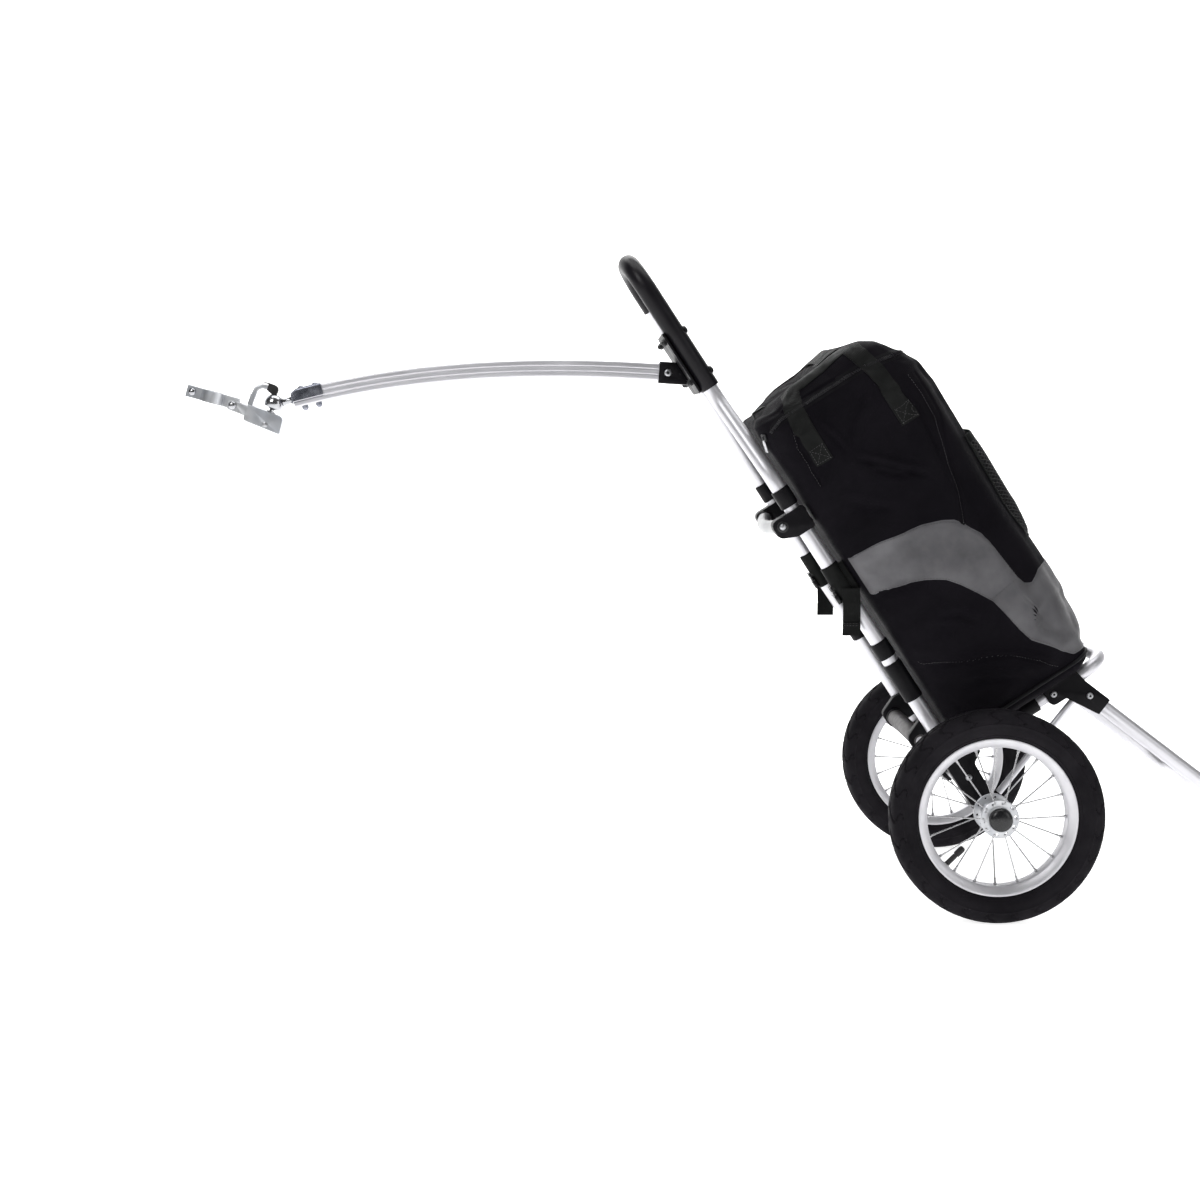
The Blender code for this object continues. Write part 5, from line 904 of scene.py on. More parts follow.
def rumpled(material, threads, thread_depth, rumple_depth, rumple_size=36.0):
    """The threads and, under them, the slight unevenness of cloth that has been folded."""
    folds = step(material, "TexNoise", {"noise_dimensions": "3D"},
                 Vector=place_of(material, (1.0, 1.0, 0.55)), Scale=rumple_size, Detail=5.0, Roughness=0.55,
                 Distortion=0.6)
    under = step(material, "Bump", Strength=0.8, Distance=rumple_depth, Height=folds.outputs[0])
    over = step(material, "Bump", Strength=0.7, Distance=thread_depth, Height=threads,
                Normal=under.outputs[0])
    drive(material, "Normal", over.outputs[0])


rumpled(coated_polyester, woven(coated_polyester, 0.0009), 0.00022, 0.0016)

to_cart = CART.inverted()
bag = skin("bag_shell", [[CART @ p for p in row] for row in bag_rows()], sharp=75.0)
SEAM_PINS = 0.6040
SWELL_FRAMES = 18
SWELL_INSET = 0.0030
SWELL_MOST = 0.0060
CLOTH = {"quality": 5, "mass": 0.25, "tension_stiffness": 12.0, "compression_stiffness": 12.0,
         "shear_stiffness": 6.0, "bending_stiffness": 0.6, "shrink_min": -0.02, "vertex_group_mass": "pins",
         "use_pressure": True, "uniform_pressure_force": 3.0}


def swell(obj):
    """Lets the cloth between its pinned parts swell, and keeps the result as the piece's own mesh."""
    mesh = obj.data
    start = [v.co.copy() for v in mesh.vertices]
    normals = [v.normal.copy() for v in mesh.vertices]
    pins = obj.vertex_groups.new(name="pins")
    for vertex, rest, normal in zip(mesh.vertices, start, normals):
        local = to_cart @ rest
        back = max(0.0, min(1.0, (0.040 - local.x) / 0.014))
        foot = max(0.0, min(1.0, (0.108 - local.z) / 0.010))
        seam = max(0.0, 1.0 - abs(local.z - SEAM_PINS) / 0.006) * 0.6
        pins.add([vertex.index], max(back, foot, seam), "REPLACE")
        vertex.co = rest - normal * SWELL_INSET * (1.0 - max(back, foot))
    cloth = obj.modifiers.new("cloth", "CLOTH")
    for setting, value in CLOTH.items():
        setattr(cloth.settings, setting, value)
    cloth.settings.effector_weights.gravity = 0.0
    cloth.collision_settings.use_collision = False
    scene = bpy.context.scene
    for number in range(1, SWELL_FRAMES + 1):
        scene.frame_set(number)
    settled = obj.evaluated_get(bpy.context.evaluated_depsgraph_get())
    swelled = [v.co.copy() for v in settled.data.vertices]
    obj.modifiers.clear()
    obj.vertex_groups.clear()
    scene.frame_set(1)
    for vertex, rest, moved in zip(mesh.vertices, start, swelled):
        shift = moved - rest
        vertex.co = rest + shift * min(1.0, SWELL_MOST / max(shift.length, 1e-9))


swell(bag)

smoother = bag.modifiers.new("refined", "SUBSURF")
smoother.levels = 1
smoother.render_levels = 1
applied(bag)

# Seams and creases are drawn into the cloth after it has swelled: where they run on a side, as (from the
# rails, up them), how wide and deep they are, and whether a ridge of cloth stands beside them.
SIDE_SEAM = ((0.243, 0.560), (0.242, 0.520), (0.240, 0.493), (0.224, 0.454), (0.2025, 0.393),
             (0.185, 0.3515))
LOWER_SEAM = ((0.022, 0.215), (0.034, 0.208), (0.077, 0.190), (0.117, 0.174), (0.143, 0.159), (0.172, 0.131),
              (0.192, 0.104))
LID_FOLD = ((0.055, 0.6120), (0.085, 0.6130), (0.139, 0.6115), (0.180, 0.6060), (0.200, 0.5900))
BACK_SEAM = ((0.050, 0.500), (0.0530, 0.560), (0.0615, 0.581), (0.067, 0.605))
SEAMS = ((SIDE_SEAM, 0.0040, 0.0030, 0.0), (LOWER_SEAM, 0.0060, 0.0032, 0.0022),
         (LID_FOLD, 0.0040, 0.0024, 0.0), (BACK_SEAM, 0.0035, 0.0022, 0.0))
NEAR_CREASES = ((((0.104, 0.507), (0.128, 0.485), (0.1525, 0.459), (0.182, 0.428)), 0.0085, 0.0046, 0.0034),
                (((0.118, 0.484), (0.138, 0.462), (0.158, 0.444)), 0.0090, 0.0030, 0.0020),
                (((0.186, 0.586), (0.155, 0.565), (0.128, 0.549), (0.110, 0.520)), 0.0100, 0.0030, 0.0022),
                (((0.090, 0.575), (0.098, 0.540), (0.102, 0.515)), 0.0070, 0.0022, 0.0016),
                (((0.205, 0.560), (0.215, 0.520), (0.212, 0.470), (0.205, 0.430)), 0.0085, 0.0026, 0.0022),
                (((0.060, 0.470), (0.085, 0.440), (0.120, 0.415)), 0.0140, 0.0018, 0.0010),
                (((0.080, 0.262), (0.110, 0.248), (0.128, 0.222)), 0.0120, 0.0024, 0.0016),
                (((0.060, 0.160), (0.095, 0.150), (0.130, 0.128)), 0.0120, 0.0028, 0.0020))
FAR_CREASES = ((((0.070, 0.520), (0.110, 0.500), (0.150, 0.470)), 0.0095, 0.0036, 0.0026),
               (((0.170, 0.560), (0.140, 0.540), (0.120, 0.505)), 0.0100, 0.0030, 0.0022),
               (((0.080, 0.430), (0.120, 0.410), (0.160, 0.400)), 0.0130, 0.0022, 0.0014),
               (((0.060, 0.270), (0.100, 0.250), (0.130, 0.215)), 0.0120, 0.0024, 0.0016))
FRONT_CREASES = ((((-0.110, 0.560), (-0.050, 0.535), (0.010, 0.548)), 0.0110, 0.0030, 0.0022),
                 (((0.120, 0.520), (0.070, 0.505), (0.030, 0.512)), 0.0100, 0.0024, 0.0018),
                 (((-0.060, 0.470), (0.000, 0.458), (0.060, 0.475)), 0.0120, 0.0024, 0.0014),
                 (((-0.120, 0.180), (-0.040, 0.165), (0.060, 0.172), (0.120, 0.150)), 0.0140, 0.0026,
                  0.0018))


def carve(places, lines, across, along, reach):
    """How far each place moves inwards: into each line, with its ridge raised on the side away from the
    bag's foot."""
    moved = numpy.zeros(len(places))
    for line, width, depth, ridge in lines:
        nearest = numpy.full(len(places), 1e9)
        side = numpy.zeros(len(places))
        share = numpy.zeros(len(places))
        lengths = [math.dist(a, b) for a, b in zip(line, line[1:])]
        total = sum(lengths)
        run = 0.0
        for (x1, z1), (x2, z2), length in zip(line, line[1:], lengths):
            dx = places[:, across] - x1
            dz = places[:, along] - z1
            t = numpy.clip((dx * (x2 - x1) + dz * (z2 - z1)) / length ** 2, 0.0, 1.0)
            off = numpy.hypot(dx - t * (x2 - x1), dz - t * (z2 - z1))
            sign = numpy.sign(dz * (x2 - x1) - dx * (z2 - z1))
            closer = off < nearest
            nearest = numpy.where(closer, off, nearest)
            side = numpy.where(closer, sign, side)
            share = numpy.where(closer, (run + t * length) / total, share)
            run += length
        fade = numpy.clip(numpy.minimum(share, 1.0 - share) / 0.22, 0.0, 1.0) if ridge else 1.0
        groove = numpy.exp(-(nearest / (width * 0.42)) ** 2)
        beside = numpy.exp(-((nearest * side - width * 0.85) / (width * 0.55)) ** 2)
        moved += (depth * groove - ridge * beside) * fade
    return moved * reach


def crease_bag(obj):
    mesh = obj.data
    count = len(mesh.vertices)
    flat = numpy.empty(count * 3)
    mesh.vertices.foreach_get("co", flat)
    world = flat.reshape(count, 3)
    turn = numpy.array(to_cart)
    places = world @ turn[:3, :3].T + turn[:3, 3]
    back_turn = numpy.array(CART)[:3, :3]
    half = numpy.array([bag_section(z)[3] for z in places[:, 2]])
    sideness = numpy.clip((numpy.abs(places[:, 1]) - (half - 0.034)) / 0.018, 0.0, 1.0)
    near = numpy.where(places[:, 1] < 0, sideness, 0.0)
    far = numpy.where(places[:, 1] > 0, sideness, 0.0)
    front = numpy.clip((places[:, 0] - 0.222) / 0.018, 0.0, 1.0)
    low = numpy.clip((places[:, 2] - 0.100) / 0.010, 0.0, 1.0)
    inward = carve(places, SEAMS, 0, 2, near + far)
    inward += carve(places, NEAR_CREASES, 0, 2, near)
    inward += carve(places, FAR_CREASES, 0, 2, far)
    frontward = carve(places, FRONT_CREASES, 1, 2, front * (1.0 - 0.5 * sideness))
    places[:, 1] -= numpy.sign(places[:, 1]) * inward * low
    places[:, 0] -= frontward * low
    origin = numpy.array(CART)[:3, 3]
    moved = places @ back_turn.T + origin
    mesh.vertices.foreach_set("co", moved.reshape(-1))
    mesh.update()


crease_bag(bag)
dress(bag, "frame", "bag_fabric", coated_polyester, "bag_body")
bag_tree = BVHTree.FromObject(bag, bpy.context.evaluated_depsgraph_get())


def on_bag(place, lift=0.0):
    """The spot on the finished bag nearest to a place in the cart's frame, raised by lift, and the way out
    there."""
    found, normal, index, distance = bag_tree.find_nearest(CART @ Vector(place))
    return found + normal * lift, normal


def hull_place(run, height):
    """A place on the bag's hull: run metres round it from the back corner of the near side, at a height."""
    back, front, half, corner = bag_section(height)[1:5]
    straight = front - corner - back
    arc = corner * math.pi / 2
    face = 2 * (half - corner)
    whole = 2 * straight + 2 * arc + face
    beyond = run > whole / 2
    run = whole - run if beyond else run
    if run < straight:
        x, y = back + run, -half
    elif run < straight + arc:
        turn = (run - straight) / corner
        x, y = front - corner + corner * math.sin(turn), -half + corner - corner * math.cos(turn)
    else:
        x, y = front, corner - half + run - straight - arc
    return (x, -y if beyond else y, height)


def draped_strip(name, rows, thick, sink=0.0006, edge=0.35):
    """A closed flat piece on the bag: rows of places across it are laid on the cloth, and it has a real
    thickness."""
    rings = []
    for row in rows:
        top = []
        under = []
        for index, place in enumerate(row):
            rim = edge if index in (0, len(row) - 1) else 1.0
            top.append(on_bag(place, thick * rim)[0])
            under.append(on_bag(place, -sink)[0])
        rings.append(top + under[::-1])
    return skin(name, rings, sharp=50.0)


def between(line, run):
    """The height of a line of (run, height) at a run."""
    for (a, low), (b, high) in zip(line, line[1:]):
        if run <= b:
            share = (run - a) / (b - a)
            share = share * share * (3 - 2 * share) if abs(high - low) > 0.03 else share
            return low + (high - low) * share
    return line[-1][1]


# Reflective band
# A wide strip of grey glass-bead cloth sewn across both sides and down round the front, with a row of
# stitches by each edge. It is one layer of coated cloth on top of the bag's own.

BAND_TOP = ((0.0, 0.392), (0.055, 0.390), (0.115, 0.380), (0.142, 0.370), (0.157, 0.361), (0.163, 0.351),
            (0.174, 0.330), (0.178, 0.310), (0.182, 0.279), (0.1845, 0.2505), (0.190, 0.236), (0.202, 0.229),
            (0.2276, 0.238), (0.2627, 0.236), (0.380, 0.236))
BAND_LOW = ((0.0, 0.331), (0.025, 0.328), (0.060, 0.320), (0.0885, 0.307), (0.103, 0.297), (0.116, 0.280),
            (0.128, 0.260), (0.140, 0.238), (0.147, 0.205), (0.150, 0.184), (0.1555, 0.164), (0.173, 0.143),
            (0.184, 0.126), (0.198, 0.112), (0.225, 0.108), (0.380, 0.108))
BAND_RUN = 0.7550
grey_reflex = made_of("grey_reflex", (22.0, 5.0, (0.066, 0.064, 0.070), (0.122, 0.120, 0.128)),
                      (60.0, 4.0, 0.36, 0.52), None, 0.35, Sheen_Weight=0.1)
rumpled(grey_reflex, woven(grey_reflex, 0.0007), 0.00012, 0.0012, 30.0)


def band_place(run, share):
    folded = min(run, BAND_RUN - run)
    low = between(BAND_LOW, folded)
    return hull_place(run, low + (between(BAND_TOP, folded) - low) * share)


BAND_STATIONS = 250
BAND_TURN_IN = 0.018
BAND_THICK = 0.0009
ON_BAND = 0.0011
band_rows = []
for i in range(BAND_STATIONS + 1):
    run = (BAND_RUN + 2 * BAND_TURN_IN) * i / BAND_STATIONS - BAND_TURN_IN
    band_rows.append([band_place(run, j / 30.0) for j in range(31)])
band = draped_strip("reflective_band", band_rows, BAND_THICK)
dress(band, "frame", "webbing", grey_reflex)

# Sewing thread
# Bonded polyester thread in lockstitches 3 mm long. Geometry Nodes set one short rounded stitch at each
# point of a seam.

polyester_thread = made_of("polyester_thread",
                           (50.0, 2.0, (0.0120, 0.0115, 0.0135), (0.0240, 0.0230, 0.0260)), 0.50,
                           Sheen_Weight=0.3)
thread_twist = step(polyester_thread, "TexWave", {"wave_type": "BANDS", "bands_direction": "DIAGONAL"},
                    Vector=place_of(polyester_thread), Scale=700.0)
relief(polyester_thread, thread_twist.outputs[1], 0.00008, 0.6)
stitch_shape = pattern_piece("one_stitch", ((0.0, -0.5), (0.42, -0.34), (0.5, 0.0), (0.42, 0.34),
                                            (0.0, 0.5)), 6)
STITCH_LENGTH = 0.0030
STITCH_PITCH = 0.0042
THREAD_THICK = 0.0007


def stitches_along(path):
    """Stitch places along a row of (point, way out) pairs. Each stitch's Z runs with the row."""
    places = []
    carried = 0.0
    for (a, out), (b, after) in zip(path, path[1:]):
        length = (b - a).length
        while carried < length:
            places.append((a.lerp(b, carried / length), (b - a).normalized(), out))
            carried += STITCH_PITCH
        carried -= length
    return places


def sewn(name, rows):
    """All the stitches of one piece of the object."""
    places = [place for row in rows for place in stitches_along(row)]
    size = (THREAD_THICK, THREAD_THICK, STITCH_LENGTH)
    return set_out(name, places, stitch_shape, size, polyester_thread, "frame", "webbing")


def dense(line, cell=0.002):
    """A line of places, filled in so that no two are more than a cell apart."""
    filled = []
    for a, b in zip(line, line[1:]):
        a = Vector(a)
        b = Vector(b)
        parts = max(1, round((b - a).length / cell))
        filled += [a.lerp(b, k / parts) for k in range(parts)]
    filled.append(Vector(line[-1]))
    return filled


def bag_row(line, lift):
    return [on_bag(place, lift) for place in dense(line)]


band_edges = []
for share in (0.022, 0.978):
    band_edges.append([on_bag(band_place(BAND_RUN * i / 400.0, share), ON_BAND) for i in range(2, 399)])
BAND_SEAM_LINE = ((0.1600, 0.241), (0.200, 0.2465))
for sign in (-1, 1):
    band_edges.append(bag_row([(x, sign * BAG_SIDE, z) for x, z in BAND_SEAM_LINE], ON_BAND))
    for seam in (SIDE_SEAM, LOWER_SEAM, BACK_SEAM):
        beside = [(x - 0.0045, sign * BAG_SIDE, z + (0.004 if seam is LOWER_SEAM else 0.0)) for x, z in seam]
        band_edges.append(bag_row(beside, 0.0002))
sewn("bag_stitches", band_edges)

# Carry handle and webbing
# Polypropylene webbing, woven in ribs: two ends are sewn down each side with a box of stitches, run up over
# the lid's edge, and a slack loop stands up between them on the lid.

webbing_finish = made_of("ribbed_webbing", (40.0, 4.0, (0.0048, 0.0051, 0.0050), (0.0098, 0.0103, 0.0100)),
                         (90.0, 3.0, 0.46, 0.66), Specular_IOR_Level=0.10)
webbing_height = step(webbing_finish, "Math", {"operation": "MULTIPLY_ADD"},
                      i0=bands(webbing_finish, "X", 0.0022), i1=0.5, i2=bands(webbing_finish, "Y", 0.0016))
relief(webbing_finish, webbing_height.outputs[0], 0.00035, 0.8)
WEBBING_THICK = 0.0018
ON_WEBBING = WEBBING_THICK + 0.0001


def webbing_on_bag(name, line, width, sign):
    """Webbing laid on the cloth along a line of places on a side."""
    rows = []
    places = dense(line, 0.003)
    for index, place in enumerate(places):
        over_edge = max(0.0, min(1.0, (place.z - 0.612) / 0.016))
        out = Vector((0.0, sign, 0.0)).lerp(Vector((0.0, 0.0, 1.0)), over_edge)
        across = heading(places, index).cross(out).normalized()
        rows.append([place + across * width * (k / 10.0 - 0.5) for k in range(11)])
    return draped_strip(name, rows, WEBBING_THICK, edge=0.75)


def stitch_box(left, right, low, high, steps, place):
    """Rows of stitches round a box on the webbing and from corner to corner across it."""
    corners = ((left, low), (right, low), (right, high), (left, high))
    rows = []
    for first, second in ((0, 1), (1, 2), (2, 3), (3, 0), (0, 2), (1, 3)):
        a, b = corners[first]
        c, d = corners[second]
        rows.append([on_bag(place(a + (c - a) * k / steps, b + (d - b) * k / steps), ON_WEBBING)
                     for k in range(steps + 1)])
    return rows


box_rows = []
for side, sign in (("near", -1), ("far", 1)):
    for label, x, low, width in (("back", 0.070, 0.523, 0.027), ("front", 0.197, 0.508, 0.025)):
        line = [(x, sign * BAG_SIDE, low), (x, sign * BAG_SIDE, 0.590),
                (x * 0.94 + 0.0084, sign * 0.155, 0.608), (x * 0.86 + 0.0196, sign * 0.140, 0.624),
                (x * 0.78 + 0.0308, sign * 0.112, 0.630)]
        strap = webbing_on_bag("handle_end_" + label + "_" + side, line, width, sign)
        dress(strap, "frame", "webbing", webbing_finish)
        half = width / 2 - 0.003
        box_rows += stitch_box(x - half, x + half, low + 0.003, low + 0.024, 12,
                               lambda u, v: (u, sign * BAG_SIDE, v))
sewn("handle_stitches", box_rows)


def webbing_between(name, line, across, thick=WEBBING_THICK, flat=8):
    """A free length of webbing: its own cross-section is carried along a line. across is half its width, as
    a vector."""
    rings = []
    for index, place in enumerate(line):
        half = across[index] if isinstance(across, list) else across
        out = heading(line, index).cross(half).normalized() * thick / 2
        upper = [place + half * (2.0 * k / flat - 1.0) + out * (0.5 if k in (0, flat) else 1.0)
                 for k in range(flat + 1)]
        lower = [place + half * (2.0 * k / flat - 1.0) - out * (0.5 if k in (0, flat) else 1.0)
                 for k in range(flat + 1)]
        rings.append([CART @ p for p in upper + lower[::-1]])
    return skin(name, rings, sharp=50.0)


LOOP_AT = 0.158
LOOP_HALF = 0.070
LOOP_RISE = 0.0130
LID_RISE = BAG_SHAPE[-1][5]
lid_height = BAG_TOP + LID_RISE * (LOOP_AT - BAG_MIDDLE) / (BAG_MIDDLE - BAG_BACK)
loop_line = []
pinch = []
for index in range(41):
    turn = math.pi * index / 40
    rise = lid_height + 0.0004 + (LOOP_RISE - 0.0018) * math.sin(turn) ** 0.6
    loop_line.append(Vector((LOOP_AT, -math.cos(turn) * LOOP_HALF, rise)))
    share = abs(2.0 * index / 40 - 1.0)
    pinch.append(Vector((0.019 * (0.72 + 0.28 * share ** 2), 0.0, 0.003 * (1.0 - share ** 2))))
carry_loop = webbing_between("carry_loop", loop_line, pinch)
dress(carry_loop, "frame", "webbing", webbing_finish, "bag_loop")
lid_rows = []
for side, sign in (("near", -1), ("far", 1)):
    end_line = [(LOOP_AT, sign * 0.0660, lid_height), (LOOP_AT, sign * 0.098, lid_height)]
    dress(webbing_on_bag("loop_end_" + side, end_line, 0.038, sign), "frame", "webbing", webbing_finish)
    lid_rows += stitch_box(0.143, 0.173, 0.074, 0.094, 10, lambda u, v: (u, sign * v, lid_height))
    edge_line = [(0.078, sign * 0.122, 0.627), (0.110, sign * 0.122, 0.630), (0.150, sign * 0.121, 0.634),
                 (0.188, sign * 0.118, 0.638)]
    dress(webbing_on_bag("handle_strip_" + side, edge_line, 0.030, sign), "frame", "webbing", webbing_finish)
sewn("loop_stitches", lid_rows)

# Zip, tab and piping
# A coil zip on its tape runs round three sides under the lid's edge to a zinc slider at the near back
# corner. A webbing tab stands at the back of the lid, and corded piping closes the bottom edge.

zip_tape = made_of("zip_tape", (50.0, 3.0, (0.0042, 0.0039, 0.0050), (0.0084, 0.0078, 0.0094)), 0.62,
                   Specular_IOR_Level=0.06)
rumpled(zip_tape, woven(zip_tape, 0.0008), 0.00015, 0.0004, 60.0)
coil_nylon = made_of("coil_nylon", (90.0, 3.0, (0.0120, 0.0115, 0.0140), (0.0260, 0.0250, 0.0280)), 0.34,
                     Specular_IOR_Level=0.2)
ZIP_RUN = 0.7550
ZIP_WIDTH = 0.0135
ZIP_LINE = ((0.0, 0.594), (0.012, 0.602), (0.030, 0.606), (0.055, 0.607), (0.160, 0.606), (0.215, 0.596),
            (0.265, 0.590), (0.380, 0.590))


def zip_place(run, lift):
    return on_bag(hull_place(run, between(ZIP_LINE, min(run, ZIP_RUN - run))), lift)


zip_rows = []
for index in range(221):
    run = 0.002 + (ZIP_RUN - 0.004) * index / 220.0
    height = between(ZIP_LINE, min(run, ZIP_RUN - run))
    zip_rows.append([hull_place(run, height + ZIP_WIDTH * (k / 6.0 - 0.5)) for k in range(7)])
dress(draped_strip("zip_tape_strip", zip_rows, 0.0007), "frame", "bag_fabric", zip_tape)
coil_shape = pattern_piece("zip_coil", ((0.0, -0.5), (0.40, -0.46), (0.5, -0.2), (0.5, 0.2), (0.40, 0.46),
                                        (0.0, 0.5)), 6)
coil_places = []
for index in range(430):
    run = 0.006 + (ZIP_RUN - 0.012) * index / 429.0
    spot, out = zip_place(run, 0.0012)
    following = zip_place(run + 0.001, 0.0012)[0]
    along = (following - spot).normalized()
    coil_places.append((spot, out.cross(along).normalized(), out))
set_out("zip_coils", coil_places, coil_shape, (0.0015, 0.0012, 0.0052), coil_nylon, "frame", "black_plastic")


def eased_boxes(name, boxes, matrix, edge):
    """Blocks with rounded edges, each given by its lowest and highest corner, in one mesh."""
    whole = bmesh.new()
    for low, high in boxes:
        one = bmesh.new()
        middle = [(a + b) / 2 for a, b in zip(low, high)]
        size = [abs(b - a) for a, b in zip(low, high)]
        place = matrix @ Matrix.Translation(middle) @ Matrix.Diagonal((*size, 1.0))
        bmesh.ops.create_cube(one, size=1.0, matrix=place)
        bmesh.ops.bevel(one, geom=one.edges, offset=edge, segments=2, affect="EDGES", profile=0.5)
        part = bpy.data.meshes.new("part")
        one.to_mesh(part)
        one.free()
        whole.from_mesh(part)
        bpy.data.meshes.remove(part)
    bmesh.ops.recalc_face_normals(whole, faces=whole.faces)
    return put(name, whole, 34.0)


slider_spot, slider_out = on_bag((0.012, -0.140, 0.596), 0.0026)
zip_way = Vector((0.25, 0.0, 1.0))
slider_ahead = (zip_way - slider_out * slider_out.dot(zip_way)).normalized()
slider_across = slider_out.cross(slider_ahead).normalized()
slider_seat = Matrix((slider_ahead, slider_across, slider_ahead.cross(slider_across))).transposed().to_4x4()
slider_seat.translation = slider_spot
SLIDER_BOXES = (((-0.0050, -0.0042, -0.0016), (0.0050, 0.0042, 0.0016)),
                ((-0.0030, -0.0012, 0.0012), (0.0030, 0.0012, 0.0036)))
slider = eased_boxes("zip_slider", SLIDER_BOXES, slider_seat, 0.0006)
dress(slider, "frame", "dark_steel", black_oxide)
pull_spot = slider_spot + slider_out * 0.0022 - slider_ahead * 0.002
pull_seat = Matrix.Translation(pull_spot) @ slider_seat.to_3x3().to_4x4()
PULL_BOXES = (((-0.0200, -0.0026, -0.0007), (-0.0040, 0.0026, 0.0007)),
              ((-0.0050, -0.0016, -0.0008), (0.0000, 0.0016, 0.0008)))
pull = eased_boxes("zip_pull", PULL_BOXES, pull_seat, 0.0005)
dress(pull, "frame", "zinc_plate", zinc_plate)

tab_foot = to_cart @ on_bag((0.040, -0.040, 0.626))[0]
TAB_BENDS = ((0.0110, -0.0030), (0.0105, 0.0070), (-0.0085, 0.0070), (-0.0110, -0.0050))
tab_line = rounded_path([tab_foot + Vector((x, 0.0, z)) for x, z in TAB_BENDS], 0.0030, 6)
lid_tab = webbing_between("lid_tab", tab_line, Vector((0.0, 0.011, 0.0)), 0.0026)
dress(lid_tab, "frame", "webbing", webbing_finish)

piping_cloth = made_of("piping_cloth", (60.0, 3.0, (0.0045, 0.0045, 0.0052), (0.0100, 0.0100, 0.0112)), 0.55,
                       (1100.0, 2.0, 0.00012, 0.5), Specular_IOR_Level=0.12)
piping_line = [on_bag(hull_place(0.02 + (BAND_RUN - 0.045) * i / 240.0, 0.1025), 0.0010)[0]
               for i in range(241)]
dress(pipe("bottom_piping", piping_line, 0.0023, 12), "frame", "webbing", piping_cloth)

# Net pocket
# An elastic net sewn on the front panel with binding tape round three sides, and a hem of wide elastic at
# its mouth. Geometry Nodes run a round cord along each zigzag of the net, so its holes are real.

NET_LOW = 0.280
NET_HIGH = 0.440
NET_HALF = 0.112
NET_STEP = 0.0031


def net_place(y, z):
    """A place on the net: it stands off the front panel, most in its middle."""
    origin = CART @ Vector((0.36, y, z))
    found = bag_tree.ray_cast(origin, cart_out @ Vector((-1.0, 0.0, 0.0)))[0]
    surface = (to_cart @ found).x
    sideways = (1.0 - (abs(y) / NET_HALF) ** 5) ** 0.7 if abs(y) < NET_HALF else 0.0
    upwards = min(1.0, max(0.0, (z - NET_LOW) / 0.045)) ** 0.5
    upwards *= 1.0 - 0.25 * max(0.0, (z - 0.40) / 0.04) ** 2
    return Vector((surface + 0.0012 + 0.0135 * sideways * upwards, y, z))


net_verts = []
net_edges = []
columns = round(2 * NET_HALF / NET_STEP / 2)
rows_up = round((NET_HIGH - NET_LOW) / NET_STEP)
for column in range(columns + 1):
    for lean in (1, -1):
        first = len(net_verts)
        for row in range(rows_up + 1):
            y = -NET_HALF + 2 * column * NET_STEP + lean * (row % 2) * NET_STEP
            y = max(-NET_HALF, min(NET_HALF, y))
            z = NET_LOW + row * NET_STEP
            net_verts.append(CART @ net_place(y, z))
        net_edges += [(first + k, first + k + 1) for k in range(rows_up)]
net_lines = bpy.data.meshes.new("net_lines")
net_lines.from_pydata(net_verts, net_edges, [])
net_cord = made_of("net_cord", (60.0, 3.0, (0.0075, 0.0072, 0.0086), (0.0160, 0.0154, 0.0174)), 0.50,
                   (1500.0, 2.0, 0.00010, 0.5), Sheen_Weight=0.2)
net = grown("pocket_net", WIRE_TREE, net_lines, 60.0, Radius=0.00085, Sides=5, Finish=net_cord)
dress(net, "frame", "bag_fabric", net_cord, "bag_pocket")


def tape_rows(line, width, out_of):
    rows = []
    spots = [Vector(place) for place in line]
    for index, (y, z) in enumerate(line):
        ahead = heading(spots, index).normalized()
        side = Vector((-ahead.y, ahead.x)) * width
        rows.append([out_of(y + side.x * (k / 6.0 - 0.5), z + side.y * (k / 6.0 - 0.5)) for k in range(7)])
    return rows


def flat_outline(points, cell=0.003):
    filled = []
    for (y1, z1), (y2, z2) in zip(points, points[1:]):
        parts = max(1, round(math.hypot(y2 - y1, z2 - z1) / cell))
        filled += [(y1 + (y2 - y1) * k / parts, z1 + (z2 - z1) * k / parts) for k in range(parts)]
    return filled + [points[-1]]


border = [(-NET_HALF, 0.444), (-NET_HALF, 0.300), (-0.108, 0.287), (-0.098, 0.279), (0.098, 0.279),
          (0.108, 0.287), (NET_HALF, 0.300), (NET_HALF, 0.444)]
binding_rows = tape_rows(flat_outline(border), 0.0085, lambda y, z: (0.2560, y, z))
dress(draped_strip("pocket_binding", binding_rows, 0.0017, edge=0.6), "frame", "webbing", webbing_finish)
hem_line = [net_place(-NET_HALF + 2 * NET_HALF * k / 80.0, NET_HIGH - 0.002) for k in range(81)]
hem = webbing_between("pocket_hem", hem_line, Vector((0.0, 0.0, 0.0065)), 0.0024, 6)
dress(hem, "frame", "webbing", webbing_finish)

# Straps
# Two cinch straps of the same webbing wrap the rails to hold the bag. Each has a side-release buckle behind
# its rail, and its free end, folded over and sewn, hangs straight down.

STRAP_LOW = 0.340
STRAP_HIGH = 0.396
WRAP_ROWS = 48
WRAP_RADIUS = 0.0131
BUCKLE_BACK = -0.0124
BUCKLE_BOXES = (((-0.0058, -0.0110, 0.0022), (0.0, 0.0110, 0.0150)),
                ((-0.0048, -0.0104, 0.0158), (-0.0004, 0.0104, 0.0212)),
                ((-0.0044, -0.0110, 0.0205), (-0.0010, -0.0078, 0.0290)),
                ((-0.0044, 0.0078, 0.0205), (-0.0010, 0.0110, 0.0290)),
                ((-0.0040, -0.0100, 0.0262), (-0.0012, 0.0100, 0.0290)))
BAR_BOX = (((-0.0066, -0.0112, 0.0152), (-0.0044, 0.0112, 0.0160)),)


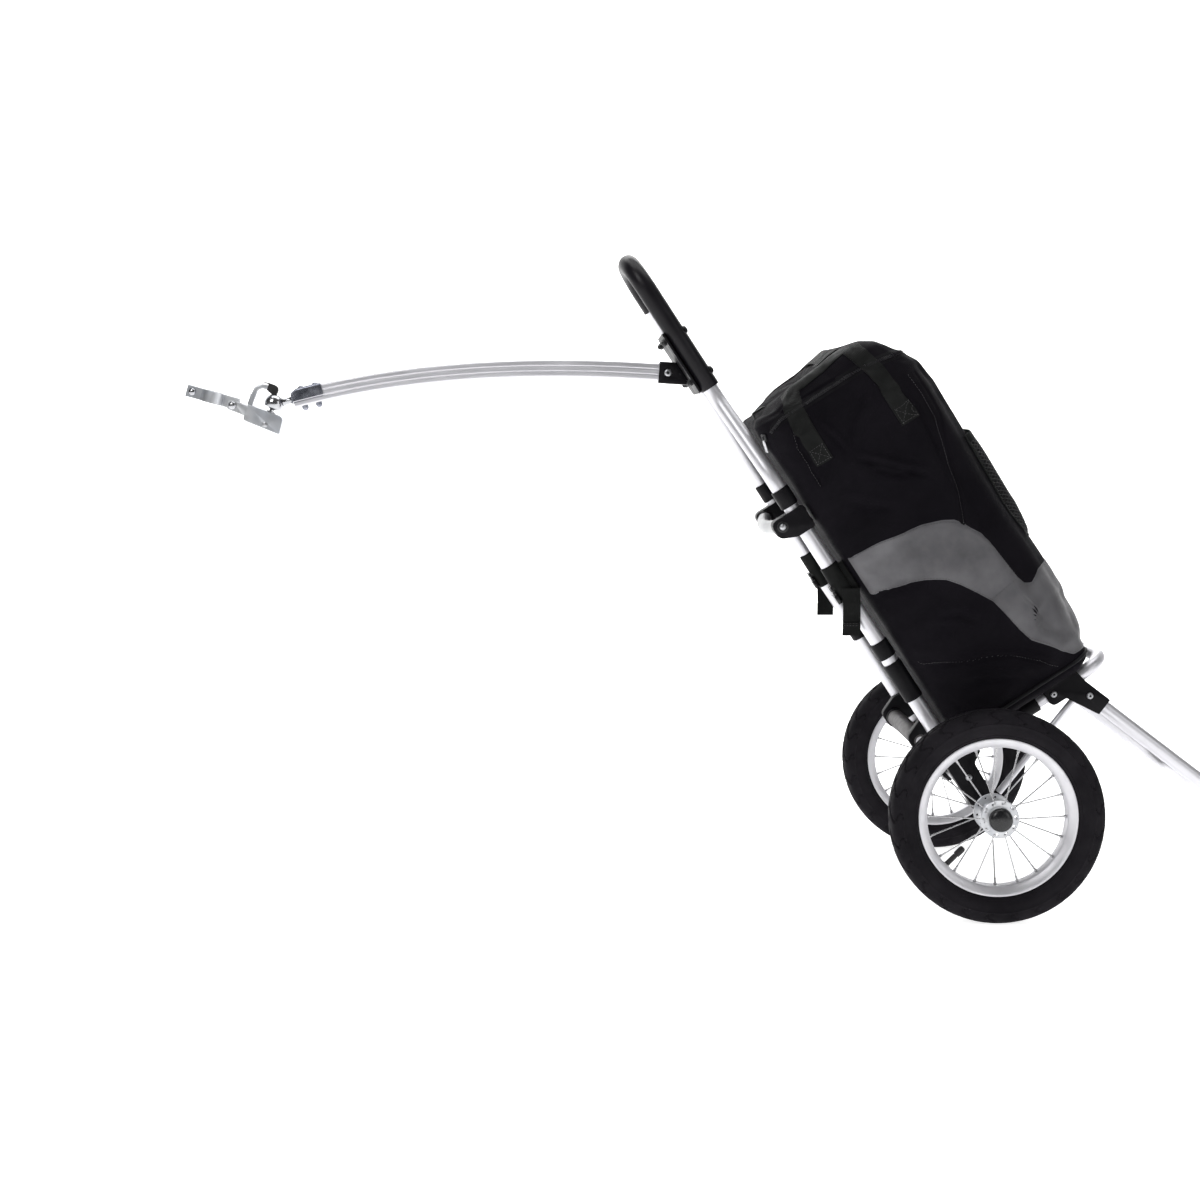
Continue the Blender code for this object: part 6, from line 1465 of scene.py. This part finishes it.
def on_strap(boxes, y):
    """Boxes given from the buckle's back, the rail's middle and the strap's lower edge, put in the cart's
    frame."""
    origin = (BUCKLE_BACK, y, STRAP_LOW)
    return [[[a + b for a, b in zip(origin, corner)] for corner in box] for box in boxes]


strap_rows = []
for side, sign in SIDES:
    y = sign * RAIL_Y
    outer = []
    inner = []
    for index in range(WRAP_ROWS + 1):
        z = STRAP_LOW + (STRAP_HIGH - STRAP_LOW) * index / WRAP_ROWS
        rim = 0.0007 if index in (0, WRAP_ROWS) else 0.0
        ring = []
        for turn in turns(40):
            pucker = 0.0004 * math.sin(3 * turn + 60.0 * z) + 0.0003 * math.sin(5 * turn - 90.0 * z)
            reach = WRAP_RADIUS + pucker - rim
            ring.append(CART @ Vector((reach * math.cos(turn), y + reach * math.sin(turn), z)))
        outer.append(ring)
        inner.append([CART @ Vector((SLEEVE_BORE * math.cos(t), y + SLEEVE_BORE * math.sin(t), z))
                      for t in turns(40)])
    wrap = skin("strap_wrap_" + side, outer + inner[::-1], looped=True, sharp=50.0)
    dress(wrap, "frame", "webbing", webbing_finish, "strap_" + side)
    tongue_line = [Vector((x, y, (STRAP_LOW + STRAP_HIGH) / 2)) for x in (0.0112, 0.0135, 0.0160, 0.0188)]
    tongue = webbing_between("strap_tongue_" + side, tongue_line, Vector((0.0, 0.0, 0.0235)), 0.0170)
    dress(tongue, "frame", "webbing", webbing_finish)
    buckle = eased_boxes("strap_buckle_" + side, on_strap(BUCKLE_BOXES, y), CART, 0.0009)
    dress(buckle, "frame", "black_plastic", glossy_plastic)
    bar = eased_boxes("strap_bar_" + side, on_strap(BAR_BOX, y), CART, 0.0003)
    dress(bar, "frame", "zinc_plate", zinc_plate)
    hang = CART @ Vector((0.0060, sign * 0.1338, STRAP_LOW + 0.0100))
    tail_line = []
    for index in range(34):
        drop = 0.066 * index / 33.0
        sway = 0.0016 * math.sin(drop * 70.0) * min(1.0, drop / 0.02)
        shift = Vector((0.0008 * math.sin(drop * 40.0), sign * (0.0014 + sway), 0.004 - drop))
        tail_line.append(to_cart @ (hang + shift))
    width_way = to_cart.to_3x3() @ Vector((0.0122, 0.0, 0.0))
    fold_line = [p + to_cart.to_3x3() @ Vector((0.0, sign * 0.0019, 0.0)) for p in tail_line[24:]]
    for label, line in (("tail", tail_line), ("fold", fold_line)):
        strip = webbing_between("strap_" + label + "_" + side, line, width_way, 0.0019)
        dress(strip, "frame", "webbing", webbing_finish)
    for rise in (0.0, 0.0030):
        row = []
        for k in range(11):
            across = width_way * (0.84 * (k / 5.0 - 1.0))
            spot = CART @ (tail_line[26] + across) + Vector((0.0, sign * 0.0030, rise))
            row.append((spot, Vector((0.0, sign, 0.0))))
        strap_rows.append(row)
sewn("strap_stitches", strap_rows)

# Hitch plate and socket
# A black steel plate under the handle legs carries the drawbar's moulded socket. Four bolts pass through
# grip and legs and end in domed nuts, and one more holds the drawbar in its socket.


def together(name, pieces, sharp=34.0):
    """Several closed shapes as one mesh."""
    bm = bmesh.new()
    for piece in pieces:
        bm.from_mesh(piece.data)
        bpy.data.objects.remove(piece)
    return put(name, bm, sharp)


def domed_bolt(name, seat, head, head_tall, shank, length, nut, nut_tall, closed_nut=True):
    """A domed head that sits at the seat's origin, its shank, and its nut at the far end. The head's way up
    is +Z."""
    half = head / 2
    foot = -length - nut_tall * (0.4 if closed_nut else 1.25)
    body = turned(name + "_head", ((0.0, head_tall), (half * 0.36, head_tall * 0.96),
                                   (half * 0.66, head_tall * 0.78), (half * 0.88, head_tall * 0.46),
                                   (half, head_tall * 0.14), (half, 0.0), (shank / 2, 0.0),
                                   (shank / 2, foot + 0.0004), (shank / 2 - 0.0004, foot), (0.0, foot)),
                  seat, 36)
    reach = nut / 2
    hexagon = nut_tall * (0.56 if closed_nut else 1.0)
    flats = [(0.0, -length), (reach * 0.90, -length), (reach, -length - 0.0004),
             (reach, -length - hexagon + 0.0004), (reach * 0.90, -length - hexagon),
             (0.0, -length - hexagon)]
    pieces = [body, turned(name + "_flats", flats, seat, 6)]
    if closed_nut:
        dome = [(0.0, -length - hexagon * 0.9)]
        for a in (math.pi * k / 12 for k in range(7)):
            rise = (nut_tall - hexagon * 0.9) * math.sin(a)
            dome.append((reach * 0.80 * math.cos(a), -length - hexagon * 0.9 - rise))
        pieces.append(turned(name + "_dome", dome, seat, 24))
    return together(name, pieces)


dress(eased("hitch_plate_pressed", "hitch_plate", 0.0007), "frame", "black_plastic", moulded_nylon,
      "hitch_plate")
PLATE_BACK = -0.0176
TO_FRONT = Matrix.Rotation(math.pi / 2, 4, "Y")
for side, sign in SIDES:
    for level, height in (("low", 0.715), ("high", 0.783)):
        seat_x = 0.0146 if sign < 0 else 0.0113
        seat = CART @ Matrix.Translation((seat_x, sign * HANDLE_Y, height)) @ TO_FRONT
        label = level + "_" + side
        bolt = domed_bolt("plate_bolt_domed_" + label, seat, 0.0118, 0.0036, 0.0059,
                          seat_x - PLATE_BACK + 0.0002, 0.0098, 0.0074)
        dress(bolt, "frame", "black_plastic", black_oxide, "plate_bolt_" + label)
dress(eased("socket_moulded", "drawbar_socket", 0.0011), "frame", "black_plastic", moulded_nylon,
      "drawbar_socket")
BAR_AXIS = Vector((-math.cos(math.radians(4.0)), 0.0, math.sin(math.radians(4.0))))
MOUTH = CART @ Vector((PLATE_BACK - 0.0003, 0.0, 0.7304)) + BAR_AXIS * 0.036
bolt_middle = MOUTH - BAR_AXIS * 0.013
seat = Matrix.Translation((bolt_middle.x, -0.0128, bolt_middle.z)) @ to_side(-1)
button = turned("socket_bolt_button", ((0.0026, 0.0018), (0.0029, 0.0022), (0.0040, 0.0021),
                                       (0.0050, 0.0014), (0.0055, 0.0004), (0.0055, 0.0), (0.0026, 0.0)),
                seat, 40, closed=True)
rod = turned("socket_bolt_rod", ((0.0, 0.0006), (0.00262, 0.0006), (0.0029, 0.0), (0.0029, -0.0290),
                                 (0.0, -0.0290)), seat, 24)
nut = turned("socket_bolt_nut", ((0.0, -0.0256), (0.0048, -0.0256), (0.0052, -0.0260), (0.0052, -0.0294),
                                 (0.0048, -0.0298), (0.0, -0.0298)), seat, 6)
dress(together("socket_bolt_plated", [button, rod, nut]), "frame", "zinc_plate", zinc_plate, "socket_bolt")
recess = turned("socket_bolt_recess", ((0.0, 0.0009), (0.0024, 0.0009), (0.0024, 0.0005), (0.0, 0.0005)),
                seat, 6)
dress(recess, "frame", "dark_steel", black_oxide)

# Drawbar
# An extruded aluminium bar with two rolled grooves down each side, bent to a long flat arch. It is anodised
# like the rails and cut off square at its tip.

BALL = Vector((-0.613662, 0.0, 0.7048))
START_AXIS = Vector((math.cos(math.radians(15.0)), 0.0, math.sin(math.radians(15.0))))
BAR_START = BALL + Vector((0.0290, 0.0, 0.0056))
BAR_HALF = (0.0090, 0.01225)


def grooved_section():
    """The bar's outline as (across, up), with rounded corners and two shallow grooves down each side."""
    half, high = BAR_HALF
    right = [(half - 0.0025 + 0.0025 * math.sin(a), high - 0.0025 + 0.0025 * math.cos(a))
             for a in (math.pi / 2 * k / 6 for k in range(7))]
    for k in range(11):
        share = k / 10.0
        right.append((half - 0.0011 * math.sin(math.pi * share) ** 0.8, high * (0.46 - 0.28 * share)))
    right += [(y, -z) for y, z in reversed(right)]
    return right + [(-y, z) for y, z in reversed(right)]


bar_path = interpolate_bezier(BAR_START, BAR_START + START_AXIS * 0.190, MOUTH + BAR_AXIS * 0.156, MOUTH, 96)
bar_path = [Vector(p) for p in bar_path] + [MOUTH - BAR_AXIS * 0.0237]
bar_path[0:1] = [bar_path[0], bar_path[0].lerp(bar_path[1], 0.06)]


def up_at(path, index):
    ahead = heading(path, index).normalized()
    return Vector((-ahead.z, 0.0, ahead.x))


bar_rings = []
for index, point in enumerate(bar_path):
    up = up_at(bar_path, index)
    cut = 0.955 if index == 0 else 1.0
    bar_rings.append([point + Vector((0.0, y * cut, 0.0)) + up * z * cut for y, z in grooved_section()])
dress(skin("drawbar_extruded", bar_rings, sharp=44.0), "frame", "satin_aluminium", drawn_aluminium,
      "drawbar")


def bar_at(distance):
    """The bar's middle at a distance from its tip, and the way up there."""
    travelled = 0.0
    for first, second in zip(bar_path, bar_path[1:]):
        reach = (second - first).length
        if travelled + reach >= distance:
            ahead = (second - first).normalized()
            return first.lerp(second, (distance - travelled) / reach), Vector((-ahead.z, 0.0, ahead.x))
        travelled += reach
    return bar_path[-1], Vector((0.0, 0.0, 1.0))


# Coupler head
# A pressed steel saddle, blued and bolted over the bar's tip, with a forged neck and a polished cup welded
# to it. A nylon liner in the cup takes the wear of the ball.

HITCH = Matrix.Translation(BALL) @ Matrix.Rotation(math.radians(21.0), 4, "Y")
LATCH = HITCH @ Matrix.Translation((0.0, 0.0, -0.033))
polished_steel = made_of("polished_steel", (60.0, 3.0, (0.40, 0.405, 0.43), (0.54, 0.545, 0.56)),
                         (160.0, 4.0, 0.12, 0.26), (1300.0, 2.0, 0.00002, 0.3), 1.0)
blued_steel = made_of("blued_steel", (70.0, 3.0, (0.16, 0.17, 0.21), (0.36, 0.37, 0.42)),
                      (70.0, 3.0, 0.18, 0.30), (900.0, 2.0, 0.000003, 0.1), 0.9)
LIP = math.radians(115.0)


def cup_section(outer, inner, steps=28):
    """A ball cup about Z, open below, whose lip is rounded over."""
    arcs = [LIP * k / steps for k in range(steps + 1)]
    middle = (outer + inner) / 2
    half = (outer - inner) / 2
    lip = [(middle * math.sin(LIP) + half * (math.sin(LIP) * math.cos(a) + math.cos(LIP) * math.sin(a)),
            middle * math.cos(LIP) + half * (math.cos(LIP) * math.cos(a) - math.sin(LIP) * math.sin(a)))
           for a in (math.pi * k / 6 for k in range(1, 6))]
    outside = [(outer * math.sin(a), outer * math.cos(a)) for a in arcs]
    return outside + lip + [(inner * math.sin(a), inner * math.cos(a)) for a in reversed(arcs)]


cup = turned("coupler_cup", cup_section(0.0143, 0.0125), HITCH, 64)
neck_end = BAR_START - START_AXIS * 0.0014
neck_way = (neck_end - BALL).normalized()
neck_foot = BALL + neck_way * 0.0135
neck_long = (neck_end - neck_foot).length
neck_profile = [(0.0, 0.0), (0.0068, 0.0), (0.0063, 0.0016), (0.0054, 0.0034), (0.0050, 0.0055),
                (0.0050, neck_long - 0.0050), (0.0053, neck_long - 0.0030), (0.0060, neck_long - 0.0014),
                (0.0070, neck_long), (0.0, neck_long)]
neck = turned("coupler_neck", neck_profile, seat_at(neck_foot, neck_way), 40)
dress(together("coupler_forging", [cup, neck], 40.0), "frame", "zinc_plate", polished_steel, "coupler_head")


def u_outline(half, top, low, corner):
    """The outline of a U open below, as (across, up), with its two upper corners rounded."""
    right = [(half, low)] + [(half - corner + corner * math.cos(a), top - corner + corner * math.sin(a))
                             for a in (math.pi / 2 * k / 6 for k in range(7))]
    return right + [(-y, z) for y, z in reversed(right)]


def saddle_ring(point, up, top, low, wall):
    """A U-shaped section over the bar, with rounded shoulders: the outside over and the inside back."""
    half = 0.0115
    outline = u_outline(half, top, low, 0.0030) + u_outline(half - wall, top - wall, low, 0.001)[::-1]
    return [point + Vector((0.0, y, 0.0)) + up * z for y, z in outline]


SADDLE_TOP = 0.01475
saddle_rings = []
for distance, top in ((0.0, SADDLE_TOP - 0.0052), (0.0030, SADDLE_TOP - 0.0030),
                      (0.0065, SADDLE_TOP - 0.0009), (0.0095, SADDLE_TOP), (0.0200, SADDLE_TOP),
                      (0.0300, SADDLE_TOP), (0.0405, SADDLE_TOP), (0.0445, SADDLE_TOP - 0.0006),
                      (0.0450, SADDLE_TOP - 0.0010)):
    point, up = bar_at(distance)
    point = point - START_AXIS * 0.0003 if distance == 0.0 else point
    saddle_rings.append(saddle_ring(point, up, top, -0.0030, 0.0022))
saddle_skin = skin("saddle_sides", saddle_rings, sharp=40.0)
start_up = Vector((-START_AXIS.z, 0.0, START_AXIS.x))
nose_rings = []
for back, top, half in ((-0.0004, 0.0094, 0.0114), (-0.0012, 0.0082, 0.0111), (-0.0020, 0.0068, 0.0102),
                        (-0.0025, 0.0052, 0.0092)):
    outline = [(half, -0.0030), (half, top - 0.0025), (half - 0.0025, top), (0.0025 - half, top),
               (-half, top - 0.0025), (-half, -0.0030)]
    spot = BAR_START + START_AXIS * back
    nose_rings.append([spot + Vector((0.0, y, 0.0)) + start_up * z for y, z in outline])
nose = skin("saddle_nose", nose_rings, sharp=40.0)
dress(together("saddle_pressed", [saddle_skin, nose], 40.0), "frame", "dark_steel", blued_steel)
for number, distance in enumerate((0.014, 0.035)):
    point, up = bar_at(distance)
    seat = seat_at(point + up * SADDLE_TOP, up)
    tip_bolt = domed_bolt("tip_bolt_" + str(number), seat, 0.0090, 0.0028, 0.0049,
                          SADDLE_TOP + BAR_HALF[1] + 0.0002, 0.0108, 0.0076)
    dress(tip_bolt, "frame", "dark_steel", blued_steel)
liner = turned("cup_liner", cup_section(0.0118, 0.0107), HITCH, 48)
dress(liner, "hitch_liner", "black_plastic", moulded_nylon, "coupler_liner")

# Tow ball and channel
# The ball is turned with its stud and held through a zinc-plated channel, folded from sheet with rounded
# edges. The channel's joggled neck pivots on the tilt bolt between the clamp's ears.

ball_angle = math.asin(0.35)
ball_profile = [(0.010 * math.sin(a), 0.010 * math.cos(a))
                for a in ((math.pi - ball_angle) * k / 40 for k in range(41))]
ball_profile += [(0.0036, -0.0110), (0.0035, -0.0120), (0.0062, -0.0122), (0.0065, -0.0125),
                 (0.0065, -0.0137), (0.0035, -0.0137), (0.0035, -0.0168), (0.0035, -0.0215),
                 (0.0030, -0.0221), (0.0, -0.0221)]
ball = turned("turned_ball", ball_profile, HITCH, 56)
stud_nut = turned("stud_nut", ((0.0, -0.0168), (0.0052, -0.0168), (0.0057, -0.0172), (0.0057, -0.0206),
                               (0.0052, -0.0210), (0.0, -0.0210)), HITCH, 6)
dress(together("ball_and_stud", [ball, stud_nut]), "tow_ball", "zinc_plate", polished_steel, "tow_ball")
passivated_zinc = made_of("passivated_zinc", (16.0, 3.0, (0.46, 0.485, 0.535), (0.63, 0.635, 0.64)),
                          (60.0, 4.0, 0.28, 0.42), (700.0, 2.0, 0.00005, 0.4), 0.78)
channel = eased("channel_folded", "hitch_channel", 0.0009, 30.0, 3)
dress(channel, "hitch_bracket", "zinc_plate", passivated_zinc, "hitch_channel")
seat = LATCH @ to_side(-1)
rivet_half = [(0.0, 0.0144), (0.0020, 0.0143), (0.0034, 0.0139), (0.0042, 0.0129), (0.0042, 0.0128),
              (0.0025, 0.0128)]
rivet = turned("latch_rivet_set", rivet_half + mirrored(rivet_half), seat, 32)
dress(rivet, "hitch_bracket", "zinc_plate", zinc_plate, "latch_rivet")
seat = HITCH @ Matrix.Translation((-0.0552, -0.0080, -0.0242)) @ to_side(-1)
tilt = domed_bolt("tilt_bolt_plated", seat, 0.0124, 0.0036, 0.0060, 0.0160, 0.0104, 0.0052, False)
dress(tilt, "hitch_bracket", "zinc_plate", polished_steel, "tilt_bolt")

# Latch
# A hook of flat zinc-plated bar pivots on the rivet and reaches over the coupler. Its finger end has a
# dipped rubber cap with a fin, and a bent wire spring keeps it shut.


def slab(name, outline, thickness, matrix, edge):
    """A flat plate cut to an outline in the XY plane, with its rim broken all round."""
    turning = sum(a[0] * b[1] - b[0] * a[1] for a, b in zip(outline, outline[1:] + outline[:1]))
    rings = []
    for level, shrink, rise in ((-0.5, edge, 0.0), (-0.5, 0.0, edge), (0.5, 0.0, -edge), (0.5, edge, 0.0)):
        height = level * thickness + rise
        ring = []
        for index, (x, y) in enumerate(outline):
            before = Vector(outline[index - 1])
            after = Vector(outline[(index + 1) % len(outline)])
            ahead = (after - before).normalized()
            inward = Vector((-ahead.y, ahead.x)) * (1.0 if turning > 0 else -1.0)
            spot = Vector((x, y)) + inward * shrink
            ring.append(matrix @ Vector((spot.x, spot.y, height)))
        rings.append(ring)
    return skin(name, rings, sharp=40.0)


dress(eased("hook_of_bar", "latch_hook", 0.0006, 30.0), "latch", "zinc_plate", passivated_zinc, "latch_hook")
dipped_rubber = made_of("dipped_rubber", (70.0, 3.0, (0.0075, 0.0072, 0.0080), (0.0140, 0.0134, 0.0145)),
                        (150.0, 3.0, 0.28, 0.48), (800.0, 2.0, 0.00008, 0.4))
spring_steel = made_of("spring_steel", (130.0, 3.0, (0.16, 0.16, 0.175), (0.34, 0.34, 0.355)),
                       (400.0, 3.0, 0.18, 0.34), None, 1.0)
HOOK_END = (-0.005, 0.0525)
CAP_OUTLINE = ((-0.0205, 0.0050), (-0.0120, 0.0062), (-0.0040, 0.0064), (0.0005, 0.0056), (0.0030, 0.0034),
               (0.0042, 0.0004), (0.0042, -0.0040), (0.0028, -0.0066), (0.0004, -0.0078), (-0.0040, -0.0076),
               (-0.0086, -0.0060), (-0.0118, -0.0046), (-0.0122, 0.0040), (-0.0205, 0.0041))
cap_seat = LATCH @ to_side(-1)
hook_cap = slab("hook_cap", [(HOOK_END[0] + x, HOOK_END[1] + z) for x, z in CAP_OUTLINE], 0.0076, cap_seat,
                0.0008)
dress(hook_cap, "latch", "soft_rubber", dipped_rubber, "latch_tip")
SPRING_LINE = [(0.0105, 0.0035, 0.0042), (-0.0105, 0.0035, 0.0042), (-0.0369, 0.0035, 0.019),
               (-0.0369, 0.0035, 0.033), (-0.0369, -0.0025, 0.033)]
spring = pipe("spring_bent", [LATCH @ p for p in rounded_path(SPRING_LINE, 0.0022, 8)], 0.0007, 16)
dress(spring, "latch", "dark_steel", spring_steel, "latch_spring")

# Seat-post clamp
# Two half bands bent from thick zinc-plated strip. One bolt draws their front ears together round the post,
# and the tilt bolt passes through their rear ears.

CLAMP_AT = HITCH @ Vector((-0.0552, 0.0, -0.0242))
CLAMP = Matrix.Translation(CLAMP_AT) @ Matrix.Rotation(math.radians(15.5), 4, "Y")
POST_AT = Vector((-0.0315, 0.0, 0.0035))
BAND_OUTER = 0.0177
BAND_INNER = 0.0139


def half_band_outline(sign, steps=40):
    """A half band seen down the post: half a ring with an ear at each end."""
    ear = 0.0049
    slot = 0.0015
    first = math.asin(ear / BAND_OUTER)
    last = math.asin(slot / BAND_INNER)
    points = [(-0.0400, ear - 0.0012), (-0.0396, ear - 0.0004), (-0.0388, ear)]
    points += [(BAND_OUTER * math.cos(a), BAND_OUTER * math.sin(a))
               for a in (math.pi - first - (math.pi - 2 * first) * k / steps for k in range(steps + 1))]
    points += [(0.0378, ear), (0.0386, ear - 0.0004), (0.0390, ear - 0.0012), (0.0390, slot)]
    points += [(BAND_INNER * math.cos(a), BAND_INNER * math.sin(a))
               for a in (last + (math.pi - 2 * last) * k / steps for k in range(steps + 1))]
    points.append((-0.0400, slot))
    return [(x, sign * y) for x, y in points]


for side, sign in SIDES:
    outline = half_band_outline(sign)
    half_band = slab("half_band_" + side, outline, 0.0175, CLAMP @ Matrix.Translation(POST_AT), 0.0005)
    dress(half_band, "clamp", "zinc_plate", passivated_zinc, "clamp_band_" + side)
seat = CLAMP @ Matrix.Translation((-0.0625, -0.0052, 0.0035)) @ to_side(-1)
ear_bolt = domed_bolt("ear_bolt", seat, 0.0110, 0.0034, 0.0060, 0.0104, 0.0105, 0.0055, False)
dress(ear_bolt, "clamp", "zinc_plate", polished_steel, "clamp_bolt")

# Studio
# A pale floor that runs up into the backdrop, broad soft lights, and the camera at the photograph's place.

floor_bm = bmesh.new()
floor_line = [(-6.0, 0.0), (2.2, 0.0), (2.9, 0.09), (3.4, 0.42), (3.7, 1.0), (3.8, 5.0)]
floor_rows = [[floor_bm.verts.new((x, y, z)) for y, z in floor_line] for x in (-7.0, 7.0)]
low_edge, high_edge = floor_rows
for index in range(len(floor_line) - 1):
    floor_bm.faces.new((low_edge[index], high_edge[index], high_edge[index + 1], low_edge[index + 1]))
studio_floor = put("studio_floor", floor_bm, 80.0)
white_paper = finish_of("white_paper", (0.92, 0.92, 0.92), 0.85, 0.0, Specular_IOR_Level=0.1,
                        Emission_Color=(1.0, 1.0, 1.0, 1.0), Emission_Strength=0.84)
drive(white_paper, "Roughness", cloud(white_paper, place_of(white_paper), 3.0, 2.0, 0.80, 0.90))
studio_floor.data.materials.append(white_paper)


def soft_light(name, place, aim, size, power):
    light = bpy.data.lights.new(name, "AREA")
    light.shape = "RECTANGLE"
    light.size = size[0]
    light.size_y = size[1]
    light.energy = power
    obj = bpy.data.objects.new(name, light)
    obj.location = place
    obj.rotation_euler = (Vector(aim) - Vector(place)).to_track_quat("-Z", "Y").to_euler()
    bpy.context.scene.collection.objects.link(obj)


soft_light("key_light", (-1.7, -2.3, 2.5), (0.1, 0.0, 0.4), (1.6, 1.6), 34.0)
soft_light("fill_light", (2.6, -1.9, 1.3), (0.2, 0.0, 0.4), (1.2, 2.2), 12.0)
soft_light("top_light", (0.2, 0.1, 3.0), (0.2, 0.0, 0.3), (3.2, 1.6), 40.0)
soft_light("back_light", (0.4, 2.3, 2.4), (0.2, 2.6, 0.2), (4.0, 1.2), 60.0)

bpy.context.scene.view_settings.view_transform = "Standard"
world = bpy.data.worlds.new("studio_air")
bpy.context.scene.world = world
world.use_nodes = True
world.node_tree.nodes["Background"].inputs["Color"].default_value = (1.0, 1.0, 1.0, 1.0)
world.node_tree.nodes["Background"].inputs["Strength"].default_value = 0.10

lens = bpy.data.cameras.new("catalogue_camera")
lens.sensor_width = 36.0
lens.lens = 36.0 * 1757.8 / 1200.0
lens.shift_x = 0.030
lens.shift_y = -0.085
lens.clip_end = 60.0
camera = bpy.data.objects.new("catalogue_camera", lens)
camera.location = (-0.1540, -2.5817, 0.6705)
camera.rotation_euler = (math.radians(90.0 - 2.316), 0.0, math.radians(0.748))
bpy.context.scene.collection.objects.link(camera)
bpy.context.scene.camera = camera
